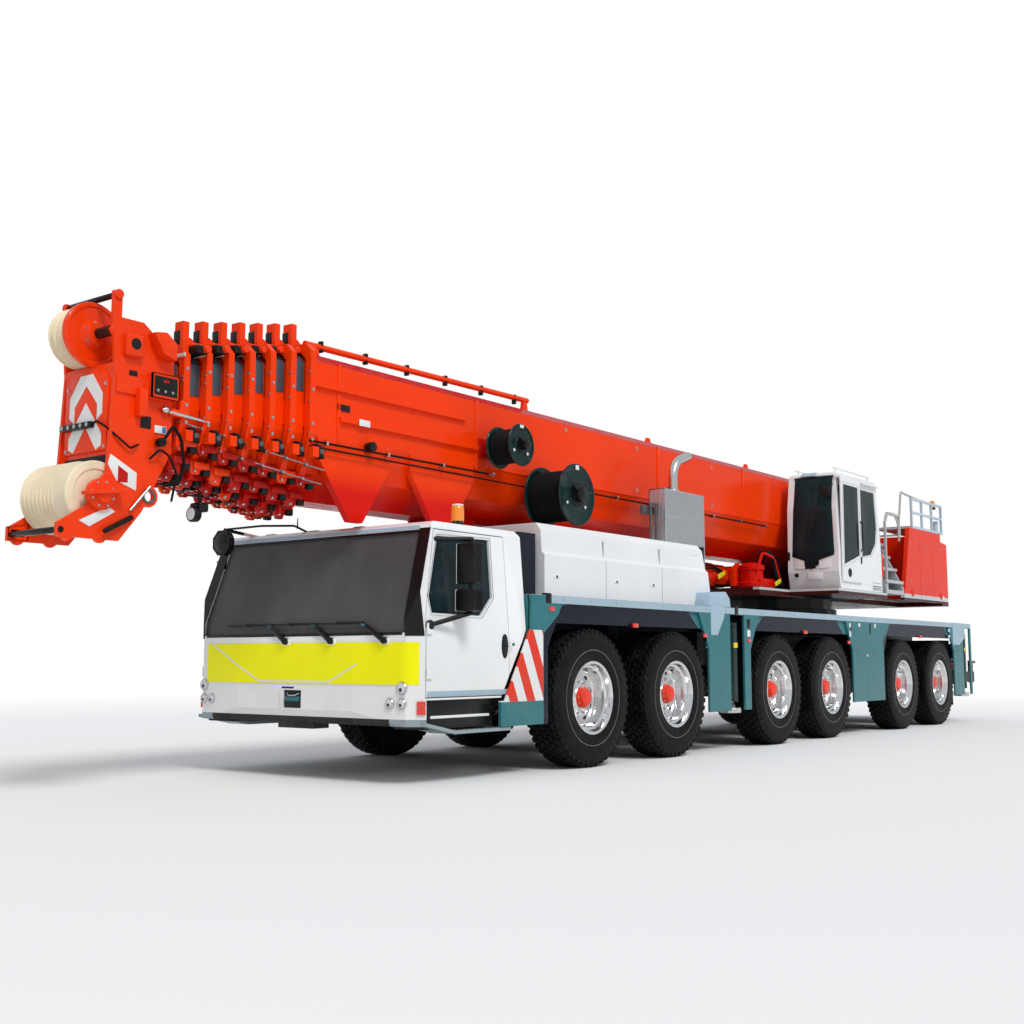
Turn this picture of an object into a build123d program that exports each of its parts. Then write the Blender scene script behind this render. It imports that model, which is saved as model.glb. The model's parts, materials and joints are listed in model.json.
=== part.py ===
from build123d import *
import math
import os

# Six-axle mobile crane in road position: a carrier on twelve wheels, a slewing upper
# works, and a telescopic boom of a base and seven sections carried over the carrier.
# Frame: +X ahead, +Y to the left, +Z up; the origin is on the ground, midway along the
# overall length. Lengths are in millimetres. Places along the vehicle are given as
# distances ahead of the first axle and turned into X by ahead().

# ---- Fits and facets ----
SEAT = 0.3
FIT = 0.05
RUNNING_CLEARANCE = 5.5
TYRE_SIDES = 24
RIM_SIDES = 12
DISC_SIDES = 12
RING_SIDES = 20
PIN_SIDES = 6
TUBE_SIDES = 8

# ---- Running gear ----
AXLE_GAPS = [1650, 2580, 1650, 2720, 1650]
HEAD_OVERHANG = 5290
REAR_OVERHANG = 2700
TYRE_DIAMETER = 1370
TYRE_WIDTH = 385
TREAD_WIDTH = 310
SHOULDER_DROP = 42
RIM_RADIUS = 320
RIM_WIDTH = 340
RIM_WALL = 22
RIM_DISH = 62
DISC_OFFSET = -10
DISC_THICKNESS = 45
HUB_RADIUS = 150
HUB_TAPER = 28
HUB_LENGTH = 95
SPINDLE_RADIUS = 40
KINGPIN_INSET = 985
KINGPIN_RADIUS = 22
FORK_REACH = 70
FORK_WEB = 45
FORK_LUG = 40
FORK_HALF_LENGTH = 55
BOSS_HALF_WIDTH = 44
BOSS_HALF_HEIGHT = 85
HUB_CASING_RADIUS = 125
AXLE_BEAM_SIZE = 150
DIFFERENTIAL_RADIUS = 190
DIFFERENTIAL_SPAN = 260
STRUT_SIZE = 100
STRUT_INSET = 600
STRUT_TOP = 1300

# ---- Carrier ----
CARRIER_WIDTH = 2980
FRAME_WIDTH = 900
FRAME_BOTTOM = 900
NOSE_BOTTOM = 560
NOSE_OVERLAP = 200
DECK_TOP = 1675
DECK_PLATE = 50
DECK_EDGE = 85
SKIRT_THICKNESS = 30
SKIRT_BOTTOM = 460
ARCH_REACH = 765
ARCH_SLOPE = 240
ARCH_SPRING = 1180
LINER_DROP = 180
LINER_WIDTH = 60
STRIPE_FRONT = 1490
STRIPE_STEP = 690
STRIPE_TOP = 1350
CARRIER_TAIL = 1700
TOW_BEAM_BOTTOM = 620
TOW_BEAM_HEIGHT = 260
TOW_PIN_RADIUS = 25
INTAKE_FRONT = 950
INTAKE_REAR = 620
INTAKE_TOP = 2290
INTAKE_SPAN = (620, 1240)
INTAKE_CHAMFER = 60

# ---- Driver's cab, lengthwise places ahead of the first axle ----
CAB_REAR = 1050
CAB_FRONT = 2640
CAB_BOTTOM = 500
CAB_WAIST = 720
CAB_ROOF = 2270
CAB_FLOOR = 40
CAB_WALL = 40
CAB_HALF_WIDTH = CARRIER_WIDTH / 2 - 40
CAB_ROOF_HALF_WIDTH = CAB_HALF_WIDTH - 80
CAB_UNDERCUT_TOP = 1340
CAB_UNDERCUT_FRONT = 1440
BUMPER_REAR = 2460
BUMPER_EDGE = 1230
SCREEN_LEAN = 330
CAB_BOW = 60
CAB_BOW_START = 700
CAB_CORNER = 130
CAB_CORNER_DEPTH = 170
DOOR_REAR = 1320
DOOR_FRONT = 2465
DOOR_BOTTOM = 745
DOOR_TOP = 2190
DOOR_LEAN_START = 1400
DOOR_LEAN = 170
DOOR_GAP = 8
HINGE_RADIUS = 10
HINGE_OFFSET = 13
HINGE_LENGTH = 90
HINGE_LEAF = 60
HINGE_HEIGHTS = [900, 1280]
DOOR_WINDOW = [  # ahead of the first axle, height
    (1530, 1620),
    (1710, 1450),
    (2380, 1460),
    (2410, 1600),
    (2255, 2135),
    (1530, 2150),
]
HEADLAMPS = [  # distance from the centre plane, height, radius
    (1285, 822, 46),
    (1160, 692, 38),
    (1285, 692, 38),
]
LAMP_DEPTH = 14
TOW_RECESS_HALF_WIDTH = 115
TOW_RECESS = (630, 790)
MIRROR_REACH = 150
MIRROR_X = 2085
MIRRORS = [  # bottom, top, width
    (1720, 2065, 200),
    (1480, 1665, 220),
]
MIRROR_DEPTH = 110
MIRROR_POST = (1450, 2120)
MIRROR_ROOF_FOOT = 2288
MIRROR_WAIST_FOOT = (2430, 1350)
MIRROR_BAR = 14
KERB_MIRROR_RADIUS = 120
KERB_MIRROR_INSET = 330
BEACON_X = 1765
BEACON_INSET = 170
BEACON_RADIUS = 50
BEACON_HEIGHT = 200
STEP_OUTLINE = [  # ahead of the first axle, height
    (DOOR_REAR, 425),
    (2110, 425),
    (2500, 505),
    (2500, 535),
    (2100, 455),
    (DOOR_REAR, 455),
]
STEP_DEPTH = 260
STEP_OVERHANG = 25
STEP_HANGER = 1490
SCREEN_SPAN = (1290, 2180)
SCREEN_INSET = (120, 195)
REAR_WINDOW_HALF_WIDTH = 900
REAR_WINDOW_SPAN = (1450, 2080)
SEAT_OUTLINE = [  # ahead of the first axle, height; it stands on the floor
    (1780, 1140),
    (1400, 1120),
    (1240, 1850),
    (1130, 1850),
]
SEAT_BASE = (1370, 1780)
SEAT_MIDDLE = 750
SEAT_WIDTH = 490
DASH_OUTLINE = [  # ahead of the first axle, height; it stands on the floor
    (2480, 1150),
    (2420, 1190),
    (2150, 1120),
]
DASH_BASE = (2150, 2480)
STEERING_COLUMN = ((2200, 1100), (1951, 1329))
STEERING_WHEEL_RADIUS = 200

# ---- Engine cover and exhaust guard ----
COVER_FRONT = 550
COVER_REAR = -2700
COVER_RAKE = 160
COVER_TOP = 2410
COVER_SWAGE = 2125
COVER_HALF_WIDTH = CARRIER_WIDTH / 2 - 190
COVER_STEP = 34
COVER_SHOULDER = 70
TROUGH_HALF_WIDTH = 330
TROUGH_TOP = 1900
GUARD_FRONT = -2080
GUARD_REAR = -3020
GUARD_TOP = 3050
GUARD_OUTSET = CARRIER_WIDTH / 2 - 360
GUARD_DEPTH = 270
GUARD_SHEET = 20
GUARD_RIBS = 9
STACK_RADIUS = 60
STACK_BENDS = [  # ahead of the stack's foot, height over the guard's top
    (0, -50),
    (0, 120),
    (-90, 270),
    (-330, 400),
]

# ---- Outriggers ----
BEAM_WIDTH = 330
BEAM_HEIGHT = 340
BEAM_BOTTOM = 1015
BOX_WALL = 20
BOX_CLEARANCE = 8
BOX_INSET = 240
BEAM_LENGTH = 2560
JACK_INSET = 130
JACK_RADIUS = 100
JACK_ROD_RADIUS = 50
JACK_TOP = 1500
JACK_CAP = 40
JACK_BOTTOM = 560
PAD_RADIUS = 130
PAD_BOTTOM = 430
PAD_THICKNESS = 60
SLOT_MARGIN = 15

# ---- Upper works ----
SLEW_BEHIND_AXLE_1 = 7300
RING_RADIUS = 840
RACE_MARGIN = 60
RING_HEIGHT = 130
UPPER_FLOOR = 1950
UPPER_PLATE = 110
UPPER_HALF_WIDTH = 700
LEFT_FLOOR_REAR = -800
RIGHT_FLOOR_SPAN = (-1750, 600)
CHEEK_INSET = 570
CHEEK_THICKNESS = 60
FOOT_BEHIND_SLEW = 2450
FOOT_HEIGHT = 3300
FOOT_PIN_RADIUS = 65
FOOT_BOSS_RADIUS = 220
CYLINDER_AHEAD_OF_SLEW = 1700
CYLINDER_FOOT_HEIGHT = 2235
CYLINDER_PIN_RADIUS = 55
EAR_INSET = 205
EAR_THICKNESS = 55
EAR_RADIUS = 165
BALLAST_BEHIND_FOOT = 900
BALLAST_THICKNESS = 310
BALLAST_TOP = 3000
BALLAST_CORNER = 260
BALLAST_SLOPE = 159
DRUM_BEHIND_FOOT = 600
DRUM_HEIGHT = 2620
DRUM_RADIUS = 200
DRUM_FLANGE_RADIUS = 255
DRUM_HALF_LENGTH = 500
DRUM_FLANGE = 30
DRUM_SHAFT_RADIUS = 40
CHEEK_OUTLINE = [  # ahead of the slewing axis, height
    (400, UPPER_FLOOR + UPPER_PLATE - 10),
    (-200, 2500),
    (-2030, 3600),
    (-2350, 3660),
    (-2710, 3520),
    (-2780, 3100),
    (-3150, 2820),
]
CHEEK_TAIL_HEIGHT = 2520

# ---- Operator's cab, lengthwise places ahead of the slewing axis ----
OPERATOR_FRONT = 1020
OPERATOR_REAR = -600
OPERATOR_TOP = 3740
OPERATOR_HALF_WIDTH = CARRIER_WIDTH / 2 - 20
OPERATOR_WIDTH = 770
OPERATOR_WALL = 40
OPERATOR_TUMBLEHOME = 50
OPERATOR_SCREEN = [  # share of the width from the inner side, height
    (0.08, 2560),
    (0.45, 2330),
    (0.92, 2560),
    (0.86, 3630),
    (0.14, 3630),
]
OPERATOR_BACK_WINDOW = (2700, 3560)
OPERATOR_REAR_WINDOW = [  # ahead of the slewing axis, height
    (130, 2560),
    (-180, 2600),
    (-400, 2780),
    (-480, 3020),
    (-480, 3560),
    (130, 3560),
]
SLIDE_DOOR_REAR = 230
SLIDE_DOOR_FRONT = 940
SLIDE_DOOR_BOTTOM = 2200
SLIDE_DOOR_TOP = 3620
SLIDE_DOOR_LAP = 70
SLIDE_DOOR_SHEET = 20
SLIDE_RAIL = 30
SLIDE_DOOR_WINDOW = [  # ahead of the slewing axis, height
    (300, 2560),
    (870, 2400),
    (850, 3550),
    (320, 3550),
]

# ---- Stair, platform and ballast, lengthwise places ahead of the slewing axis ----
STAIR_REAR = -1540
STAIR_FRONT = -800
STAIR_TOP = 3290
STAIR_STEPS = 5
STAIR_INNER = 760
STAIR_TREAD = 260
PLATFORM_REAR = -3500
PLATFORM_FRONT = -2050
PLATFORM_TOP = 3200
PLATFORM_SHEET = 40
RAIL_TOP = 3640
RAIL_BAR = 18
RAIL_POSTS = 4
HOUSING_THICKNESS = 70
HOUSING_FRONT = [  # ahead of the slewing axis, height
    (-1580, 1990),
    (-1900, 3160),
]

# ---- Luffing cylinder ----
BARREL_LENGTH = 5950
BARREL_RADIUS = 160
ROD_RADIUS = 110
ROD_END_GAP = 320
UPPER_PIN_AHEAD_OF_FOOT = 10350
UPPER_PIN_HEIGHT = 2250
UPPER_PIN_RADIUS = 45
UPPER_EAR_INSET = 175
UPPER_EAR_THICKNESS = 40

# ---- Boom ----
BOOM_WIDTH = 1100
BOOM_TOP = 3755
BOOM_BOTTOM = 2455
BOOM_SHOULDER = 3020
BOOM_CORNER = 70
SECTIONS = 7
SECTION_STEP = 38
SECTION_WALL = 10
BELLY_BENDS = 5
COLLAR_AHEAD_OF_AXLE_1 = 3060
COLLAR_PITCH = 195
COLLAR_THICKNESS = 60
COLLAR_RISE = 62
TAB_HEIGHT = 270
TAB_WIDTH = 110
TAB_INSET = 245
LATCH_HEIGHT = 2850
LATCH_SIZE = 90
TAIL_PITCH = 60
PAD_LENGTH = 150
TOP_PAD = 200
BELLY_PAD = 60
SIDE_PAD = (3080, 3280)
BOOM_RIB_HEIGHT = 3470
BOOM_RIB = 45
BOOM_RIB_SPAN = (900, 3000)
BOOM_RAIL_HEIGHT = 3200
BOOM_RAIL_SPAN = (700, 2660)
POLE_SPAN = (-440, 2900)
POLE_HEIGHT = 3905
POLE_INSET = 350
POLE_RADIUS = 28
TOP_LUGS = [-3000, -5700]
LUG_HEIGHT = 95
JIB_BRACKETS = [  # top rear, top front, bottom rear, bottom front, bottom height
    (1970, 2910, 2340, 2500, 2290),
    (750, 1700, 1120, 1330, 2310),
]
JIB_BRACKET_TOP = 2840
JIB_BRACKET_THICKNESS = 70

# ---- Boom head, lengthwise places ahead of the first axle ----
HEAD_FRONT = 4845
HEAD_REAR = 4300
HEAD_HALF = 340
HEAD_PLATE = 30
HEAD_SHAFT_RADIUS = 40
UPPER_SHEAVE = (4860, 3590)
UPPER_SHEAVE_RADIUS = 240
UPPER_SHEAVE_SPAN = (-190, 20)
UPPER_GROOVE_COUNT = 3
LOWER_SHEAVE = (4940, 2300)
LOWER_SHEAVE_RADIUS = 270
LOWER_SHEAVE_SPAN = (-300, 300)
LOWER_GROOVE_COUNT = 7
GROOVE_DEPTH = 26
DISC_CHEEK_RADIUS = 255
RETAINER_RADIUS = 20
RETAINER_GAP = 45
LOWER_RETAINER_HEIGHT = 2010
RETAINER_LUG = 50
SHAFT_BOSS = 55
HEAD_CHEEK = [  # ahead of the first axle, height
    (4300, 3480),
    (4300, 2700),
    (4560, 2200),
    (4760, LOWER_RETAINER_HEIGHT - RETAINER_LUG),
    (5290, LOWER_RETAINER_HEIGHT - RETAINER_LUG),
    (5290, LOWER_RETAINER_HEIGHT + RETAINER_LUG),
    (LOWER_SHEAVE[0] + SHAFT_BOSS, LOWER_SHEAVE[1] - SHAFT_BOSS),
    (LOWER_SHEAVE[0] + SHAFT_BOSS, LOWER_SHEAVE[1] + SHAFT_BOSS),
    (4885, 2480),
    (4845, 3300),
    (4885, 3700),
    (4595, 3700),
]
HEAD_PANEL = (2640, 3330)
HEAD_BACK = (2700, 3480)
LAMP_BOX = (4300, 4550, 3110, 3300)
JIB_LUG = (4500, 2330)
JIB_LUG_RADIUS = 85
JIB_PIN_RADIUS = 40
CABLE_REELS = [  # ahead of the first axle, height, radius, width, stand-off
    (535, 3210, 215, 300, 60),
    (-260, 2775, 330, 400, 60),
]
REEL_FLANGE = 24
REEL_CORE = 0.62

AXLE_X = [(REAR_OVERHANG + sum(AXLE_GAPS) - HEAD_OVERHANG) / 2]
for gap in AXLE_GAPS:
    AXLE_X.append(AXLE_X[-1] - gap)

TYRE_RADIUS = TYRE_DIAMETER / 2
TYRE_INSET = CARRIER_WIDTH / 2 + 10 - TYRE_WIDTH / 2
SLEW_X = AXLE_X[0] - SLEW_BEHIND_AXLE_1
FOOT_X = SLEW_X - FOOT_BEHIND_SLEW
CYLINDER_X = SLEW_X + CYLINDER_AHEAD_OF_SLEW
TAIL_X = AXLE_X[-1] - CARRIER_TAIL
OUTRIGGER_PITCH = BEAM_WIDTH + 2 * BOX_CLEARANCE + BOX_WALL
OUTRIGGER_X = [(AXLE_X[1] + AXLE_X[2]) / 2, AXLE_X[-1] - 1260]


def ahead(distance):
    """Place along X, from a distance ahead of the first axle."""
    return AXLE_X[0] + distance


def block(x0, x1, y0, y1, z0, z1):
    """Box between two corners."""
    return Pos((x0 + x1) / 2, (y0 + y1) / 2, (z0 + z1) / 2) * Box(abs(x1 - x0), abs(y1 - y0), abs(z1 - z0))


def plate_y(points, y0, y1):
    """Outline in X and Z, pushed from y0 to y1."""
    outline = make_face(Polyline(*[(x, y0, z) for x, z in points], close=True))
    return extrude(outline, amount=abs(y1 - y0), dir=(0, math.copysign(1, y1 - y0), 0))


def plate_x(points, x0, x1):
    """Outline in Y and Z, pushed from x0 to x1."""
    outline = make_face(Polyline(*[(x0, y, z) for y, z in points], close=True))
    return extrude(outline, amount=abs(x1 - x0), dir=(math.copysign(1, x1 - x0), 0, 0))


def plate_z(points, z0, z1):
    """Outline in X and Y, pushed from z0 to z1."""
    outline = make_face(Polyline(*[(x, y, z0) for x, y in points], close=True))
    return extrude(outline, amount=abs(z1 - z0), dir=(0, 0, math.copysign(1, z1 - z0)))


def rod_y(x, z, radius, y0, y1):
    """Round rod along Y."""
    return Pos(x, (y0 + y1) / 2, z) * Rot(90, 0, 0) * Cylinder(radius, abs(y1 - y0))


def rod_z(x, y, radius, z0, z1):
    """Round rod along Z."""
    return Pos(x, y, (z0 + z1) / 2) * Cylinder(radius, abs(z1 - z0))


def corners(apothem, sides, phase=0.5):
    """Corners of a regular polygon about the origin, with a flat side down at half a phase."""
    radius = apothem / math.cos(math.pi / sides)
    angles = [math.tau * (i + phase) / sides for i in range(sides)]
    return [(radius * math.cos(angle), radius * math.sin(angle)) for angle in angles]


def pin_y(x, z, radius, y0, y1):
    """Pin along Y whose corners lie on a circle, each against the middle of a bore's flat."""
    outline = corners(radius * math.cos(math.pi / PIN_SIDES), PIN_SIDES, 0)
    return plate_y([(x + u, z + v) for u, v in outline], y0, y1)


def pin_z(x, y, radius, z0, z1):
    """Pin along Z whose corners lie on a circle, each against the middle of a bore's flat."""
    outline = corners(radius * math.cos(math.pi / PIN_SIDES), PIN_SIDES, 0)
    return plate_z([(x + u, y + v) for u, v in outline], z0, z1)


def bore_y(x, z, radius, y0, y1):
    """Bore of flat sides along Y, clear of a pin of that radius by the fit."""
    return flat_rod_y(x, z, radius + FIT, y0, y1, PIN_SIDES)


def bore_z(x, y, radius, z0, z1):
    """Bore of flat sides along Z, clear of a pin of that radius by the fit."""
    return flat_rod_z(x, y, radius + FIT, z0, z1, PIN_SIDES)


def flat_rod_y(x, z, apothem, y0, y1, sides=TUBE_SIDES):
    """Rod of flat sides along Y."""
    return plate_y([(x + u, z + v) for u, v in corners(apothem, sides)], y0, y1)


def flat_rod_z(x, y, apothem, z0, z1, sides=TUBE_SIDES):
    """Rod of flat sides along Z."""
    return plate_z([(x + u, y + v) for u, v in corners(apothem, sides)], z0, z1)


def bar(start, end, apothem, sides=TUBE_SIDES):
    """Bar of flat sides between two points, one side facing down."""
    direction = (Vector(*end) - Vector(*start)).normalized()
    plane = Plane(origin=start, x_dir=(0, 1, 0) if abs(direction.Y) < 0.9 else (1, 0, 0), z_dir=direction)
    outline = make_face(Polyline(*[(u, v) for u, v in corners(apothem, sides)], close=True))
    length = (Vector(*end) - Vector(*start)).length
    return extrude(plane * outline, amount=length, dir=tuple(direction))


def turned(profile, sides, x, z, side=1):
    """Solid of flat sides about an axis along Y.

    The profile is a closed loop of (distance of the flats from the axis, y); a point on
    the axis has distance 0."""
    rings = []
    for apothem, y in profile:
        rings.append([(x + u, side * y, z + v) for u, v in corners(apothem, sides)])
    faces = []
    for near, far in zip(rings, rings[1:] + rings[:1]):
        for i in range(sides):
            loop = [near[i - 1], near[i], far[i], far[i - 1]]
            distinct = [p for n, p in enumerate(loop) if p != loop[n - 1]]
            if len(distinct) > 2:
                faces.append(make_face(Polyline(*distinct, close=True)).face())
    return Solid(Shell(faces))


def merged(pieces):
    """One shape from a list of pieces."""
    whole = pieces[0]
    for piece in pieces[1:]:
        whole += piece
    return whole


def save(node, *solids):
    """Write one sub-part as one STEP file."""
    shapes = [solid for shape in solids for solid in shape.solids()]
    export_step(Compound(children=shapes) if len(shapes) > 1 else shapes[0], f"parts/{node}.step")


# ---- Wheels, knuckles and axles ----
def tyre(x, side):
    """Tyre with one flat for each row of tread blocks, in a bore of the rim's sides."""
    half = TYRE_WIDTH / 2
    tread = TREAD_WIDTH / 2
    wall = TYRE_RADIUS - SHOULDER_DROP
    profile = [
        (0, -half),
        (wall, -half),
        (TYRE_RADIUS, -tread),
        (TYRE_RADIUS, tread),
        (wall, half),
        (0, half),
    ]
    solid = turned([(r, TYRE_INSET + y) for r, y in profile], TYRE_SIDES, x, TYRE_RADIUS, side)
    y0 = side * (TYRE_INSET - half - 1)
    y1 = side * (TYRE_INSET + half + 1)
    return solid - flat_rod_y(x, TYRE_RADIUS, RIM_RADIUS, y0, y1, RIM_SIDES)


def rim(x, side):
    """Dished rim with its hub, bored for the spindle."""
    seat = RIM_RADIUS - SEAT
    barrel = seat - RIM_WALL
    half = RIM_WIDTH / 2
    disc = DISC_OFFSET
    back = disc - DISC_THICKNESS
    bore = SPINDLE_RADIUS + FIT
    profile = [
        (seat, half),
        (barrel, half),
        (seat - RIM_DISH, disc),
        (HUB_RADIUS, disc),
        (HUB_RADIUS - HUB_TAPER, disc + HUB_LENGTH),
        (bore, disc + HUB_LENGTH),
        (bore, back),
        (seat, back),
    ]
    return turned([(r, TYRE_INSET + y) for r, y in profile], RIM_SIDES, x, TYRE_RADIUS, side)


def knuckle(x, side):
    """Fork round the boss at the end of the axle, its kingpin, and the wheel spindle."""
    web = KINGPIN_INSET + FORK_REACH
    outer = web + FORK_WEB
    inner = KINGPIN_INSET - FORK_LUG
    fork = [
        (inner, BOSS_HALF_HEIGHT),
        (web, BOSS_HALF_HEIGHT),
        (web, -BOSS_HALF_HEIGHT),
        (inner, -BOSS_HALF_HEIGHT),
        (inner, -BOSS_HALF_HEIGHT - FORK_LUG),
        (outer, -BOSS_HALF_HEIGHT - FORK_LUG),
        (outer, BOSS_HALF_HEIGHT + FORK_LUG),
        (inner, BOSS_HALF_HEIGHT + FORK_LUG),
    ]
    points = [(side * y, TYRE_RADIUS + z) for y, z in fork]
    solid = plate_x(points, x - FORK_HALF_LENGTH, x + FORK_HALF_LENGTH)
    low = TYRE_RADIUS - BOSS_HALF_HEIGHT
    high = TYRE_RADIUS + BOSS_HALF_HEIGHT
    solid += pin_z(x, side * KINGPIN_INSET, KINGPIN_RADIUS, low, high)
    casing_end = TYRE_INSET + DISC_OFFSET - DISC_THICKNESS - RUNNING_CLEARANCE
    spindle_end = TYRE_INSET + DISC_OFFSET + HUB_LENGTH - RUNNING_CLEARANCE
    solid += flat_rod_y(x, TYRE_RADIUS, HUB_CASING_RADIUS, side * outer, side * casing_end)
    return solid + pin_y(x, TYRE_RADIUS, SPINDLE_RADIUS, side * casing_end, side * spindle_end)


def axle_beam(x):
    """Axle with its differential, a bored boss at each end, and two suspension struts."""
    half = AXLE_BEAM_SIZE / 2
    reach = KINGPIN_INSET - BOSS_HALF_WIDTH
    swell = [(DIFFERENTIAL_SPAN, half), (DIFFERENTIAL_SPAN / 2, DIFFERENTIAL_RADIUS)]
    upper = [(reach, half)] + swell + [(-y, z) for y, z in reversed(swell)] + [(-reach, half)]
    outline = upper + [(y, -z) for y, z in reversed(upper)]
    beam = plate_x([(y, TYRE_RADIUS + z) for y, z in outline], x - half, x + half)
    low = TYRE_RADIUS - BOSS_HALF_HEIGHT + SEAT
    high = TYRE_RADIUS + BOSS_HALF_HEIGHT - SEAT
    for side in (-1, 1):
        y = side * KINGPIN_INSET
        beam += block(x - BOSS_HALF_WIDTH, x + BOSS_HALF_WIDTH, y - side * 2 * BOSS_HALF_WIDTH,
                      y + side * BOSS_HALF_WIDTH, low, high)
        beam -= bore_z(x, y, KINGPIN_RADIUS, low - 1, high + 1)
        strut = side * STRUT_INSET
        beam += block(x - STRUT_SIZE / 2, x + STRUT_SIZE / 2, strut - STRUT_SIZE / 2,
                      strut + STRUT_SIZE / 2, TYRE_RADIUS, STRUT_TOP)
    return beam


# ---- Carrier frame ----
def outrigger_slots():
    """Station, side the beam leaves by, and middle of its slot."""
    slots = []
    for station, x in zip(("front", "rear"), OUTRIGGER_X):
        slots.append((station, "left", 1, x - OUTRIGGER_PITCH / 2))
        slots.append((station, "right", -1, x + OUTRIGGER_PITCH / 2))
    return slots


def outrigger_box(x):
    half = OUTRIGGER_PITCH + BOX_WALL / 2
    low = BEAM_BOTTOM - BOX_WALL
    high = BEAM_BOTTOM + BEAM_HEIGHT + BOX_CLEARANCE + BOX_WALL
    reach = CARRIER_WIDTH / 2 - BOX_INSET
    return block(x - half, x + half, -reach, reach, low, high)


def outrigger_bore(x, side):
    half = BEAM_WIDTH / 2 + BOX_CLEARANCE
    reach = CARRIER_WIDTH / 2 - BOX_INSET
    low = BEAM_BOTTOM - SEAT
    high = BEAM_BOTTOM + BEAM_HEIGHT + BOX_CLEARANCE
    return block(x - half, x + half, -side * (reach - BOX_WALL), side * (reach + BOX_WALL), low, high)


def chassis_frame():
    """Closed box frame with its strut seats, outrigger boxes, slewing race and tail beam."""
    half = FRAME_WIDTH / 2
    top = DECK_TOP - DECK_PLATE
    nose = ahead(CAB_REAR - 60)
    frame = block(TAIL_X, nose, -half, half, FRAME_BOTTOM, top)
    frame += block(nose - NOSE_OVERLAP, ahead(CAB_FRONT - 260), -half, half, NOSE_BOTTOM, FRAME_BOTTOM)
    seat_reach = STRUT_INSET + STRUT_SIZE * 0.75
    for x in AXLE_X:
        frame += block(x - STRUT_SIZE, x + STRUT_SIZE, -seat_reach, seat_reach, STRUT_TOP, top)
    for x in OUTRIGGER_X:
        frame += outrigger_box(x)
    for station, hand, side, x in outrigger_slots():
        frame -= outrigger_bore(x, side)
    race_top = DECK_TOP + RING_HEIGHT - SEAT
    frame += flat_rod_z(SLEW_X, 0, RING_RADIUS + RACE_MARGIN, top - 200, race_top, RING_SIDES)
    return frame + tail_beam() + tow_jaw()


def tail_beam():
    """Rear cross beam with its two drop arms and the hook at its left end."""
    low = TOW_BEAM_BOTTOM
    high = low + TOW_BEAM_HEIGHT
    reach = CARRIER_WIDTH / 2 - 190
    back = AXLE_X[-1] - REAR_OVERHANG
    half = FRAME_WIDTH / 2
    beam = block(TAIL_X - 90, TAIL_X + 20, -reach, reach, low, high)
    beam += block(TAIL_X, TAIL_X + 200, -half, half, low, FRAME_BOTTOM + 60)
    hook_y = reach - 140
    beam += block(back + 160, TAIL_X - 80, hook_y - 40, hook_y + 100, low + 40, high - 40)
    hook = [
        (back + 200, low + 20),
        (back + 200, low + 420),
        (back, low + 420),
        (back, low + 370),
        (back + 150, low + 370),
        (back + 150, low + 20),
    ]
    return beam + plate_y(hook, hook_y, hook_y + 80)


def tow_jaw():
    """Two plates for the drawbar pin."""
    x = TAIL_X - 240
    jaw = []
    for z in (TOW_BEAM_BOTTOM + 60, TOW_BEAM_BOTTOM + 190):
        upper = [(TAIL_X - 80, 90), (x - 40, 90), (x - 85, 45)]
        outline = upper + [(u, -v) for u, v in reversed(upper)]
        jaw.append(plate_z(outline, z, z + 35) - rod_z(x, 0, TOW_PIN_RADIUS, z - 5, z + 40))
    return merged(jaw)


def skirt_panels(side):
    """Rear end, front end, and whether a wheel arch is ahead and behind."""
    front_jack = OUTRIGGER_X[0] - side * OUTRIGGER_PITCH / 2
    rear_jack = OUTRIGGER_X[1] - side * OUTRIGGER_PITCH / 2
    clear = BEAM_WIDTH / 2 + SLOT_MARGIN
    return [
        (front_jack + clear, AXLE_X[1] - ARCH_REACH, True, False),
        (AXLE_X[2] + ARCH_REACH, front_jack - clear, False, True),
        (AXLE_X[4] + ARCH_REACH, AXLE_X[3] - ARCH_REACH, True, True),
        (rear_jack + clear, AXLE_X[5] - ARCH_REACH, True, False),
        (TAIL_X, rear_jack - clear, False, False),
    ]


def deck_fenders():
    """Deck, its edge rails, the skirt panels between the wheels, and the arch liners."""
    half = CARRIER_WIDTH / 2
    front = ahead(CAB_REAR - 30)
    under = DECK_TOP - DECK_EDGE
    pieces = [block(TAIL_X, front, -half, half, DECK_TOP - DECK_PLATE, DECK_TOP)]
    for side in (-1, 1):
        outer = side * half
        inner = side * (half - SKIRT_THICKNESS)
        liner = side * (half - SKIRT_THICKNESS - LINER_WIDTH)
        pieces.append(block(TAIL_X, front, inner, outer, under, DECK_TOP))
        for lead, trail in zip(AXLE_X[0::2], AXLE_X[1::2]):
            x0 = trail - ARCH_REACH
            x1 = lead + ARCH_REACH
            pieces.append(block(x0, x1, liner, inner, under - LINER_DROP, DECK_TOP))
        for x0, x1, cut_front, cut_rear in skirt_panels(side):
            points = [
                (x0, SKIRT_BOTTOM),
                (x1, SKIRT_BOTTOM),
                (x1, ARCH_SPRING),
                (x1 + (ARCH_SLOPE if cut_front else 0), under + 10),
                (x0 - (ARCH_SLOPE if cut_rear else 0), under + 10),
                (x0, ARCH_SPRING),
            ]
            pieces.append(plate_y(points, inner, outer))
        pieces.append(plate_y(stripe_panel(), inner, outer))
    race = RING_RADIUS + RACE_MARGIN + SEAT
    return merged(pieces) - flat_rod_z(SLEW_X, 0, race, under - 200, DECK_TOP + 10, RING_SIDES)


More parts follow.
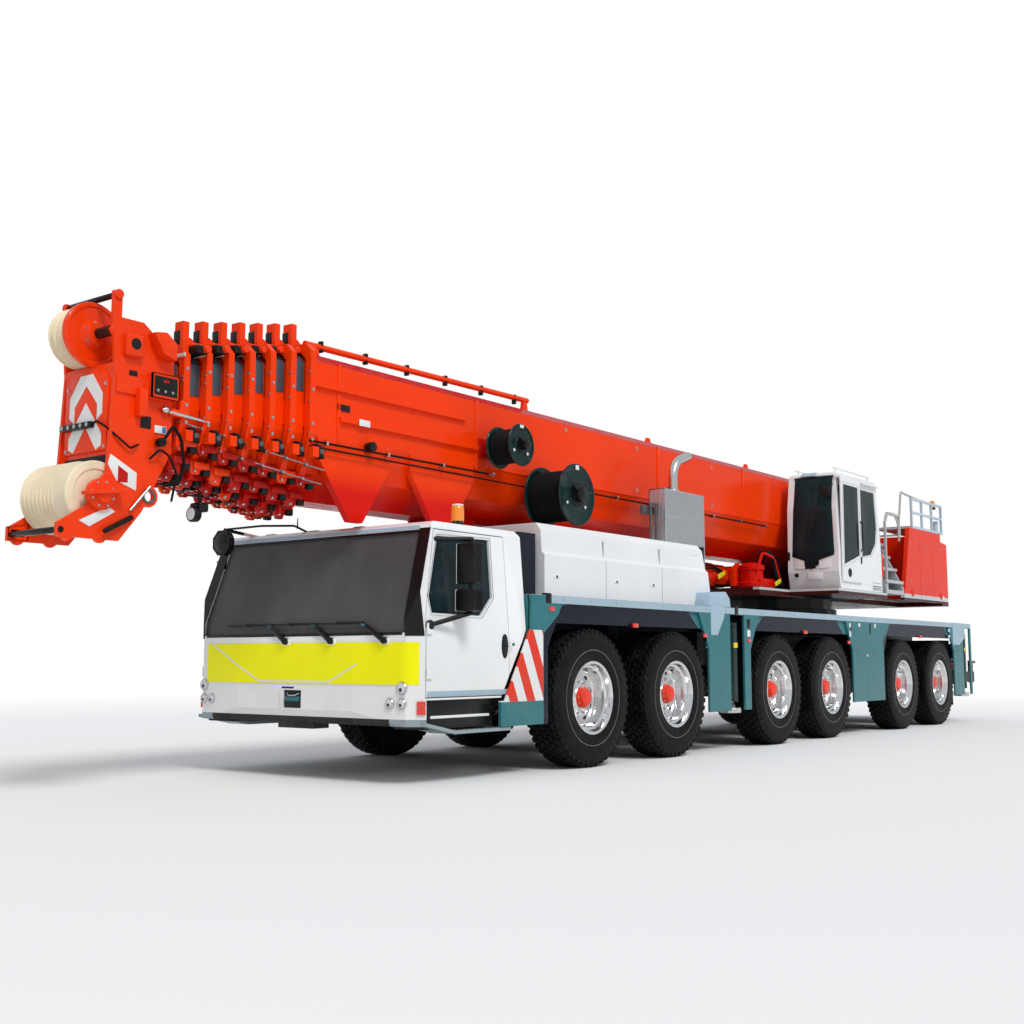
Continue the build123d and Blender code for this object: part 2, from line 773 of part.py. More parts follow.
def stripe_panel():
    """Skirt ahead of the first wheel, its front edge sloped under the cab's cut-away rear corner."""
    gap = DOOR_GAP + 12
    rear = AXLE_X[0] + ARCH_REACH
    under = DECK_TOP - DECK_EDGE
    return [
        (rear, SKIRT_BOTTOM),
        (ahead(STRIPE_FRONT), SKIRT_BOTTOM),
        (ahead(STRIPE_FRONT), STRIPE_STEP),
        (ahead(CAB_UNDERCUT_FRONT) - gap, STRIPE_STEP),
        (ahead(CAB_REAR) - gap, STRIPE_TOP),
        (ahead(CAB_REAR - 30), under + 10),
        (rear - ARCH_SLOPE, under + 10),
        (rear, ARCH_SPRING),
    ]


# ---- Driver's cab ----
def cab_body(inset):
    """Cab volume between its side, front and plan outlines, all drawn in by an inset."""
    rear = ahead(CAB_REAR) + inset
    front = ahead(CAB_FRONT) - inset
    low = CAB_BOTTOM + inset
    waist = CAB_WAIST + inset
    high = CAB_ROOF - inset
    half = CAB_HALF_WIDTH - inset
    roof_half = CAB_ROOF_HALF_WIDTH - inset
    side_view = [
        (rear, CAB_UNDERCUT_TOP + inset),
        (ahead(CAB_UNDERCUT_FRONT) + inset, waist),
        (ahead(BUMPER_REAR) + inset, waist),
        (ahead(BUMPER_REAR) + inset, low),
        (front - 60, low),
        (front, low + 120),
        (front, BUMPER_EDGE),
        (front - SCREEN_LEAN, high - 30),
        (front - SCREEN_LEAN - 70, high),
        (rear + 30, high),
        (rear, high - 40),
    ]
    front_view = [
        (-half, low),
        (half, low),
        (half, BUMPER_EDGE),
        (roof_half, high - 60),
        (roof_half - 50, high),
        (-roof_half + 50, high),
        (-roof_half, high - 60),
        (-half, BUMPER_EDGE),
    ]
    plan = [
        (rear, -half),
        (front - CAB_CORNER_DEPTH, -half),
        (front - CAB_BOW, -half + CAB_CORNER),
        (front, -half + CAB_BOW_START),
        (front, half - CAB_BOW_START),
        (front - CAB_BOW, half - CAB_CORNER),
        (front - CAB_CORNER_DEPTH, half),
        (rear, half),
    ]
    body = plate_y(side_view, -half, half)
    return body & plate_x(front_view, rear - 100, front + 100) & plate_z(plan, low - 100, high + 100)


def door_outline(grow):
    """Side outline of the door, grown all round."""
    rear = ahead(DOOR_REAR) - grow
    front = ahead(DOOR_FRONT) + grow
    return [
        (rear, DOOR_BOTTOM - grow),
        (front, DOOR_BOTTOM - grow),
        (front, DOOR_LEAN_START),
        (front - DOOR_LEAN, DOOR_TOP + grow),
        (rear, DOOR_TOP + grow),
    ]


def door_band(side):
    """The two Y places between which the door's thickness lies."""
    return side * (CAB_ROOF_HALF_WIDTH - 3 * CAB_WALL), side * (CAB_HALF_WIDTH + CAB_WALL)


def driver_cab():
    """Hollow shell with its window openings, floor, lamps, tow recess, steps and kerb mirror."""
    half = CAB_HALF_WIDTH
    shell = cab_body(0) - cab_body(CAB_WALL)
    low, high = SCREEN_SPAN
    low_reach = half - SCREEN_INSET[0]
    high_reach = half - SCREEN_INSET[1]
    screen = [(-low_reach, low), (low_reach, low), (high_reach, high), (-high_reach, high)]
    shell -= plate_x(screen, ahead(CAB_FRONT - SCREEN_LEAN - 140), ahead(CAB_FRONT + 50))
    reach = REAR_WINDOW_HALF_WIDTH
    shell -= block(ahead(CAB_REAR) - 50, ahead(CAB_REAR) + 60, -reach, reach, *REAR_WINDOW_SPAN)
    floor = block(ahead(CAB_REAR), ahead(CAB_FRONT), -half, half, FRAME_BOTTOM, FRAME_BOTTOM + CAB_FLOOR)
    shell += cab_body(CAB_WALL / 2) & floor
    well = FRAME_WIDTH / 2 + 20
    shell -= block(
        ahead(CAB_REAR) - 50, ahead(CAB_FRONT - 250), -well, well, NOSE_BOTTOM - 100, FRAME_BOTTOM + SEAT
    )
    recess = TOW_RECESS_HALF_WIDTH
    shell -= block(ahead(CAB_FRONT - CAB_WALL / 2), ahead(CAB_FRONT + 10), -recess, recess, *TOW_RECESS)
    low = CAB_BOTTOM - 50
    shell += block(ahead(CAB_FRONT - 240), ahead(CAB_FRONT - 50), -2 * recess, 2 * recess, low, low + 110)
    for side in (-1, 1):
        shell -= plate_y(door_outline(DOOR_GAP), *door_band(side))
        for y, z, radius in HEADLAMPS:
            bow = CAB_BOW * (y - half + CAB_BOW_START) / (CAB_BOW_START - CAB_CORNER)
            face = ahead(CAB_FRONT) - bow
            lamp = [(side * y + u, z + v) for u, v in corners(radius, TUBE_SIDES)]
            shell += plate_x(lamp, face - CAB_WALL, face + LAMP_DEPTH)
        shell += side_step(side)
    return shell + kerb_mirror() + roof_beacon()


def side_step(side):
    """Boarding step that runs back from the bumper's corner under a door."""
    inner = CAB_HALF_WIDTH - STEP_DEPTH
    points = [(ahead(x), z) for x, z in STEP_OUTLINE]
    step = plate_y(points, side * inner, side * (CAB_HALF_WIDTH + STEP_OVERHANG))
    x = ahead(STEP_HANGER)
    low = STEP_OUTLINE[0][1] + 10
    return step + block(x, x + 30, side * (inner + 10), side * (inner + 40), low, CAB_WAIST + 10)


def door_mirrors(side):
    """Two mirror heads on a post, which two arms carry from the front edge of the door."""
    x = ahead(MIRROR_X)
    y = side * (CAB_HALF_WIDTH + MIRROR_REACH)
    post_x = x - 30
    post_low, post_high = MIRROR_POST
    pieces = [
        block(post_x - MIRROR_BAR, post_x + MIRROR_BAR, y - MIRROR_BAR, y + MIRROR_BAR, post_low, post_high),
    ]
    depth = MIRROR_DEPTH / 2
    for low, high, width in MIRRORS:
        pieces.append(block(x - depth, x + depth, y - width / 2, y + width / 2, low, high))
    arm_z = post_high - MIRROR_BAR
    roof_foot = (ahead(MIRROR_ROOF_FOOT), side * (CAB_ROOF_HALF_WIDTH - 10), arm_z)
    waist_x, waist_z = MIRROR_WAIST_FOOT
    waist_foot = (ahead(waist_x), side * (CAB_HALF_WIDTH - CAB_WALL / 2), waist_z)
    pieces.append(bar((post_x, y, arm_z), roof_foot, MIRROR_BAR, 4))
    pieces.append(bar((post_x, y, post_low + MIRROR_BAR), waist_foot, MIRROR_BAR, 4))
    return merged(pieces)


def kerb_mirror():
    """Round kerb mirror on an arm ahead of the roof's right corner."""
    y = -CAB_ROOF_HALF_WIDTH + KERB_MIRROR_INSET
    tip = (ahead(CAB_FRONT - 40), y, CAB_ROOF + 40)
    arm = bar((ahead(CAB_FRONT - SCREEN_LEAN - 200), y, CAB_ROOF - 10), tip, MIRROR_BAR, 4)
    face_z = CAB_ROOF + 30 - KERB_MIRROR_RADIUS
    face = [(y + u, face_z + v) for u, v in corners(KERB_MIRROR_RADIUS, TUBE_SIDES)]
    return arm + plate_x(face, tip[0] - 20, tip[0] + 40)


def roof_beacon():
    y = CAB_ROOF_HALF_WIDTH - BEACON_INSET
    return flat_rod_z(ahead(BEACON_X), y, BEACON_RADIUS, CAB_ROOF - 10, CAB_ROOF + BEACON_HEIGHT)


def door(side):
    """Door panel with its window cut, its hinge barrels outside the skin, and its mirrors."""
    skin = cab_body(0) - cab_body(CAB_WALL)
    panel = skin & plate_y(door_outline(0), *door_band(side))
    panel -= plate_y([(ahead(x), z) for x, z in DOOR_WINDOW], *door_band(side))
    x = ahead(DOOR_FRONT)
    y = side * (CAB_HALF_WIDTH + HINGE_OFFSET)
    for z in HINGE_HEIGHTS:
        panel += flat_rod_z(x, y, HINGE_RADIUS, z, z + HINGE_LENGTH)
        leaf = (y - side * (HINGE_OFFSET + 5), y + side * (HINGE_RADIUS - 4))
        panel += block(x - HINGE_LEAF, x, *leaf, z, z + HINGE_LENGTH)
    return panel + door_mirrors(side)


def cab_interior():
    """Two seats, the dashboard and the steering wheel, standing on the floor."""
    floor = FRAME_BOTTOM + CAB_FLOOR + SEAT
    seat = [(ahead(x), floor) for x in SEAT_BASE] + [(ahead(x), z) for x, z in SEAT_OUTLINE]
    parts = []
    for y in (-SEAT_MIDDLE, SEAT_MIDDLE):
        parts.append(plate_y(seat, y - SEAT_WIDTH / 2, y + SEAT_WIDTH / 2))
    dash = [(ahead(x), floor) for x in DASH_BASE] + [(ahead(x), z) for x, z in DASH_OUTLINE]
    desk = plate_y(dash, -CAB_HALF_WIDTH + 250, CAB_HALF_WIDTH - 250)
    (foot_x, foot_z), (head_x, head_z) = STEERING_COLUMN
    foot = Vector(ahead(foot_x), SEAT_MIDDLE, foot_z)
    head = Vector(ahead(head_x), SEAT_MIDDLE, head_z)
    path = (head - foot).normalized()
    desk += bar(tuple(foot), tuple(head), 30, TUBE_SIDES)
    desk += bar(tuple(head - path * 15), tuple(head + path * 15), STEERING_WHEEL_RADIUS, DISC_SIDES)
    parts.append(desk)
    return parts


# ---- Engine cover, air intake and exhaust guard ----
def engine_cover():
    """Moulded cover with a swage along each side and a trough for the boom."""
    half = COVER_HALF_WIDTH
    top = COVER_TOP
    low = DECK_TOP + SEAT
    right = [
        (half, low),
        (half, COVER_SWAGE - COVER_STEP),
        (half - COVER_STEP, COVER_SWAGE),
        (half - COVER_STEP - 14, top - COVER_SHOULDER),
        (half - COVER_STEP - COVER_SHOULDER, top),
        (TROUGH_HALF_WIDTH, top),
        (TROUGH_HALF_WIDTH, TROUGH_TOP),
    ]
    left = [(-y, z) for y, z in reversed(right)]
    body = plate_x(right + left, ahead(COVER_REAR - COVER_RAKE), ahead(COVER_FRONT))
    rake = [
        (ahead(COVER_REAR - 2 * COVER_RAKE), low - 10),
        (ahead(COVER_REAR - COVER_RAKE), low - 10),
        (ahead(COVER_REAR), top + 10),
        (ahead(COVER_REAR - 2 * COVER_RAKE), top + 10),
    ]
    return body - plate_y(rake, -half - 10, half + 10)


def air_intake():
    """Box on the deck between the cab and the engine cover."""
    front = ahead(INTAKE_FRONT)
    rear = ahead(INTAKE_REAR)
    low = DECK_TOP + SEAT
    outline = [
        (rear, low),
        (front, low),
        (front, INTAKE_TOP - INTAKE_CHAMFER),
        (front - INTAKE_CHAMFER, INTAKE_TOP),
        (rear, INTAKE_TOP),
    ]
    return plate_y(outline, *INTAKE_SPAN)


def exhaust_guard():
    """Ribbed heat screen on the left of the deck, with the bent stack out of its top."""
    x0 = ahead(GUARD_REAR)
    x1 = ahead(GUARD_FRONT)
    y1 = GUARD_OUTSET
    y0 = y1 - GUARD_DEPTH
    sheet = GUARD_SHEET
    low = COVER_TOP + SEAT
    guard = block(x0, x1, y1 - sheet, y1, low, GUARD_TOP)
    guard += block(x0, x1, y0, y0 + sheet, low, GUARD_TOP)
    guard += block(x0, x0 + sheet, y0, y1, DECK_TOP + SEAT, GUARD_TOP)
    guard += block(x1 - sheet, x1, y0, y1, low, GUARD_TOP)
    pitch = (x1 - x0) / GUARD_RIBS
    for i in range(GUARD_RIBS):
        x = x0 + pitch * (i + 0.5)
        guard += block(x - pitch / 4, x + pitch / 4, y1 - 5, y1 + sheet / 2, low + 30, GUARD_TOP - 30)
    middle = (y0 + y1) / 2
    stack_x = x0 + 560
    guard += block(stack_x - 80, stack_x + 80, y0, y1, GUARD_TOP - 60, GUARD_TOP - 20)
    path = Polyline(*[(stack_x + x, middle, GUARD_TOP + z) for x, z in STACK_BENDS])
    ring = make_face(Polyline(*corners(STACK_RADIUS, TUBE_SIDES), close=True))
    outline = Plane(origin=path @ 0, z_dir=(0, 0, 1)) * ring
    return guard + sweep(outline, path=path, transition=Transition.RIGHT)


# ---- Outriggers ----
def outrigger_beam(x, side):
    """Box beam with the jack tube at its outer end."""
    tip = side * (CARRIER_WIDTH / 2 - JACK_INSET)
    root = tip - side * BEAM_LENGTH
    half = BEAM_WIDTH / 2
    end = tip - side * (JACK_RADIUS - 10)
    beam = block(x - half, x + half, root, end, BEAM_BOTTOM, BEAM_BOTTOM + BEAM_HEIGHT)
    beam += flat_rod_z(x, tip, JACK_RADIUS, JACK_BOTTOM, JACK_TOP)
    return beam - bore_z(x, tip, JACK_ROD_RADIUS, JACK_BOTTOM - 10, JACK_TOP - JACK_CAP)


def outrigger_foot(x, side):
    """Jack rod with its foot plate."""
    tip = side * (CARRIER_WIDTH / 2 - JACK_INSET)
    rod = pin_z(x, tip, JACK_ROD_RADIUS, PAD_BOTTOM + 10, JACK_TOP - JACK_CAP - 20)
    return rod + flat_rod_z(x, tip, PAD_RADIUS, PAD_BOTTOM, PAD_BOTTOM + PAD_THICKNESS)


# ---- Upper works ----
def slewing_frame():
    """Slewing platform with the boom's two foot cheeks and the ears of the luffing cylinder."""
    floor = UPPER_FLOOR
    top = floor + UPPER_PLATE
    side_floor = floor + 30
    rear = FOOT_X - BALLAST_BEHIND_FOOT + SEAT
    edge = OPERATOR_HALF_WIDTH
    pieces = [
        block(rear, CYLINDER_X + 250, -UPPER_HALF_WIDTH, UPPER_HALF_WIDTH, floor, top),
        block(SLEW_X + LEFT_FLOOR_REAR, SLEW_X + OPERATOR_FRONT + 30, UPPER_HALF_WIDTH - 10, edge,
              side_floor, top),
        block(SLEW_X + RIGHT_FLOOR_SPAN[0], SLEW_X + RIGHT_FLOOR_SPAN[1], -edge + 70,
              -UPPER_HALF_WIDTH + 10, side_floor, top),
        flat_rod_z(SLEW_X, 0, RING_RADIUS, DECK_TOP + RING_HEIGHT, floor + 10, RING_SIDES),
    ]
    outline = [(rear, CHEEK_OUTLINE[0][1])]
    outline += [(SLEW_X + x, z) for x, z in CHEEK_OUTLINE]
    outline += [(rear, CHEEK_TAIL_HEIGHT)]
    ear_outline = [(CYLINDER_X - EAR_RADIUS, top - 10), (CYLINDER_X + EAR_RADIUS, top - 10)]
    arc = [(CYLINDER_X + x, CYLINDER_FOOT_HEIGHT + z) for x, z in corners(EAR_RADIUS, PIN_SIDES)]
    ear_outline += [(x, z) for x, z in arc if z > CYLINDER_FOOT_HEIGHT]
    whole = merged(pieces)
    for side in (-1, 1):
        inner = side * CHEEK_INSET
        outer = side * (CHEEK_INSET + CHEEK_THICKNESS)
        whole += plate_y(outline, inner, outer)
        whole -= bore_y(FOOT_X, FOOT_HEIGHT, FOOT_PIN_RADIUS, inner, outer)
        drum_x = FOOT_X - DRUM_BEHIND_FOOT
        whole -= bore_y(drum_x, DRUM_HEIGHT, DRUM_SHAFT_RADIUS, inner, outer)
        near = side * EAR_INSET
        far = side * (EAR_INSET + EAR_THICKNESS)
        whole += plate_y(ear_outline, near, far)
        whole -= bore_y(CYLINDER_X, CYLINDER_FOOT_HEIGHT, CYLINDER_PIN_RADIUS, near, far)
    return whole


def operator_body(inset):
    """Operator's cab volume drawn in by an inset."""
    front = SLEW_X + OPERATOR_FRONT - inset
    rear = SLEW_X + OPERATOR_REAR + inset
    low = UPPER_FLOOR + UPPER_PLATE + SEAT + inset
    high = OPERATOR_TOP - inset
    far = OPERATOR_HALF_WIDTH - inset
    near = OPERATOR_HALF_WIDTH - OPERATOR_WIDTH + inset
    side_view = [
        (rear, low),
        (front - 60, low),
        (front, low + 240),
        (front - 20, high - 540),
        (front - 110, high - 30),
        (front - 160, high),
        (rear + 40, high),
        (rear, high - 60),
    ]
    front_view = [
        (near, low),
        (far, low),
        (far, 2600),
        (far - OPERATOR_TUMBLEHOME, high - 40),
        (far - OPERATOR_TUMBLEHOME - 40, high),
        (near + 30, high),
        (near, high - 40),
    ]
    return plate_y(side_view, near, far) & plate_x(front_view, rear - 10, front + 10)


def slide_door_outline(grow):
    rear = SLEW_X + SLIDE_DOOR_REAR - grow
    front = SLEW_X + SLIDE_DOOR_FRONT + grow
    low = SLIDE_DOOR_BOTTOM - grow
    high = SLIDE_DOOR_TOP + grow
    return [(rear, low), (front, low), (front, high), (rear, high)]


def operator_cab():
    """Hollow shell with a notched windscreen, side and rear windows, door opening and rails."""
    far = OPERATOR_HALF_WIDTH
    near = far - OPERATOR_WIDTH
    front = SLEW_X + OPERATOR_FRONT
    rear = SLEW_X + OPERATOR_REAR
    shell = operator_body(0) - operator_body(OPERATOR_WALL)
    screen = [(near + share * OPERATOR_WIDTH, z) for share, z in OPERATOR_SCREEN]
    shell -= plate_x(screen, front - 300, front + 50)
    outer_band = (far - 6 * OPERATOR_WALL, far + 2 * OPERATOR_WALL)
    shell -= plate_y(slide_door_outline(-SLIDE_DOOR_LAP), *outer_band)
    shell -= plate_y([(SLEW_X + x, z) for x, z in OPERATOR_REAR_WINDOW], *outer_band)
    shell -= block(rear - 50, rear + 60, near + 120, far - 140, *OPERATOR_BACK_WINDOW)
    for z in (SLIDE_DOOR_BOTTOM - 45, SLIDE_DOOR_TOP + 20):
        rail_y = far - OPERATOR_TUMBLEHOME - 10
        shell += block(rear + 40, SLEW_X + SLIDE_DOOR_FRONT, rail_y, far + 5.2, z, z + SLIDE_RAIL)
    for y in (near + 60, far - 140):
        for x in (rear + 120, front - 300):
            shell += block(x, x + RAIL_BAR, y, y + RAIL_BAR, OPERATOR_TOP - 10, OPERATOR_TOP + 70)
        rail_z = OPERATOR_TOP + 60
        shell += block(rear + 60, front - 200, y, y + RAIL_BAR, rail_z, rail_z + RAIL_BAR)
    return shell


def operator_door():
    """Sliding door outside the left wall, hung on rails at its top and bottom."""
    inner = OPERATOR_HALF_WIDTH + 10
    outer = inner + SLIDE_DOOR_SHEET
    hook = OPERATOR_HALF_WIDTH + 5.5
    rear = SLEW_X + SLIDE_DOOR_REAR
    front = SLEW_X + SLIDE_DOOR_FRONT
    panel = plate_y(slide_door_outline(0), inner, outer)
    panel += block(rear, front, hook, outer, SLIDE_DOOR_BOTTOM - 40, SLIDE_DOOR_BOTTOM + 30)
    panel += block(rear, front, hook, outer, SLIDE_DOOR_TOP - 20, SLIDE_DOOR_TOP + 45)
    return panel - plate_y([(SLEW_X + x, z) for x, z in SLIDE_DOOR_WINDOW], inner - 10, outer + 10)


def access_ladder():
    """Stair behind the operator's cab, the platform it leads to, and their rails."""
    x0 = SLEW_X + STAIR_REAR
    x1 = SLEW_X + STAIR_FRONT - SEAT
    base = UPPER_FLOOR + UPPER_PLATE + SEAT
    far = OPERATOR_HALF_WIDTH - 10
    rise = (STAIR_TOP - base) / (STAIR_STEPS + 1)
    run = (far - STAIR_INNER) / (STAIR_STEPS + 2)
    pieces = [block(x0, x1, STAIR_INNER, far, base, base + 60)]
    for step in range(STAIR_STEPS):
        z = base + rise * (step + 1)
        near = far - run * step
        pieces.append(block(x0, x1, near - STAIR_TREAD, near, z - 30, z))
    for x in (x0, x1 - PLATFORM_SHEET):
        stringer = [
            (far, base),
            (far, base + 100),
            (STAIR_INNER + 140, STAIR_TOP),
            (STAIR_INNER, STAIR_TOP),
            (STAIR_INNER, base),
        ]
        pieces.append(plate_x(stringer, x, x + PLATFORM_SHEET))
    hoop_y = far - RAIL_BAR
    hoop = [(x1 - 60, base + 30), (x1 - 60, 3150), (x1 - 160, 3300), (x0 + 80, 3300), (x0 + 80, 3000)]
    for (xa, za), (xb, zb) in zip(hoop, hoop[1:]):
        pieces.append(bar((xa, hoop_y, za), (xb, hoop_y, zb), RAIL_BAR, 4))
    pieces.append(block(x0 + 80 - RAIL_BAR, x0 + 80 + RAIL_BAR, STAIR_INNER + 100, far, 2985, 3015))
    return [merged(pieces), platform()]


def platform():
    """Railed walkway along the left side over the ballast."""
    far = OPERATOR_HALF_WIDTH - 20
    near = far - 600
    x0 = SLEW_X + PLATFORM_REAR
    x1 = SLEW_X + PLATFORM_FRONT
    top = PLATFORM_TOP
    low = top - PLATFORM_SHEET
    pieces = [block(x0, x1, near, far, low, top)]
    for i in range(RAIL_POSTS):
        x = x0 + RAIL_BAR + (x1 - x0 - 2 * RAIL_BAR) * i / (RAIL_POSTS - 1)
        pieces.append(block(x - RAIL_BAR, x + RAIL_BAR, far - 2 * RAIL_BAR, far, low, RAIL_TOP))
    for z in ((top + RAIL_TOP) / 2, RAIL_TOP):
        pieces.append(block(x0, x1, far - 2 * RAIL_BAR, far, z - RAIL_BAR, z + RAIL_BAR))
    pieces.append(flat_rod_z(x0 + 90, far - 100, 50, top - 10, top + 190))
    return merged(pieces)


def counterweight():
    """Rear ballast slab and the tapered side housing ahead of it, under the platform."""
    x1 = FOOT_X - BALLAST_BEHIND_FOOT
    x0 = x1 - BALLAST_THICKNESS
    half = CARRIER_WIDTH / 2 - 40
    crown = BALLAST_TOP + BALLAST_SLOPE
    slab = [
        (-half, UPPER_FLOOR),
        (half, UPPER_FLOOR),
        (half, BALLAST_TOP),
        (half - BALLAST_CORNER, crown),
        (-half + BALLAST_CORNER, crown),
        (-half, BALLAST_TOP),
    ]
    weight = plate_x(slab, x0, x1)
    (foot_x, foot_z), (head_x, head_z) = HOUSING_FRONT
    housing = [
        (x1 - 10, foot_z),
        (SLEW_X + foot_x, foot_z),
        (SLEW_X + head_x, head_z - SEAT),
        (x1 - 10, head_z - SEAT),
    ]
    return weight + plate_y(housing, half - HOUSING_THICKNESS, half)


def hoist_drum():
    x = FOOT_X - DRUM_BEHIND_FOOT
    half = DRUM_HALF_LENGTH
    flange = half - DRUM_FLANGE
    profile = [
        (0, -half),
        (DRUM_FLANGE_RADIUS, -half),
        (DRUM_FLANGE_RADIUS, -flange),
        (DRUM_RADIUS, -flange),
        (DRUM_RADIUS, flange),
        (DRUM_FLANGE_RADIUS, flange),
        (DRUM_FLANGE_RADIUS, half),
        (0, half),
    ]
    shaft = CHEEK_INSET + CHEEK_THICKNESS - 10
    drum = turned(profile, DISC_SIDES, x, DRUM_HEIGHT)
    return drum + pin_y(x, DRUM_HEIGHT, DRUM_SHAFT_RADIUS, -shaft, shaft)


# ---- Luffing cylinder ----
def luffing_line():
    """Foot pin, direction and rod-end pin of the luffing cylinder."""
    start = Vector(CYLINDER_X, 0, CYLINDER_FOOT_HEIGHT)
    end = Vector(FOOT_X + UPPER_PIN_AHEAD_OF_FOOT, 0, UPPER_PIN_HEIGHT)
    return start, (end - start).normalized(), end


def luffing_barrel():
    start, path, end = luffing_line()
    far = tuple(start + path * BARREL_LENGTH)
    barrel = bar(tuple(start + path * 60), far, BARREL_RADIUS, DISC_SIDES)
    gland = bar(tuple(start + path * (BARREL_LENGTH - 120)), far, BARREL_RADIUS + 18, DISC_SIDES)
    barrel += gland
    mouth = tuple(start + path * (BARREL_LENGTH + 10))
    barrel -= bar(tuple(start + path * (ROD_END_GAP - 20)), mouth, ROD_RADIUS + FIT, DISC_SIDES)
    eye = EAR_INSET - RUNNING_CLEARANCE
    barrel += flat_rod_y(start.X, start.Z, BARREL_RADIUS - 15, -eye, eye, DISC_SIDES)
    pin = EAR_INSET + EAR_THICKNESS + 10
    return barrel + pin_y(start.X, start.Z, CYLINDER_PIN_RADIUS, -pin, pin)


def luffing_rod():
    start, path, end = luffing_line()
    rod = bar(tuple(start + path * ROD_END_GAP), tuple(end - path * 60), ROD_RADIUS, DISC_SIDES)
    eye = UPPER_EAR_INSET - RUNNING_CLEARANCE
    rod += flat_rod_y(end.X, end.Z, ROD_RADIUS + 8, -eye, eye, DISC_SIDES)
    return rod - bore_y(end.X, end.Z, UPPER_PIN_RADIUS, -eye - 5, eye + 5)


# ---- Boom ----
def belly(half_width, depth):
    """Lower half of a boom section: equal bends round a half ellipse."""
    angles = [math.pi * i / BELLY_BENDS for i in range(BELLY_BENDS + 1)]
    return [(half_width * math.cos(a), BOOM_SHOULDER - depth * math.sin(a)) for a in angles]


def belly_flat(inset):
    """Height of the flat under a section drawn in by an inset."""
    return min(z for y, z in belly(BOOM_WIDTH / 2 - inset, BOOM_SHOULDER - BOOM_BOTTOM - inset))


def section_outline(inset):
    """Boom section outline drawn in by an inset from the base section's outside."""
    half = BOOM_WIDTH / 2 - inset
    top = BOOM_TOP - inset
    corner = BOOM_CORNER
    crown = [(-half, top - corner), (-half + corner, top), (half - corner, top), (half, top - corner)]
    return crown + belly(half, BOOM_SHOULDER - BOOM_BOTTOM - inset)


def tube(inset, x0, x1):
    outer = plate_x(section_outline(inset), x0, x1)
    return outer - plate_x(section_outline(inset + SECTION_WALL), x0 - 10, x1 + 10)


def collar(inset, x):
    """Frame round the open end of a section, with the rope tab on its top and side latches."""
    rear = x - COLLAR_THICKNESS
    outer = plate_x(section_outline(inset - COLLAR_RISE), rear, x)
    ring = outer - plate_x(section_outline(inset + SECTION_WALL), rear - 10, x + 10)
    top = BOOM_TOP - inset
    ring += block(rear, x, TAB_INSET, TAB_INSET + TAB_WIDTH, top, top + TAB_HEIGHT)
    for side in (-1, 1):
        edge = side * (BOOM_WIDTH / 2 - inset)
        low = LATCH_HEIGHT - LATCH_SIZE / 2
        latch = edge + side * (COLLAR_RISE + 35)
        ring += block(rear - 20, x - 10, edge - side * 30, latch, low, low + LATCH_SIZE)
        hook_y = side * 190
        belly_z = BOOM_BOTTOM + inset + 40
        ring += block(rear + 10, x - 10, hook_y - 35, hook_y + 35, belly_z - COLLAR_RISE - 95, belly_z)
    return ring


def guide_pads(inset, x0, x1):
    """Slide pads inside a section's mouth that carry the next section."""
    reach = inset + SECTION_WALL - 2
    seat = inset + SECTION_STEP - SEAT
    half = BOOM_WIDTH / 2
    pads = []
    for side in (-1, 1):
        low, high = SIDE_PAD
        pads.append(block(x0, x1, side * (half - reach), side * (half - seat), low, high))
    pads.append(block(x0, x1, -TOP_PAD, TOP_PAD, BOOM_TOP - reach, BOOM_TOP - seat))
    pads.append(block(x0, x1, -BELLY_PAD, BELLY_PAD, belly_flat(reach), belly_flat(seat)))
    return pads


def collar_x(k):
    """Front face of the collar of section k, the base being 0."""
    return ahead(COLLAR_AHEAD_OF_AXLE_1 + k * COLLAR_PITCH)


def boom_base():
    """Base section with its foot pins, cylinder ears, stowed-jib brackets, rails and pole."""
    tail = FOOT_X - 350
    mouth = collar_x(0)
    half = BOOM_WIDTH / 2
    base = tube(0, tail, mouth) + collar(0, mouth)
    base += block(tail, tail + 40, -half + 5, half - 5, 2900, BOOM_TOP - 80)
    heel = [(tail - 50, BOOM_BOTTOM - 50), (FOOT_X + 500, BOOM_BOTTOM - 50), (tail - 50, 2950)]
    base -= plate_y(heel, -half - 100, half + 100)
    for side in (-1, 1):
        skin = side * (half - 5)
        boss = side * (CHEEK_INSET - RUNNING_CLEARANCE)
        tip = side * (CHEEK_INSET + CHEEK_THICKNESS + 10)
        base += flat_rod_y(FOOT_X, FOOT_HEIGHT, FOOT_BOSS_RADIUS, skin, boss, DISC_SIDES)
        base += pin_y(FOOT_X, FOOT_HEIGHT, FOOT_PIN_RADIUS, boss, tip)
    for pad in guide_pads(0, mouth - PAD_LENGTH - 50, mouth - 5):
        base += pad
    return base + cylinder_ears() + boom_side_fittings() + boom_top_fittings()


def cylinder_ears():
    """Two ears under the boom with the pin of the luffing cylinder's rod."""
    x = FOOT_X + UPPER_PIN_AHEAD_OF_FOOT
    low = UPPER_PIN_HEIGHT - 90
    outline = [(x - 300, BOOM_BOTTOM + 60), (x + 300, BOOM_BOTTOM + 60), (x + 110, low), (x - 110, low)]
    ears = []
    for side in (-1, 1):
        ears.append(plate_y(outline, side * UPPER_EAR_INSET, side * (UPPER_EAR_INSET + UPPER_EAR_THICKNESS)))
    reach = UPPER_EAR_INSET + UPPER_EAR_THICKNESS
    return merged(ears) + pin_y(x, UPPER_PIN_HEIGHT, UPPER_PIN_RADIUS, -reach, reach)


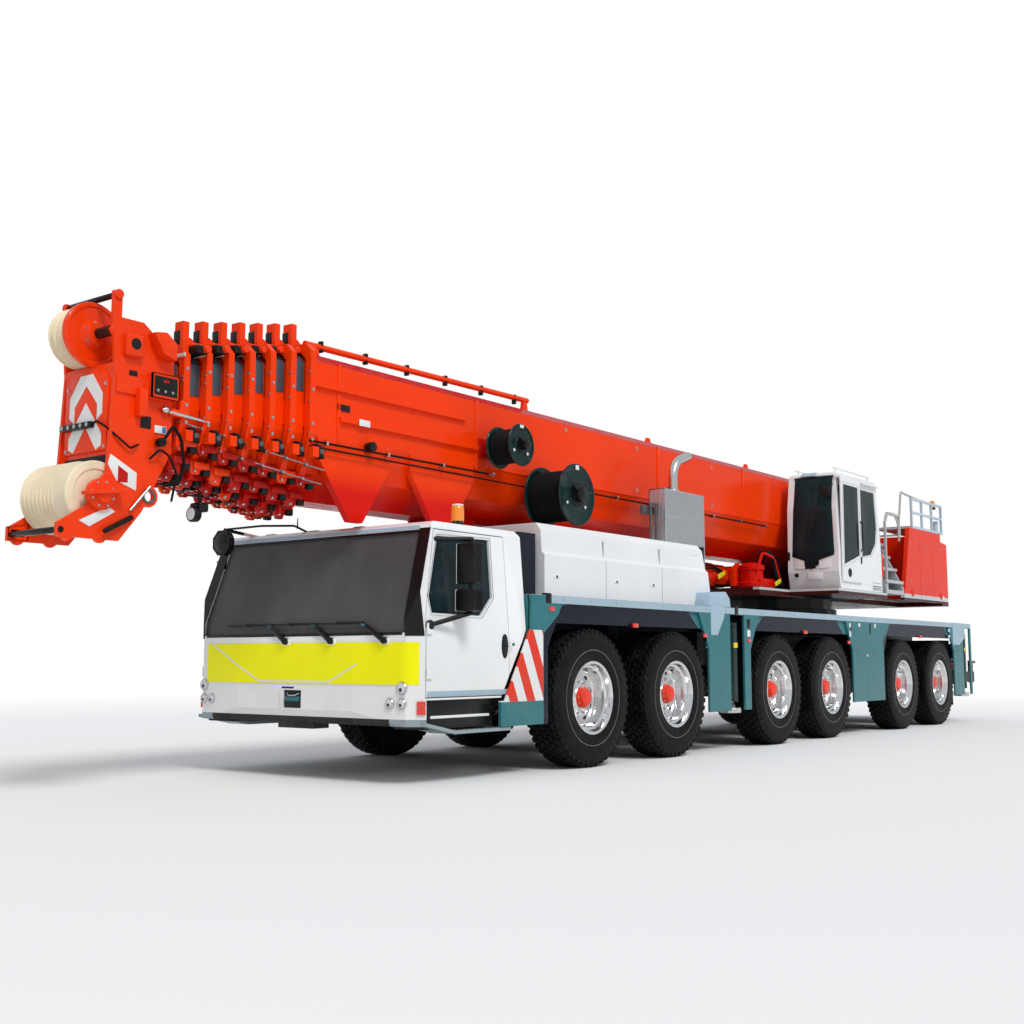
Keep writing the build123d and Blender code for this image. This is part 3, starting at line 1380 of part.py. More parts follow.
def boom_side_fittings():
    """Long rib and rail on the left face, and the two brackets that carry a stowed jib."""
    skin = BOOM_WIDTH / 2 - 5
    rib = block(ahead(BOOM_RIB_SPAN[0]), ahead(BOOM_RIB_SPAN[1]), skin, skin + BOOM_RIB,
                BOOM_RIB_HEIGHT - BOOM_RIB / 2, BOOM_RIB_HEIGHT + BOOM_RIB / 2)
    rail = block(ahead(BOOM_RAIL_SPAN[0]), ahead(BOOM_RAIL_SPAN[1]), skin, skin + BOOM_RIB,
                 BOOM_RAIL_HEIGHT - BOOM_RIB / 2, BOOM_RAIL_HEIGHT + BOOM_RIB / 2)
    fittings = rib + rail
    for top_rear, top_front, low_rear, low_front, low in JIB_BRACKETS:
        outline = [
            (ahead(top_rear), JIB_BRACKET_TOP),
            (ahead(low_rear), low),
            (ahead(low_front), low),
            (ahead(top_front), JIB_BRACKET_TOP),
            (ahead(top_front), JIB_BRACKET_TOP + 180),
            (ahead(top_rear), JIB_BRACKET_TOP + 180),
        ]
        bracket = plate_y(outline, skin - 60, skin - 60 + JIB_BRACKET_THICKNESS)
        fittings += bracket - plate_x(section_outline(5), ahead(top_rear) - 10, ahead(top_front) + 10)
    return fittings


def boom_top_fittings():
    """Pole along the top between two posts, and the two lifting lugs behind it."""
    rear, front = POLE_SPAN
    high_end = (ahead(rear), POLE_INSET, POLE_HEIGHT)
    low_end = (ahead(front), POLE_INSET, POLE_HEIGHT - 30)
    pole = bar(high_end, low_end, POLE_RADIUS)
    for x in (rear + 60, front - 120):
        post = [
            (ahead(x) - 60, BOOM_TOP - 10),
            (ahead(x) + 60, BOOM_TOP - 10),
            (ahead(x) + 25, POLE_HEIGHT - 10),
            (ahead(x) - 25, POLE_HEIGHT - 10),
        ]
        pole += plate_y(post, POLE_INSET - 20, POLE_INSET + 20)
    for x in TOP_LUGS:
        lug = [
            (ahead(x) - 80, BOOM_TOP - 10),
            (ahead(x) + 80, BOOM_TOP - 10),
            (ahead(x) + 30, BOOM_TOP + LUG_HEIGHT),
            (ahead(x) - 30, BOOM_TOP + LUG_HEIGHT),
        ]
        for side in (-1, 1):
            pole += plate_y(lug, side * POLE_INSET - 15, side * POLE_INSET + 15)
    return pole


def tele_section(k):
    inset = k * SECTION_STEP
    mouth = collar_x(k)
    section = tube(inset, FOOT_X + 300 + k * TAIL_PITCH, mouth) + collar(inset, mouth)
    for pad in guide_pads(inset, mouth - PAD_LENGTH, mouth - 5):
        section += pad
    return section


def innermost_section():
    tail = FOOT_X + 300 + SECTIONS * TAIL_PITCH
    return tube(SECTIONS * SECTION_STEP, tail, ahead(HEAD_REAR + 80)) + boom_head()


# ---- Boom head ----
def boom_head():
    """Two cheeks joined by a front and a rear plate, with shafts, guards and the jib lugs."""
    half = HEAD_HALF
    plate = HEAD_PLATE
    outline = [(ahead(x), z) for x, z in HEAD_CHEEK]
    lug_x = ahead(JIB_LUG[0])
    lug_z = JIB_LUG[1]
    pieces = [
        block(ahead(HEAD_FRONT) - plate, ahead(HEAD_FRONT), -half + 5, half - 5, *HEAD_PANEL),
        block(ahead(HEAD_REAR), ahead(HEAD_REAR) + 40, -half + 5, half - 5, *HEAD_BACK),
    ]
    for side in (-1, 1):
        pieces.append(plate_y(outline, side * half, side * (half - plate)))
        lug = (side * (half - plate), side * half)
        pieces.append(flat_rod_y(lug_x, lug_z, JIB_LUG_RADIUS, *lug, DISC_SIDES))
        pieces.append(head_guards(side))
    head = merged(pieces)
    head -= rod_y(lug_x, lug_z, JIB_PIN_RADIUS, -half - 10, half + 10)
    for x, z in (UPPER_SHEAVE, LOWER_SHEAVE):
        head += pin_y(ahead(x), z, HEAD_SHAFT_RADIUS, -half + 5, half - 5)
    x, z = UPPER_SHEAVE
    cheek_y = UPPER_SHEAVE_SPAN[1] + 20
    head += flat_rod_y(ahead(x), z, DISC_CHEEK_RADIUS, cheek_y, cheek_y + 24, DISC_SIDES)
    guard_z = z + UPPER_SHEAVE_RADIUS + RETAINER_GAP
    head += flat_rod_y(ahead(x - 20), guard_z, RETAINER_RADIUS, -half, half, PIN_SIDES)
    guard_x = ahead(LOWER_SHEAVE[0] + LOWER_SHEAVE_RADIUS + RETAINER_GAP)
    return head + flat_rod_y(guard_x, LOWER_RETAINER_HEIGHT, RETAINER_RADIUS, -half, half, PIN_SIDES)


def head_guards(side):
    """Post of the upper rope guard, and on the left the framed lamp box."""
    half = HEAD_HALF
    x, z = UPPER_SHEAVE
    top = z + UPPER_SHEAVE_RADIUS + 70
    post = block(ahead(x - 60), ahead(x + 20), side * half, side * (half - HEAD_PLATE), z + 100, top)
    if side > 0:
        rear, front, low, high = LAMP_BOX
        post += block(ahead(rear), ahead(front), half - 5, half + 75, low, high)
        post += block(ahead(rear), ahead(HEAD_FRONT) - 10, half - 5, half + 20, low, high - 50)
    return post


def sheave_pack(place, radius, span, grooves):
    """Rope sheaves side by side on one shaft."""
    x, z = place
    low, high = span
    pitch = (high - low) / grooves
    profile = [(HEAD_SHAFT_RADIUS + FIT, low), (radius, low)]
    for i in range(grooves):
        profile.append((radius - GROOVE_DEPTH, low + pitch * (i + 0.5)))
        profile.append((radius, low + pitch * (i + 1)))
    profile.append((HEAD_SHAFT_RADIUS + FIT, high))
    return turned(profile, DISC_SIDES, ahead(x), z)


def cable_reels():
    """Two cable reels on brackets at the boom's left side."""
    parts = []
    for distance, z, radius, width, stand_off in CABLE_REELS:
        x = ahead(distance)
        y = BOOM_WIDTH / 2 + stand_off
        core = radius * REEL_CORE
        profile = [
            (0, y),
            (radius, y),
            (radius, y + REEL_FLANGE),
            (core, y + REEL_FLANGE),
            (core, y + width - REEL_FLANGE),
            (radius, y + width - REEL_FLANGE),
            (radius, y + width),
            (0, y + width),
        ]
        arm = block(x - 70, x + 70, BOOM_WIDTH / 2 - 120, y + 10, z - 60, z + 60)
        arm -= plate_x(section_outline(-SEAT), x - 80, x + 80)
        parts.append(turned(profile, DISC_SIDES, x, z) + arm)
    return parts


# ---- Write the sub-parts ----
os.makedirs("parts", exist_ok=True)

save("chassis_frame", chassis_frame(), air_intake())
save("axle_beams", *[axle_beam(x) for x in AXLE_X])
save("deck_fenders", deck_fenders())
save("driver_cab", driver_cab())
save("driver_door_left", door(1))
save("driver_door_right", door(-1))
save("cab_interior", *cab_interior())
save("engine_cover", engine_cover())
save("exhaust_guard", exhaust_guard())
for station, hand, side, x in outrigger_slots():
    save(f"outrigger_beam_{station}_{hand}", outrigger_beam(x, side))
    save(f"outrigger_foot_{station}_{hand}", outrigger_foot(x, side))
save("slewing_frame", slewing_frame())
save("operator_cab", operator_cab())
save("operator_door", operator_door())
save("access_ladder", *access_ladder())
save("counterweight", counterweight())
save("hoist_drum", hoist_drum())
save("luffing_barrel", luffing_barrel())
save("luffing_rod", luffing_rod())
save("boom_base", boom_base())
for k in range(1, SECTIONS):
    save(f"boom_section_{k}", tele_section(k))
save(f"boom_section_{SECTIONS}", innermost_section())
save("upper_sheave", sheave_pack(UPPER_SHEAVE, UPPER_SHEAVE_RADIUS, UPPER_SHEAVE_SPAN, UPPER_GROOVE_COUNT))
save("lower_sheaves", sheave_pack(LOWER_SHEAVE, LOWER_SHEAVE_RADIUS, LOWER_SHEAVE_SPAN, LOWER_GROOVE_COUNT))
save("cable_reels", *cable_reels())
for number, x in enumerate(AXLE_X, start=1):
    for hand, side in (("left", 1), ("right", -1)):
        save(f"knuckle_{number}_{hand}", knuckle(x, side))
        save(f"wheel_{number}_{hand}", tyre(x, side), rim(x, side))
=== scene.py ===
import json
import math
import random

import bmesh
import bpy
from mathutils import Matrix, Vector


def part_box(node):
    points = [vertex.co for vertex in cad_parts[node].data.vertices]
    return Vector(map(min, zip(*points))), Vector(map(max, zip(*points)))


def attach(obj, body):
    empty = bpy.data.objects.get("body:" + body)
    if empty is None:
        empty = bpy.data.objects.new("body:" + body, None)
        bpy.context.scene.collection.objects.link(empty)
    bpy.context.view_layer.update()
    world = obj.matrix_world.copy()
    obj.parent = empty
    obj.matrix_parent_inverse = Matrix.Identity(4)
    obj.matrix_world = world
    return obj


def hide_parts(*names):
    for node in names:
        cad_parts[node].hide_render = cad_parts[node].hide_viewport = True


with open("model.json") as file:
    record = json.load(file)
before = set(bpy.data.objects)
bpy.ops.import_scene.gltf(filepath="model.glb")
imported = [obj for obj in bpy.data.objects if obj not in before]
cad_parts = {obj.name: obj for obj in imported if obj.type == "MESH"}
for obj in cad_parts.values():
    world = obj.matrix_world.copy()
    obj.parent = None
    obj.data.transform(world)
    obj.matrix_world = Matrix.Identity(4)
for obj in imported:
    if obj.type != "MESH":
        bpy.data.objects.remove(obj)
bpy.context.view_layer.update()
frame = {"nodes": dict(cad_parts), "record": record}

nodes = frame["nodes"]
record = frame["record"]
random.seed(7)


# ---- Surface maths ----
class Field:
    """A number that varies over a surface. Arithmetic on it adds Math nodes."""

    def __init__(self, finish, socket):
        self.finish = finish
        self.socket = socket

    def __add__(self, other):
        return self.finish.maths("ADD", self, other)
    __radd__ = __add__

    def __sub__(self, other):
        return self.finish.maths("SUBTRACT", self, other)

    def __rsub__(self, other):
        return self.finish.maths("SUBTRACT", other, self)

    def __mul__(self, other):
        return self.finish.maths("MULTIPLY", self, other)
    __rmul__ = __mul__

    def __gt__(self, other):
        return self.finish.maths("GREATER_THAN", self, other)

    def __lt__(self, other):
        return self.finish.maths("LESS_THAN", self, other)


class Finish:
    """A material being built on its Principled shader."""

    def __init__(self, name):
        self.material = bpy.data.materials.new(name)
        self.material.use_nodes = True
        self.tree = self.material.node_tree
        self.shader = self.tree.nodes["Principled BSDF"]
        self.place = self.node("ShaderNodeTexCoord").outputs["Object"]

    def node(self, kind, settings=None, sockets=None):
        """Add a node of a type, give it its settings, then the values or links of its sockets."""
        made = self.tree.nodes.new(kind)
        for key, value in (settings or {}).items():
            setattr(made, key, value)
        for key, value in (sockets or {}).items():
            self.feed(made.inputs[key], value)
        return made

    def feed(self, socket, value):
        """Give a socket a link or a plain value."""
        if isinstance(value, Field):
            value = value.socket
        if isinstance(value, bpy.types.NodeSocket):
            self.tree.links.new(value, socket)
        elif hasattr(value, "__len__") and len(value) == 3 and (socket.type == "RGBA"):
            socket.default_value = (*value, 1)
        else:
            socket.default_value = value

    def maths(self, operation, first, second=0.0):
        """Field from a Math node with an operation and one or two values."""
        made = self.node("ShaderNodeMath", {"operation": operation}, {0: first, 1: second})
        return Field(self, made.outputs[0])

    def axis(self, name):
        """One coordinate of the surface, in metres."""
        return Field(self, self.node("ShaderNodeSeparateXYZ", None, {0: self.place}).outputs[name])

    def facing(self, name):
        """One component of the face's own direction."""
        normal = self.node("ShaderNodeNewGeometry").outputs["True Normal"]
        return Field(self, self.node("ShaderNodeSeparateXYZ", None, {0: normal}).outputs[name])

    def stretched(self, scale):
        """Surface coordinates scaled along each axis."""
        return self.node(
            "ShaderNodeMapping", None, {"Vector": self.place, "Scale": scale}).outputs[0]

    def noise(self, scale, detail=4.0, place=None, rough=0.55):
        """Field of cloudy noise at a scale."""
        sockets = {
            "Vector": place or self.place, "Scale": scale, "Detail": detail, "Roughness": rough}
        return Field(self, self.node("ShaderNodeTexNoise", None, sockets).outputs["Fac"])

    def band(self, field, low, high, out_low=0.0, out_high=1.0):
        """Stretch a field's low to high on to another range, clamped."""
        sockets = {
            "Value": field, "From Min": low, "From Max": high, "To Min": out_low,
            "To Max": out_high}
        return Field(self, self.node("ShaderNodeMapRange", {"clamp": True}, sockets).outputs[0])

    def between(self, field, low, high):
        """1 where a field lies between two values, else 0."""
        return (field > low) * (field < high)

    def blend(self, mask, first, second):
        """Colour that goes from first to second as the mask goes from 0 to 1."""
        made = self.node("ShaderNodeMix", {"data_type": "RGBA"}, {"Factor": mask})
        self.feed(made.inputs[6], first)
        self.feed(made.inputs[7], second)
        return made.outputs[2]

    def shaded(self, colour, tone):
        """Colour times a tone."""
        made = self.node("ShaderNodeMix", {
            "data_type": "RGBA", "blend_type": "MULTIPLY"}, {"Factor": 1.0})
        self.feed(made.inputs[6], colour)
        self.feed(made.inputs[7], tone)
        return made.outputs[2]

    def worn_edges(self, width):
        """Mask of the outer edges, from how far a rounded normal leans off the face."""
        rounded = self.node("ShaderNodeBevel", {"samples": 4}, {"Radius": width}).outputs[0]
        flat = self.node("ShaderNodeNewGeometry").outputs["Normal"]
        lean = self.node(
            "ShaderNodeVectorMath", {"operation": "DOT_PRODUCT"}, {0: rounded, 1: flat})
        return self.band(Field(self, lean.outputs["Value"]), 0.99, 0.9)

    def bump(self, field, strength, distance):
        """Normal that follows a height field."""
        made = self.node("ShaderNodeBump", None, {
            "Height": field, "Strength": strength, "Distance": distance})
        return made.outputs[0]

    def done(self, **sockets):
        """Set the shader's sockets, named with underscores for spaces."""
        for key, value in sockets.items():
            self.feed(self.shader.inputs[key.replace("_", " ")], value)
        return self.material


ROAD_DUST = (0.3, 0.27, 0.22)
PRIMER = (0.3, 0.29, 0.28)
DUST_TOP = 1.2
DUST_FOOT = 0.3
CHIP_WIDTH = 0.004
PEEL_DEPTH = 0.002
GRAIN_DEPTH = 0.001
PIT_DEPTH = 0.0006
LENS_RIB_RATE = 900.0


def shade(colour, factor):
    """Colour made darker or lighter by a factor."""
    return tuple((min(1.0, c * factor) for c in colour))


def paint(
    name, colour, roughness=0.28, coat=0.08, dirt=0.35, peel=0.05, wear=0.4, areas=None, shine=0.18,
):
    """Gloss paint with orange peel, tone drift, rain streaks, chipped edges and dust low down."""
    f = Finish(name)
    base = colour
    for mask, other in areas(f) if areas else ():
        base = f.blend(mask, base, other)
    base = f.shaded(base, f.band(f.noise(0.7, 3), 0.3, 0.7, 0.9, 1.04))
    streaks = f.band(f.noise(3.0, 6, f.stretched((2.2, 2.2, 0.18))), 0.52, 0.78)
    specks = f.band(f.noise(55, 3), 0.62, 0.74)
    low = f.band(f.axis("Z"), DUST_TOP, DUST_FOOT)
    dusty = f.band(f.noise(4.5, 8), 0.42, 0.75) * low * dirt
    grime = (streaks * 0.16 + specks * 0.1) * dirt
    chips = f.worn_edges(CHIP_WIDTH) * f.band(f.noise(16, 6), 0.46, 0.62) * wear
    base = f.blend(grime, base, shade(ROAD_DUST, 0.35))
    base = f.blend(dusty, base, ROAD_DUST)
    base = f.blend(chips, base, PRIMER)
    rough = f.band(f.noise(9, 5), 0.35, 0.7, roughness * 0.75, roughness * 1.35)
    rough = rough + dusty * 0.45 + grime * 0.5 + chips * 0.3
    height = f.noise(190, 2) * 0.5 + f.noise(1.6, 2) * 0.5
    return f.done(
        Base_Color=base, Roughness=rough, Coat_Weight=coat, Coat_Roughness=0.06,
        Specular_IOR_Level=shine, Normal=f.bump(height, peel, PEEL_DEPTH))


def metal(name, colour, roughness=0.25, metallic=1.0, grain=(1, 1, 1), marks=0.5):
    """Bare or plated metal with a directed grain, stains and fine scratches."""
    f = Finish(name)
    lines = f.noise(60, 6, f.stretched(grain), 0.7)
    stains = f.band(f.noise(5, 7), 0.5, 0.8) * marks
    base = f.shaded(colour, f.band(lines, 0.3, 0.7, 0.86, 1.0))
    base = f.blend(stains * 0.5, base, shade(colour, 0.45))
    rough = f.band(lines, 0.3, 0.7, roughness * 0.7, roughness * 1.4) + stains * 0.25
    return f.done(
        Base_Color=base, Metallic=metallic, Roughness=rough,
        Normal=f.bump(lines, 0.06, GRAIN_DEPTH))


def plastic(name, colour, roughness=0.5, grain=0.25, dust=0.3, shine=0.12):
    """Moulded plastic or cast part with a fine texture and settled dust."""
    f = Finish(name)
    pits = f.noise(320, 3)
    dusty = f.band(f.noise(6, 7), 0.48, 0.78) * dust
    base = f.shaded(colour, f.band(f.noise(2.5, 4), 0.3, 0.7, 0.85, 1.1))
    base = f.blend(dusty * 0.3, base, shade(ROAD_DUST, 0.4))
    rough = f.band(f.noise(14, 4), 0.3, 0.7, roughness * 0.85, roughness * 1.15) + dusty * 0.3
    return f.done(
        Base_Color=base, Roughness=rough, Specular_IOR_Level=shine,
        Normal=f.bump(pits, grain, PIT_DEPTH))


def glass(name, colour, alpha, roughness=0.04):
    """Tinted pane with a wiped film of dust."""
    f = Finish(name)
    film = f.band(f.noise(3.0, 6, f.stretched((1, 1, 0.5))), 0.45, 0.8)
    base = f.blend(film * 0.1, colour, (0.3, 0.31, 0.31))
    return f.done(
        Base_Color=base, Roughness=film * 0.1 + roughness, Alpha=alpha, Specular_IOR_Level=0.15)


def lens(name, colour, glow=0.0):
    """Ribbed lamp lens, lit where it has a glow."""
    f = Finish(name)
    ribs = f.maths("SINE", f.axis("Z") * LENS_RIB_RATE) * 0.5 + 0.5
    base = f.blend(ribs * 0.35, colour, shade(colour, 1.6))
    done = f.done(
        Base_Color=base, Roughness=f.band(f.noise(30, 3), 0.3, 0.7, 0.08, 0.18),
        Normal=f.bump(ribs, 0.25, GRAIN_DEPTH), Coat_Weight=0.6, Transmission_Weight=0.15)
    if glow:
        f.feed(f.shader.inputs["Emission Color"], colour)
        f.feed(f.shader.inputs["Emission Strength"], glow)
    return done


# ---- Shapes ----
AXES = {"x": Vector((1, 0, 0)), "y": Vector((0, 1, 0)), "z": Vector((0, 0, 1))}


def spot(axis, along, u, v):
    """Point with one coordinate along an axis and the two others in their order."""
    return {"x": (along, u, v), "y": (u, along, v), "z": (u, v, along)}[axis]


def soften(bm, width, steps=2, angle=30):
    """Round the edges that are sharper than an angle."""
    if width:
        edges = [e for e in bm.edges if e.calc_face_angle(0.0) > math.radians(angle)]
        bmesh.ops.bevel(
            bm, geom=edges, offset=width, segments=steps, profile=0.5, affect="EDGES",
            clamp_overlap=True, material=-1)
    return bm


def join(bm, other, place):
    """Copy another mesh into one at a place, turned right side out where it is mirrored."""
    mesh = bpy.data.meshes.new("shape")
    other.to_mesh(mesh)
    mesh.transform(place)
    if place.is_negative:
        mesh.flip_normals()
    bm.from_mesh(mesh)
    bpy.data.meshes.remove(mesh)


def patch(front, corners, stand, thick, across, up):
    """Sheet laid on a front face between four corners given as (y, z)."""
    bm = bmesh.new()
    bmesh.ops.create_grid(bm, x_segments=across, y_segments=up, size=1.0)
    low_right, low_left, high_right, high_left = [Vector(c) for c in corners]
    for v in bm.verts:
        u, w = ((v.co.x + 1) / 2, (v.co.y + 1) / 2)
        y, z = low_right.lerp(low_left, u).lerp(high_right.lerp(high_left, u), w)
        v.co = (front(y, z) + stand, y, z)
    bmesh.ops.recalc_face_normals(bm, faces=bm.faces[:])
    bmesh.ops.solidify(bm, geom=bm.faces[:], thickness=thick)
    bmesh.ops.recalc_face_normals(bm, faces=bm.faces[:])
    return bm


def cube(low, high, round=0.0, steps=2):
    """Block between two corners."""
    bm = bmesh.new()
    low, high = (Vector(low), Vector(high))
    size = high - low
    place = Matrix.Translation((low + high) / 2) @ Matrix.Diagonal((
        abs(size.x), abs(size.y), abs(size.z), 1))
    bmesh.ops.create_cube(bm, size=1.0, matrix=place)
    return soften(bm, round, steps)


def flat(axis, along, points):
    """Face of an outline, standing across an axis."""
    bm = bmesh.new()
    bm.faces.new([bm.verts.new(spot(axis, along, u, v)) for u, v in points])
    return bm


def push(bm, axis, depth):
    """Give a flat shape its thickness along an axis."""
    pushed = bmesh.ops.extrude_face_region(bm, geom=bm.faces[:])["geom"]
    moved = [v for v in pushed if isinstance(v, bmesh.types.BMVert)]
    bmesh.ops.translate(bm, verts=moved, vec=AXES[axis] * depth)
    bmesh.ops.recalc_face_normals(bm, faces=bm.faces[:])
    return bm


def rect(left, right, low, high):
    """Outline of a rectangle."""
    return [(left, low), (right, low), (right, high), (left, high)]


def prism(axis, points, start, end, round=0.0, steps=2):
    """Outline pushed along an axis; its points are the two other coordinates in order."""
    return soften(push(flat(axis, start, points), axis, end - start), round, steps)


def framed(axis, points, start, end, width, round=0.0):
    """Open frame of a width inside an outline, pushed along an axis."""
    bm = flat(axis, start, points)
    bmesh.ops.inset_region(
        bm, faces=bm.faces[:], thickness=width, use_even_offset=True, use_boundary=True)
    middle = max(bm.faces, key=lambda face: len(face.verts) * 10 + face.calc_area())
    middle = [face for face in bm.faces if all((not e.is_boundary for e in face.edges))] or [middle]
    bmesh.ops.delete(bm, geom=middle, context="FACES_ONLY")
    return soften(push(bm, axis, end - start), round)


def rod(start, end, radius, sides=20, round=0.0, tip=None):
    """Round bar between two points, tapered where it has a tip radius."""
    bm = bmesh.new()
    start, end = (Vector(start), Vector(end))
    run = end - start
    place = Matrix.Translation((start + end) / 2) @ run.to_track_quat("Z", "Y").to_matrix().to_4x4()
    bmesh.ops.create_cone(
        bm, cap_ends=True, segments=sides, radius1=radius, radius2=radius if tip is None else tip,
        depth=run.length, matrix=place)
    return soften(bm, round, 2, 50)


def bar(axis, centre, low, high, radius, sides=20, round=0.0, tip=None):
    """Round bar along an axis."""
    return rod(spot(axis, low, *centre), spot(axis, high, *centre), radius, sides, round, tip)


def turned(axis, centre, profile, steps=48, start=0.0):
    """Profile of (distance from the axis, place along it from a start), spun a full turn."""
    bm = bmesh.new()
    u, v = centre
    verts = [bm.verts.new(spot(axis, start + along, u + reach, v)) for reach, along in profile]
    edges = [bm.edges.new(pair) for pair in zip(verts, verts[1:])]
    bmesh.ops.spin(
        bm, geom=verts + edges, cent=spot(axis, 0, u, v), axis=AXES[axis], angle=math.tau,
        steps=steps, use_merge=True, use_duplicate=False)
    bmesh.ops.remove_doubles(bm, verts=bm.verts[:], dist=1e-06)
    bmesh.ops.recalc_face_normals(bm, faces=bm.faces[:])
    return bm


def solid(axis, centre, profile, steps=48, start=0.0):
    """Turned shape whose two ends are closed flat to the axis."""
    closed = [(0.0, profile[0][1]), *profile, (0.0, profile[-1][1])]
    return turned(axis, centre, closed, steps, start)


def button(axis, centre, radius, low, high, steps=48, start=0.0):
    """Turned disc between two places along an axis."""
    return solid(axis, centre, [(radius, low), (radius, high)], steps, start)


def ring(inner, outer, low, high):
    """Closed profile of a ring for turned()."""
    return [(inner, low), (outer, low), (outer, high), (inner, high), (inner, low)]


def pipe(points, radius, bend=0.0, fine=2):
    """Round tube along a route, each corner rounded from a distance before it."""
    route = [Vector(p) for p in points]
    line = [route[0]]
    for before, corner, after in zip(route, route[1:], route[2:]):
        if bend:
            line.append(corner + (before - corner).normalized() * bend)
        line.append(corner)
        if bend:
            line.append(corner + (after - corner).normalized() * bend)
    line.append(route[-1])
    curve = bpy.data.curves.new("route", "CURVE")
    curve.dimensions = "3D"
    curve.bevel_depth = radius
    curve.bevel_resolution = fine
    curve.use_fill_caps = True
    curve.resolution_u = 5
    spline = curve.splines.new("NURBS" if len(line) > 2 else "POLY")
    spline.points.add(len(line) - 1)
    for point, place in zip(spline.points, line):
        point.co = (*place, 1)
    if len(line) > 2:
        spline.order_u = 3
        spline.use_endpoint_u = True
    carrier = bpy.data.objects.new("route", curve)
    bpy.context.scene.collection.objects.link(carrier)
    depsgraph = bpy.context.evaluated_depsgraph_get()
    mesh = bpy.data.meshes.new_from_object(carrier.evaluated_get(depsgraph))
    bm = bmesh.new()
    bm.from_mesh(mesh)
    bpy.data.objects.remove(carrier)
    bpy.data.curves.remove(curve)
    bpy.data.meshes.remove(mesh)
    return bm


def bolt(place, axis, radius, height, sides=6):
    """Screw head standing on a washer."""
    way = AXES[axis] if isinstance(axis, str) else Vector(axis)
    place = Vector(place)
    bm = rod(place, place + way * height, radius, sides)
    washer = rod(place, place + way * height * 0.3, radius * 1.45, 12)
    join(bm, washer, Matrix())
    washer.free()
    return bm


def bolts(places, axis, radius, height):
    """The same bolt at several places."""
    return [bolt(place, axis, radius, height) for place in places]


def turn_about(centre, axis, angle):
    """Rotation about an axis through a point."""
    place = Matrix.Translation(Vector(centre))
    return place @ Matrix.Rotation(angle, 4, axis.upper()) @ place.inverted()


ACROSS = Matrix.Diagonal((1, -1, 1, 1))
BOTH_SIDES = (Matrix(), ACROSS)
SIDES = tuple(zip((1, -1), BOTH_SIDES))


class Form:
    """Mesh of one piece, built shape by shape, each in the finish in hand."""

    def __init__(self, finish):
        self.bm = bmesh.new()
        self.finishes = []
        self.use(finish)

    def use(self, finish):
        """Take a finish in hand for the shapes that follow."""
        if finish not in self.finishes:
            self.finishes.append(finish)
        self.index = self.finishes.index(finish)
        return self

    def copied(self, place):
        """The same mesh at another place."""
        other = Form(self.finishes[0])
        other.finishes = list(self.finishes)
        join(other.bm, self.bm, place)
        return other

    def add(self, *items, at=Matrix()):
        """Join shapes, each in the finish named last before it, at one place or at several."""
        for item in items:
            if isinstance(item, bpy.types.Material):
                self.use(item)
                continue
            for face in item.faces:
                face.material_index = self.index
            for place in (at,) if isinstance(at, Matrix) else at:
                join(self.bm, item, place)
            item.free()
        return self

    def piece(self, name, body, slot, stands_for=(), smooth=35):
        """Finish the mesh as an object that rides on a body."""
        for face in self.bm.faces:
            face.smooth = True
        for edge in self.bm.edges:
            edge.smooth = edge.calc_face_angle(math.pi) < math.radians(smooth)
        mesh = bpy.data.meshes.new(name)
        self.bm.to_mesh(mesh)
        self.bm.free()
        for finish in self.finishes:
            mesh.materials.append(finish)
        made = bpy.data.objects.new(name, mesh)
        bpy.context.scene.collection.objects.link(made)
        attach(made, body)
        if stands_for:
            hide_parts(*stands_for)
        return made


def body_of(node):
    """Name of the body that a CAD node belongs to."""
    return next((body for body, held in record["behaviour"]["bodies"].items() if node in held))


def middle_of(low, high):
    """Number halfway between two."""
    return (low + high) / 2


def spread(low, high, count):
    """Evenly spaced places from low to high."""
    return [low + (high - low) * i / (count - 1) for i in range(count)]


# ---- Finishes ----
def fender_areas(f):
    """Pale deck edge, navy arch tops and liners, and the striped front corner."""
    x = f.axis("X")
    z = f.axis("Z")
    aside = f.maths("ABSOLUTE", f.axis("Y"))
    arches = (aside < LINER_HALF) * (z > 0.6)
    for middle, reach, most in ARCHES:
        wide = f.maths("MINIMUM", (ARCH_TOP - z) * 1.3 + reach, most)
        arches = arches + (f.maths("ABSOLUTE", x - (AXLE_1 + middle)) < wide) * (z < ARCH_TOP)
    panel = corner_panel(f)
    return [
        (arches > 0.5, (0.0008, 0.004, 0.016)),
        ((z > DECK_TOP - 0.075) * (aside > 1.4) * (x < AXLE_1 + 0.8), (0.36, 0.48, 0.56)),
        (z > DECK_TOP - 0.004, (0.3, 0.36, 0.4)), (panel, (0.76, 0.77, 0.76)),
        (panel * (f.maths("SINE", (x - z * 0.45) * 23.8) > 0.0), (0.72, 0.035, 0.012))]


def corner_panel(f):
    """Striped panel at the cab's rear lower corners."""
    return (f.axis("X") > AXLE_1 + 0.84) * f.between(f.axis("Z"), 0.68, 1.34)


def cab_colours_and_painted_shade(f):
    """Black mirror housings, a black lower front edge that is partly real black parts under the
    front and partly painted shade of the underside, and a grey strip under the sides.
    """
    x = f.axis("X")
    z = f.axis("Z")
    aside = f.maths("ABSOLUTE", f.axis("Y"))
    # Black low on the front: real black parts under it, and painted shade along the underside.
    low = (z < 0.56) * (x > AXLE_1 + 2.505) + (z < 0.54) * (aside < 1.15)
    mirror = (z > 1.95) * (x > AXLE_1 + 2.37) * (f.axis("Y") < -0.8)
    return [
        (f.maths("ABSOLUTE", f.axis("Y")) > 1.512, GLOSS_BLACK),
        (low + mirror > 0.5, (0.006, 0.006, 0.007)),
        ((z < 0.56) * (aside > 1.15), (0.3, 0.36, 0.38))]


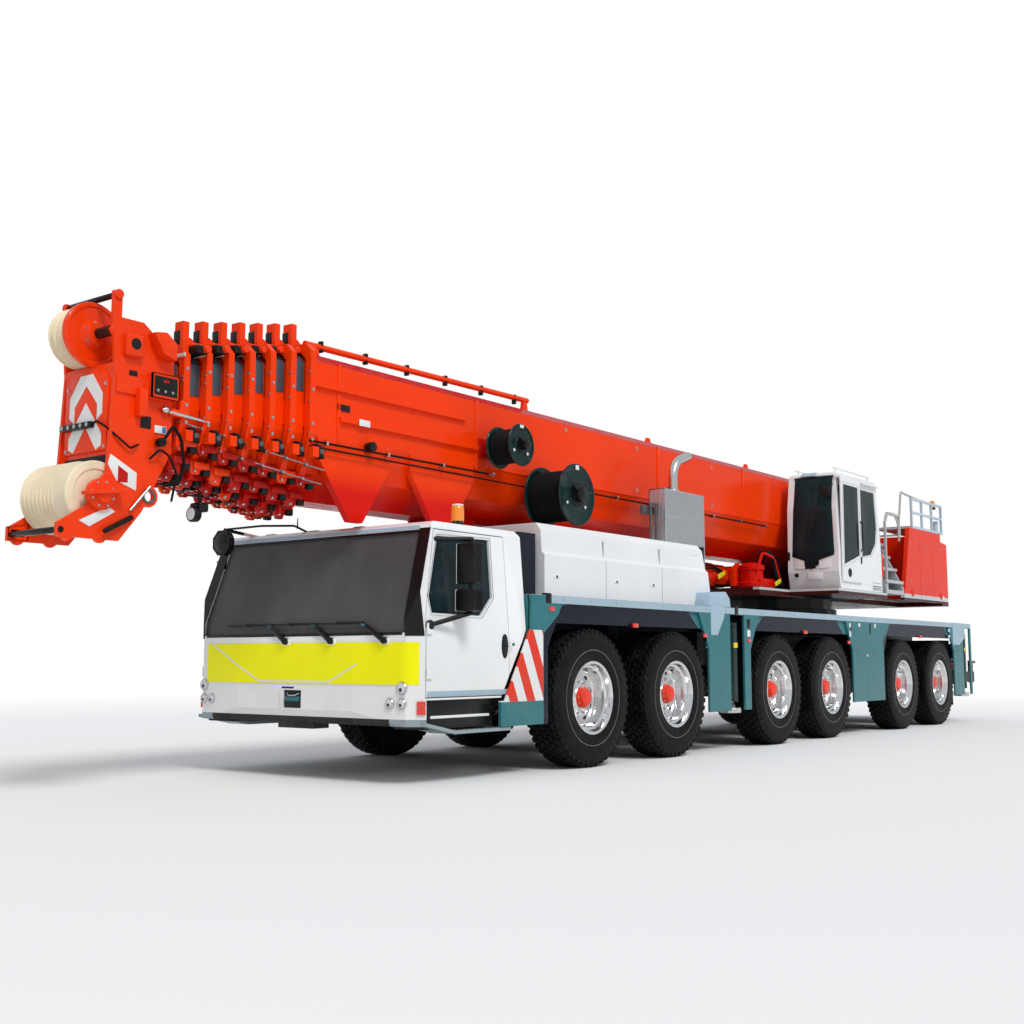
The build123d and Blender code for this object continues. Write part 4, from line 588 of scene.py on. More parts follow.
def frame_areas(f):
    """Dark rear end with a striped board."""
    x = f.axis("X")
    y = f.axis("Y")
    z = f.axis("Z")
    rear = x < CARRIER_REAR + 0.25
    stripe = f.maths("SINE", (y + z) * 18.0) > 0.0
    board = rear * f.between(z, 1.02, 1.22)
    return [
        (f.between(x, CARRIER_REAR, CARRIER_REAR + 1.1), (0.01, 0.012, 0.014)),
        (board, (0.78, 0.78, 0.76)), (board * stripe, (0.7, 0.03, 0.02))]


def boom_painted_shade_areas(f):
    """Painted shade: lower faces a deeper red, and a dark red strip under the top edges of the
    tubes.
    """
    z = f.axis("Z")
    aside = f.maths("ABSOLUTE", f.axis("Y"))
    # Painted shade: dark red on the chamfers along the top edges of the tubes.
    edge = (aside < 0.56) * f.between(z, 3.682, 3.77) * (f.axis("X") < BASE_FRONT)
    # Painted shade: deeper red towards the bottom of the tubes.
    return [(f.band(z, 2.75, 2.55), (0.72, 0.006, 0.001)), (edge, (0.56, 0.004, 0.012))]


def upper_areas(f):
    """Thin pale edge of the slewing floor over its dark underside."""
    z = f.axis("Z")
    level = f.maths("ABSOLUTE", f.facing("Z")) > 0.5
    return [
        (f.between(z, UPPER_FLOOR - 0.03, UPPER_FLOOR + 0.14), (0.06, 0.006, 0.004)),
        (
            f.between(z, UPPER_FLOOR + 0.075, UPPER_FLOOR + 0.14) * (f.axis("Y") > 0.6),
            (0.58, 0.61, 0.63)),
        (level * (z < UPPER_FLOOR + 0.16), (0.03, 0.012, 0.01)),
        (z < UPPER_FLOOR - 0.01, (0.006, 0.012, 0.014))]


def stair_areas(f):
    """Bluer finish on the platform behind the steps."""
    return [(f.axis("X") < STAIR_REAR, (0.5, 0.6, 0.68))]


# Wheel arches: middle ahead of axle 1, half length at the top, half length at most.
ARCHES = [(-0.765, 1.215, 1.6), (-5.01, 1.135, 1.41), (-9.36, 1.22, 1.55)]
ARCH_TOP = 1.6
LINER_HALF = 1.455
BASE_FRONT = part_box("boom_base")[1][0] - 0.14
AXLE_1 = (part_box("wheel_1_left")[0][0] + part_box("wheel_1_left")[1][0]) / 2
DECK_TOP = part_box("deck_fenders")[1][2]
CARRIER_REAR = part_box("chassis_frame")[0][0]
UPPER_FLOOR = 1.95
STAIR_REAR = -5.1
GLOSS_BLACK = (0.004, 0.0045, 0.005)
CAB_WHITE = (0.84, 0.85, 0.85)
BOOM_ORANGE = (0.9, 0.046, 0.001)
TEAL = (0.03, 0.17, 0.19)

boom_red = paint("boom_gloss_orange_painted_shade", BOOM_ORANGE, 0.22, 0.06, 0.15, areas=boom_painted_shade_areas, shine=0.12)
head_red = paint("head_gloss_orange", (0.9, 0.046, 0.002), 0.25, 0.1, 0.2)
deep_red = paint("bracket_deep_red", (0.5, 0.007, 0.002), 0.3, 0.05, 0.4)
hub_red = paint("hub_cap_red", (0.85, 0.04, 0.01), 0.22, 0.15, 0.3)
cab_white = paint("cab_gloss_white", CAB_WHITE, 0.22, 0.1, 0.12)
cab_shell = paint("cab_shell_white_painted_shade", CAB_WHITE, 0.22, 0.1, 0.12, areas=cab_colours_and_painted_shade)
cover_white = paint("cover_moulded_white", (0.82, 0.83, 0.84), 0.32, 0.05, 0.12, 0.08)
cab_blue = paint("bracket_pale_blue", (0.36, 0.5, 0.6), 0.35, 0.3)
teal = paint("fender_teal", TEAL, 0.25, 0.1, 0.2, areas=fender_areas)
frame_dark = paint("frame_dark_navy", (0.004, 0.008, 0.016), 0.38, 0.05, 0.3, areas=frame_areas)
axle_grey = paint("axle_grey", (0.022, 0.024, 0.026), 0.5, 0.0, 0.5)
upper_red = paint("upper_works_red", (0.84, 0.028, 0.002), 0.3, 0.08, 0.2, areas=upper_areas)
stair_blue = paint("stair_silver", (0.48, 0.51, 0.53), 0.4, 0.2, 0.3, areas=stair_areas)
banner_yellow = paint("banner_yellow", (0.98, 0.95, 0.0), 0.4, 0.0, 0.05, 0.02)
panel_teal = paint("panel_teal", TEAL, 0.25, 0.1, 0.2)
black_paint = paint("black_gloss", GLOSS_BLACK, 0.3, 0.1, 0.15)
plate_white = paint("blank_plate_white", (0.76, 0.78, 0.78), 0.4, 0.2, 0.2, 0.02)
plate_blue = paint("blank_plate_blue", (0.05, 0.18, 0.42), 0.4, 0.2, 0.2, 0.02)
tag_yellow = paint("tag_yellow", (0.8, 0.6, 0.02), 0.45, 0.1, 0.3)
chevron_white = paint("chevron_white", (0.8, 0.8, 0.78), 0.35, 0.2, 0.2, 0.02)
rubber = plastic("moulded_rubber", (0.006, 0.006, 0.007), 0.7, 0.35, 0.2)
tyre_rubber = plastic("tyre_rubber", (0.004, 0.0042, 0.005), 0.5, 0.3, 0.3)
sidewall_line = plastic("sidewall_line", (0.33, 0.33, 0.33), 0.6, 0.2, 0.3)
black_plastic = plastic("black_moulding", (0.005, 0.0055, 0.006), 0.35, 0.2, 0.1, 0.3)
seal_black = plastic("window_rubber", (0.004, 0.005, 0.005), 0.35, 0.15, 0.05, 0.3)
interior = plastic("interior_moulding", (0.02, 0.02, 0.022), 0.6, 0.4, 0.1)
reel_green = paint("reel_green_black", (0.003, 0.02, 0.02), 0.3, 0.1, 0.1)
steel_grey = paint("cast_grey", (0.1, 0.105, 0.11), 0.45, 0.0, 0.4)
rim_metal = metal("polished_aluminium", (0.86, 0.86, 0.86), 0.13, 1.0, (1, 1, 1), 0.2)
bright_steel = metal("bright_steel", (0.62, 0.62, 0.62), 0.28, 1.0, (0.3, 3, 3), 0.3)
chrome = metal("hard_chrome", (0.7, 0.71, 0.7), 0.24, 1.0, (0.2, 4, 4), 0.12)
screen_metal = metal("heat_screen", (0.62, 0.63, 0.64), 0.3, 1.0, (3, 3, 0.3), 0.3)
rope_steel = metal("wire_rope", (0.2, 0.19, 0.17), 0.42, 0.9, (2, 12, 2), 0.8)
sheave_cream = plastic("cast_nylon_cream", (0.82, 0.7, 0.5), 0.42, 0.12, 0.35)
pad_cream = plastic("slide_pad", (0.62, 0.62, 0.55), 0.45, 0.1, 0.3)
mirror_glass = metal("mirror_silver", (0.75, 0.77, 0.78), 0.05, 1.0, (1, 1, 1), 0.1)
screen_glass = glass("screen_tinted", (0.08, 0.08, 0.082), 0.97, 0.22)
slide_grey = metal("slide_pad_grey", (0.075, 0.115, 0.145), 0.42, 0.3, (3, 3, 1), 0.4)
# Dark tinted glass, its teal hue a painted reflection.
cab_glass = glass("cab_window_tint_painted_reflection", (0.006, 0.02, 0.024), 0.95, 0.08)
amber = lens("amber_lens", (0.85, 0.25, 0.02), 0.15)
red_lens = lens("red_lens", (0.7, 0.03, 0.02), 0.1)
clear_lens = lens("clear_lens", (0.7, 0.72, 0.74))
upper_trim = paint("upper_trim_red", (0.72, 0.018, 0.003), 0.3, 0.08, 0.2)

PLAIN = {
    "boom_red": boom_red, "cab_white": cab_white, "cover_white": cover_white, "fender_teal": teal,
    "frame_dark": frame_dark, "axle_grey": axle_grey, "wheel": tyre_rubber,
    "bare_aluminium": stair_blue, "chrome_rod": chrome, "interior": interior,
    "sheave_cream": sheave_cream, "reel_black": reel_green}
FINE_EDGE = 0.006
EDGE_ANGLE = math.radians(40)
WELD_GAP = 0.0001


def finish_cad():
    """Give every CAD solid its finish and a small round along its edges."""
    own = {
        "slewing_frame": upper_red, "counterweight": upper_red, "luffing_barrel": upper_red,
        "boom_section_7": head_red, "driver_cab": cab_shell, "driver_door_left": cab_shell,
        "driver_door_right": cab_shell}
    for row in record["subparts"]:
        cad = nodes[row["node"]]
        cad.data.materials.clear()
        cad.data.materials.append(own.get(row["node"], PLAIN[row["material_slot"]]))
        weld = cad.modifiers.new("weld", "WELD")
        weld.merge_threshold = WELD_GAP
        edge = cad.modifiers.new("edge", "BEVEL")
        edge.width = FINE_EDGE
        edge.segments = 2
        edge.limit_method = "ANGLE"
        edge.angle_limit = EDGE_ANGLE
        edge.harden_normals = True


finish_cad()


# ---- Wheels ----
TREAD_ROWS = (-0.12, -0.06, 0.0, 0.06, 0.12)
TREAD_BLOCKS = 48
BLOCK_HALF_LENGTH = 0.034
BLOCK_HALF_WIDTH = 0.0255
BLOCK_LEAN = 0.01
RIM_BOLTS = 10
TYRE_HALF = [
    (0.352, 0.15), (0.358, 0.172), (0.375, 0.184), (0.45, 0.1915), (0.54, 0.192), (0.605, 0.187),
    (0.645, 0.174), (0.668, 0.152)]
RIM_FRONT = [
    (0.35, 0.152), (0.364, 0.176), (0.362, 0.188), (0.352, 0.191), (0.336, 0.182), (0.328, 0.16),
    (0.32, 0.132), (0.306, 0.124), (0.298, 0.118), (0.294, 0.03), (0.286, 0.004), (0.272, -0.01),
    (0.24, -0.012), (0.2, 0.006), (0.19, 0.026), (0.182, 0.036), (0.142, 0.038), (0.126, 0.046),
    (0.118, 0.058), (0.108, 0.058)]
HUB_CAP = [
    (0.11, 0.03), (0.11, 0.066), (0.106, 0.074), (0.096, 0.078), (0.09, 0.098), (0.08, 0.112),
    (0.05, 0.118), (0.0, 0.119)]


def wheel_form():
    """Left-hand tyre, rim and hub cap about the origin."""
    form = Form(tyre_rubber)
    outer = [(r, -y) for r, y in TYRE_HALF] + [(r, y) for r, y in reversed(TYRE_HALF)]
    inner = [(0.34, 0.148), (0.34, -0.148)]
    form.add(turned("y", (0, 0), outer + inner + outer[:1], 80))
    turns = [Matrix.Rotation(math.tau * i / TREAD_BLOCKS, 4, "Y") for i in range(TREAD_BLOCKS)]
    for row, middle in enumerate(TREAD_ROWS):
        lean = BLOCK_LEAN if row % 2 else -BLOCK_LEAN
        near, far = (middle - BLOCK_HALF_WIDTH, middle + BLOCK_HALF_WIDTH)
        points = [
            (-BLOCK_HALF_LENGTH + lean, near), (BLOCK_HALF_LENGTH + lean, near),
            (BLOCK_HALF_LENGTH - lean, far), (-BLOCK_HALF_LENGTH - lean, far)]
        half = Matrix.Rotation(math.pi / TREAD_BLOCKS * (row % 2), 4, "Y")
        form.add(prism("z", points, 0.66, 0.6835, 0.003, 1), at=[turn @ half for turn in turns])
    for side in (-1, 1):
        lug = [
            (-0.03, side * 0.148), (0.03, side * 0.148), (0.024, side * 0.18),
            (-0.024, side * 0.18)]
        form.add(prism("z", lug, 0.63, 0.67, 0.005, 1), at=turns)
    form.add(sidewall_line, turned("y", (0, 0), [
        (0.47, 0.189), (0.47, 0.1918), (0.4735, 0.192), (0.4735, 0.189), (0.47, 0.189)], 80))
    form.use(rim_metal)
    back = [
        (0.108, 0.01), (0.19, -0.012), (0.25, -0.034), (0.282, -0.06), (0.32, -0.14), (0.35, -0.15)]
    barrel = [(0.364, -0.176), (0.34, -0.165), (0.34, -0.145), (0.336, 0.14)]
    form.add(
        turned("y", (0, 0), RIM_FRONT + back + barrel + RIM_FRONT[:1], 72),
        hub_red, turned("y", (0, 0), HUB_CAP + [(0.0, 0.03), (0.11, 0.03)], 40))
    tenth = [Matrix.Rotation(math.tau * i / RIM_BOLTS, 4, "Y") for i in range(RIM_BOLTS)]
    # Black dished discs in the rim's holes: painted shade for the dark seen through them.
    hole_shade_disc = turned("y", (0, 0.24), [
        (0.024, -0.03), (0.024, -0.006), (0.02, -0.004), (0.0, -0.0045)], 16)
    form.add(black_plastic, hole_shade_disc, at=[
        turn @ Matrix.Rotation(math.pi / RIM_BOLTS, 4, "Y") for turn in tenth])
    form.add(
        bright_steel, bolt((0, 0.034, 0.162), "y", 0.0135, 0.022),
        bolt((0, 0.074, 0.098), "y", 0.006, 0.01),
        at=tenth)
    form.add(rod((0.288, 0.02, 0.02), (0.3, 0.12, 0.02), 0.005, 8))
    return form


def wheels():
    """Twelve road wheels, each standing for its CAD wheel."""
    pattern = wheel_form()
    for number in range(1, 7):
        for hand, side in (("left", 1), ("right", -1)):
            node = f"wheel_{number}_{hand}"
            low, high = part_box(node)
            centre = (Vector(low) + Vector(high)) / 2
            turn = Matrix.Rotation(math.tau / TREAD_BLOCKS * (2 * number), 4, "Y")
            place = Matrix.Translation(centre) @ turn
            made = pattern.copied(place @ ACROSS if side < 0 else place)
            made.piece(f"road_wheel_{number}_{hand}", body_of(node), "wheel", (node,))


wheels()


# ---- Driver's cab ----
CAB_LOW, CAB_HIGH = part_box("driver_cab")
CAB_NOSE = CAB_HIGH[0]
CAB_SIDE = CAB_HIGH[1] - 0.025
CAB_BACK = CAB_LOW[0]
SCREEN_FOOT = 1.23
SCREEN_HEAD = 2.24
DOOR_GLASS = [
    (1.535, 1.625), (1.712, 1.455), (2.376, 1.465), (2.405, 1.602), (2.252, 2.13), (1.535, 2.145)]
WIPERS = (-0.09, 0.49, 1.1)
WIPER_ARM = 0.26
WIPER_RISE = 0.165
WIPER_BLADE = 0.6
HEADLAMPS = ((1.285, 0.822, 0.046), (1.16, 0.692, 0.038), (1.285, 0.692, 0.038))


def ahead(distance):
    """Place along X, from a distance ahead of the first axle."""
    return AXLE_1 + distance


def from_axle(*points):
    """Points whose first number is a distance ahead of the first axle."""
    return [(ahead(x), *rest) for x, *rest in points]


def nose_x(y, z=0.9):
    """Front face of the cab over a place across and up."""
    reach = abs(y)
    bow = 0.06 * min(1, max(0, (reach - 0.75) / 0.57)) + 0.11 * max(0, (reach - 1.32) / 0.13)
    lean = 0.33 * max(0, (z - SCREEN_FOOT) / (SCREEN_HEAD - SCREEN_FOOT))
    return CAB_NOSE - max(bow, lean)


def nose_patch(corners, stand, thick, across=32, up=8):
    """Sheet laid on the front of the driver's cab."""
    return patch(nose_x, corners, stand, thick, across, up)


KERB_MIRROR = (-1.04, 2.18)
KERB_MIRROR_FACE = ahead(2.6)
SIDE_LEAN = 0.0816
TUMBLE_IN = Matrix((
    (1, 0, 0, 0), (0, 1, -SIDE_LEAN, SIDE_LEAN * SCREEN_FOOT), (0, 0, 1, 0), (0, 0, 0, 1)))
HANDLE_X = ahead(1.383)
HANDLE_Z = 1.183
MIRROR_X = ahead(2.085)
MIRROR_Y = CAB_SIDE + 0.15
MIRROR_POST_X = ahead(2.055)
MIRROR_ARM_HIGH = 2.106
MIRRORS = ((1.72, 2.065, 0.2), (1.48, 1.665, 0.22))


def cab_glazing():
    """Windscreen, rear pane, their seals and the visor."""
    panes = Form(screen_glass)
    panes.add(nose_patch(
        [(-1.325, 1.288), (1.325, 1.288), (-1.252, 2.182), (1.252, 2.182)], -0.02, 0.006, 24, 12,
    ), prism("x", rect(-0.9, 0.9, 1.45, 2.08), CAB_BACK + 0.012, CAB_BACK + 0.02))
    panes.piece("driver_cab_glass", "carrier", "interior")
    seals = Form(seal_black)
    for side in (-1, 1):
        strip = [
            (side * 1.312, 1.262), (side * 1.444, 1.262), (side * 1.24, 2.205),
            (side * 1.362, 2.205)]
        seals.add(nose_patch(strip, 0.006, 0.006, 24, 48))
    seals.add(
        nose_patch([
            (-1.33, 1.27), (1.33, 1.27), (-1.33, 1.296), (1.33, 1.296)], 0.003, 0.006, 32, 1),
        nose_patch([
            (-1.25, 2.172), (1.25, 2.172), (-1.25, 2.192), (1.25, 2.192)], 0.003, 0.006, 8, 1),
        framed("x", rect(-0.93, 0.93, 1.42, 2.11), CAB_BACK - 0.004, CAB_BACK + 0.01, 0.04))
    seals.piece("screen_seals", "carrier", "interior")
    visor = Form(cab_blue)
    visor.add(nose_patch([
        (-1.24, 2.198), (1.24, 2.198), (-1.23, 2.232), (1.23, 2.232)], 0.003, 0.006, 8, 1))
    visor.piece("screen_visor", "carrier", "cab_white")


def door_trim():
    """Glass, seal, handle, sill and mirrors of both doors, riding on them."""
    for hand, flip in zip(("left", "right"), BOTH_SIDES):
        place = flip @ TUMBLE_IN
        outline = [(ahead(x), z) for x, z in DOOR_GLASS]
        body = f"driver_door_{hand}"
        pane = Form(cab_glass)
        pane.add(prism("y", outline, CAB_SIDE - 0.03, CAB_SIDE - 0.022), at=place)
        pane.piece(f"door_glass_{hand}", body, "interior")
        trim = Form(seal_black)
        wide = [
            (1.515, 1.612), (1.7, 1.432), (2.39, 1.443), (2.424, 1.6), (2.262, 2.15),
            (1.515, 2.166)]
        trim.add(framed(
            "y", [(ahead(x), z) for x, z in wide], CAB_SIDE - 0.004, CAB_SIDE + 0.005, 0.03,
        ), at=place)
        trim.use(black_plastic)
        oval = solid(
            "y", (HANDLE_X, HANDLE_Z), [(0.048, -0.002), (0.048, 0.004), (0.04, 0.008)], 32,
            CAB_SIDE)
        flatten = Matrix.Translation((
            0, 0, HANDLE_Z,
        )) @ Matrix.Diagonal((1, 1, 2.3, 1)) @ Matrix.Translation((0, 0, -HANDLE_Z))
        trim.add(oval, at=flip @ flatten)
        grip = pipe(from_axle(
            (1.355, CAB_SIDE + 0.006, HANDLE_Z), (1.365, CAB_SIDE + 0.028, HANDLE_Z),
            (1.4, CAB_SIDE + 0.028, HANDLE_Z), (1.412, CAB_SIDE + 0.006, HANDLE_Z)), 0.006, 0.006)
        trim.add(grip, cab_blue, cube(
            (ahead(1.325), CAB_SIDE - 0.01, 0.748), (ahead(2.455), CAB_SIDE + 0.006, 0.795), 0.004,
        ), at=flip)
        trim.use(black_plastic)
        for low, high, wide in MIRRORS:
            x, y = (MIRROR_X, MIRROR_Y)
            half = wide / 2
            trim.add(
                cube(
                    (x - 0.053, y - half + 0.004, low + 0.004),
                    (x - 0.06, y + half - 0.004, high - 0.004), 0.003),
                cube(
                    (x - 0.057, y - half - 0.001, low - 0.003), (x + 0.057, y + half, high + 0.003),
                    0.014, 4),
                mirror_glass, cube(
                    (x - 0.058, y - half + 0.018, low + 0.018),
                    (x - 0.063, y + half - 0.018, high - 0.018), 0.002),
                black_plastic, cube(
                    (x - 0.04, y - 0.022, low - 0.02), (x - 0.02, y + 0.022, low + 0.01), 0.004),
                at=flip)
        trim.add(
            bar("z", (MIRROR_POST_X, MIRROR_Y), 1.445, 2.122, 0.02, 16),
            rod(
                (MIRROR_POST_X, MIRROR_Y, MIRROR_ARM_HIGH),
                (ahead(2.288), CAB_SIDE - 0.085, MIRROR_ARM_HIGH), 0.021, 16),
            rod((MIRROR_POST_X, MIRROR_Y, 1.464), (ahead(2.43), CAB_SIDE - 0.01, 1.35), 0.021, 16),
            solid("y", (ahead(2.425), 1.352), [
                (0.045, -0.01), (0.045, 0.012), (0.03, 0.024)], 24, CAB_SIDE),
            at=flip)
        trim.piece(f"door_fittings_{hand}", body, "interior")


def front_banner():
    """Yellow banner with a thin white line across it."""
    banner = Form(banner_yellow)
    banner.add(nose_patch([
        (-1.24, 0.85), (1.41, 0.85), (-1.24, 1.21), (1.41, 1.21)], 0.006, 0.004, 53, 4))
    banner.use(chevron_white)
    for ya, za, yb, zb in (
        (-1.16, 1.205, -0.44, 0.868), (-0.44, 0.868, 0.47, 0.868), (0.47, 0.868, 0.8, 1.02),
    ):
        banner.add(nose_patch([
            (ya, za - 0.008), (yb, zb - 0.008), (ya, za + 0.008), (yb, zb + 0.008),
        ], 0.0075, 0.003, 12, 1))
    banner.piece("front_banner", "carrier", "cab_white")


def headlamps():
    """Three headlamps a side in steel bezels."""
    lamps = Form(bright_steel)
    for y, z, r in HEADLAMPS:
        face = nose_x(y)
        lamps.add(
            bright_steel, turned("x", (y, z), [
                (r - 0.004, -0.004), (r + 0.01, -0.004), (r + 0.011, 0.01), (r + 0.004, 0.019),
                (r - 0.003, 0.018), (r - 0.004, -0.004)], 28, face),
            clear_lens, turned("x", (y, z), [
                (r - 0.003, 0.01), (r - 0.003, 0.016), (r * 0.6, 0.022), (0.0, 0.024)], 24, face),
            black_plastic, button("x", (y, z - r * 0.28), r * 0.36, 0.02, 0.0245, 16, face),
            at=BOTH_SIDES)
    lamps.piece("headlamps", "carrier", "bare_aluminium")


def tow_coupling():
    """Coupling jaw, pin and handle in the middle of the front, with a black sheet of painted shade
    at the back of the recess.
    """
    face = CAB_NOSE
    tow = Form(black_plastic)
    tow.add(
        # Black sheet at the back of the coupling recess: painted shade.
        cube((face - 0.03, -0.113, 0.632), (face - 0.012, 0.113, 0.788), 0.002),
        chevron_white, cube((face - 0.02, -0.15, 0.6), (face + 0.012, -0.118, 0.8), 0.004),
        panel_teal, button("y", (face - 0.012, 0.712), 0.022, -0.09, 0.09, 20),
        bright_steel, pipe([
            (face - 0.01, -0.07, 0.762), (face + 0.008, -0.04, 0.742), (face + 0.008, 0.04, 0.742),
            (face - 0.01, 0.08, 0.762)], 0.007, 0.02),
        black_plastic, bar("y", (face - 0.004, 0.812), -0.135, 0.02, 0.009, 12))
    tow.piece("tow_coupling", "carrier", "interior")


def screen_wipers():
    """Wiper pivots, arms and blades, with a teal patch of painted highlight near the top of each
    arm.
    """
    wipers = Form(black_plastic)
    for y in WIPERS:
        z = SCREEN_FOOT - 0.015
        wipers.add(cab_white, prism("y", [
            (nose_x(y) - 0.01, z - 0.035), (nose_x(y) + 0.012, z - 0.02),
            (nose_x(y) + 0.022, z + 0.03), (nose_x(y) - 0.01, z + 0.03),
        ], y - 0.045, y + 0.05, 0.006))
        wipers.use(black_plastic)
        tip_y, tip_z = (y - WIPER_ARM, z + WIPER_RISE)
        end_y = tip_y - WIPER_BLADE
        knee = (nose_x(tip_y, tip_z) + 0.03, tip_y, tip_z)
        root = (nose_x(y, z) + 0.028, y + 0.01, z + 0.01)
        wipers.add(
            rod(root, knee, 0.026, 8, 0.005, tip=0.02),
            bar("x", (root[1], root[2]), root[0] - 0.03, root[0] + 0.014, 0.03, 20, 0.004),
            rod(knee, (
                nose_x(tip_y - WIPER_BLADE / 2, tip_z) + 0.028,
                tip_y - WIPER_BLADE / 2,
                tip_z + 0.006), 0.01, 10))
        low_x = nose_x(end_y, tip_z + 0.004)
        wipers.add(
            prism("x", [
                (tip_y + 0.02, tip_z - 0.014), (tip_y + 0.02, tip_z + 0.002),
                (end_y, tip_z + 0.008), (end_y, tip_z - 0.006),
            ], low_x + 0.006, low_x + 0.016, 0.002, 1),
            cube(
                (low_x + 0.01, tip_y - 0.325, tip_z - 0.012),
                (low_x + 0.04, tip_y - 0.285, tip_z + 0.016), 0.004),
            # Teal block on each arm: painted highlight.
            panel_teal, cube(
                (knee[0] + 0.012, tip_y + 0.01, tip_z - 0.03),
                (knee[0] + 0.024, tip_y + 0.055, tip_z - 0.008), 0.004))
        wipers.use(black_plastic)
    wipers.piece("screen_wipers", "carrier", "interior")


def corner_markers():
    """Red marker strips round the lower front corners."""
    marks = Form(red_lens)
    skin = [
        (CAB_NOSE - 0.168, 1.452), (CAB_NOSE - 0.12, 1.395), (CAB_NOSE - 0.108, 1.405),
        (CAB_NOSE - 0.154, 1.465)]
    marks.add(
        red_lens, prism("z", skin, 0.6, 0.652, 0.004),
        prism("z", skin, 0.658, 0.712, 0.004),
        at=BOTH_SIDES)
    marks.piece("corner_markers", "carrier", "interior")


def cab_steps():
    """Black step boxes under the doors with slotted steel treads."""
    form = Form(black_plastic)
    form.add(black_plastic, cube(
        (ahead(1.5), 1.05, 0.47), (ahead(2.44), 1.4, 0.735), 0.01), at=BOTH_SIDES)
    form.use(bright_steel)
    for x in spread(ahead(1.5), ahead(2.02), 9):
        form.add(cube((x, 1.225, 0.4555), (x + 0.03, 1.465, 0.46), 0.002, 1), at=BOTH_SIDES)
    form.add(cab_white, cube(
        (ahead(1.56), 1.395, 0.56), (ahead(2.36), 1.412, 0.585), 0.006), at=BOTH_SIDES)
    form.piece("cab_steps", "carrier", "interior")


def cab_roof():
    """Beacon, kerb mirror on its arm, aerial and roof blocks."""
    roof = Form(amber)
    low, high = (CAB_HIGH[2] - 0.2, CAB_HIGH[2])
    centre = (ahead(1.765), 1.2)
    roof.add(
        turned("z", centre, [
            (0.0, low + 0.045), (0.06, low + 0.045), (0.06, high - 0.045), (0.052, high - 0.012),
            (0.034, high + 0.004), (0.0, high + 0.008)], 28),
        black_plastic, solid("z", centre, [
            (0.07, -0.006), (0.07, 0.014), (0.054, 0.024), (0.054, 0.048)], 28, low))
    face = KERB_MIRROR_FACE
    mirror = [
        (0.0, face + 0.062), (0.06, face + 0.056), (0.105, face + 0.036), (0.126, face + 0.004),
        (0.126, face - 0.022), (0.0, face - 0.022)]
    roof.add(
        turned("x", KERB_MIRROR, mirror, 32),
        mirror_glass, turned("x", KERB_MIRROR, [
            (0.0, -0.021), (0.114, -0.021), (0.112, -0.026), (0.0, -0.03)], 32, face),
        black_plastic, pipe(from_axle(
            (2.12, -0.34, 2.262), (2.34, -0.34, 2.325), (2.52, -0.6, 2.325), (2.59, -1.02, 2.312),
            (2.6, -1.04, 2.27)), 0.011, 0.05),
        bar("z", (ahead(2.3), -0.34), 2.3, 2.4, 0.008, 10, tip=0.004))
    for y in (-0.9, -0.3, 0.3):
        roof.add(cube((ahead(2.1), y, 2.264), (ahead(2.2), y + 0.12, 2.285), 0.006))
    roof.piece("cab_roof_fittings", "carrier", "interior")


def cab_seats():
    """Seat cushions, headrests and the steering wheel."""
    seats = Form(interior)
    for y in (-0.75, 0.75):
        seats.add(
            cube((ahead(1.385), y - 0.235, 1.1), (ahead(1.8), y + 0.235, 1.2), 0.04, 4),
            cube((ahead(1.15), y - 0.14, 1.86), (ahead(1.24), y + 0.14, 2.06), 0.04, 4))
    wheel_at = Vector((ahead(1.951), 0.75, 1.329))
    way = (wheel_at - Vector((ahead(2.2), 0.75, 1.1))).normalized()
    tilt = way.to_track_quat("Z", "Y").to_matrix().to_4x4()
    hoop = turned("z", (0, 0), [
        (0.195, -0.014), (0.208, 0.0), (0.195, 0.014), (0.181, 0.0), (0.195, -0.014)], 40)
    seats.add(hoop, at=Matrix.Translation(wheel_at + way * 0.02) @ tilt)
    seats.piece("cab_seat_cushions", "carrier", "interior")


cab_glazing()
door_trim()
front_banner()
headlamps()
tow_coupling()
screen_wipers()
corner_markers()
cab_steps()
cab_roof()
cab_seats()


# ---- Boom ----
BOOM_TOP = 3.755
BOOM_HALF = 0.55
STEP = 0.038
FIRST_MOUTH = 3.06
MOUTH_PITCH = 0.195
COLLAR_STAND = 0.062
LOWER_GROOVES = 8
LOWER_PITCH = 0.054
UPPER_SHEAVE = (ahead(4.86), 3.59)
LOWER_SHEAVE = (ahead(4.94), 2.3)
HEAD_FACE = ahead(4.845)
HEAD_HALF = 0.34
UPPER_GROOVES = 3
SHEAVE_BORE = 0.042


def grooved(radius, bore, low, count, pitch, depth):
    """Outline of rope sheaves side by side."""
    profile = [(bore, low)]
    for i in range(count):
        y = low + pitch * i
        profile += [
            (radius - 0.006, y + 0.002), (radius, y + 0.007), (radius, y + pitch * 0.16),
            (radius - depth * 0.8, y + pitch * 0.34), (radius - depth, y + pitch * 0.5),
            (radius - depth * 0.8, y + pitch * 0.66), (radius, y + pitch * 0.84),
            (radius, y + pitch - 0.007), (radius - 0.006, y + pitch - 0.002)]
    return profile


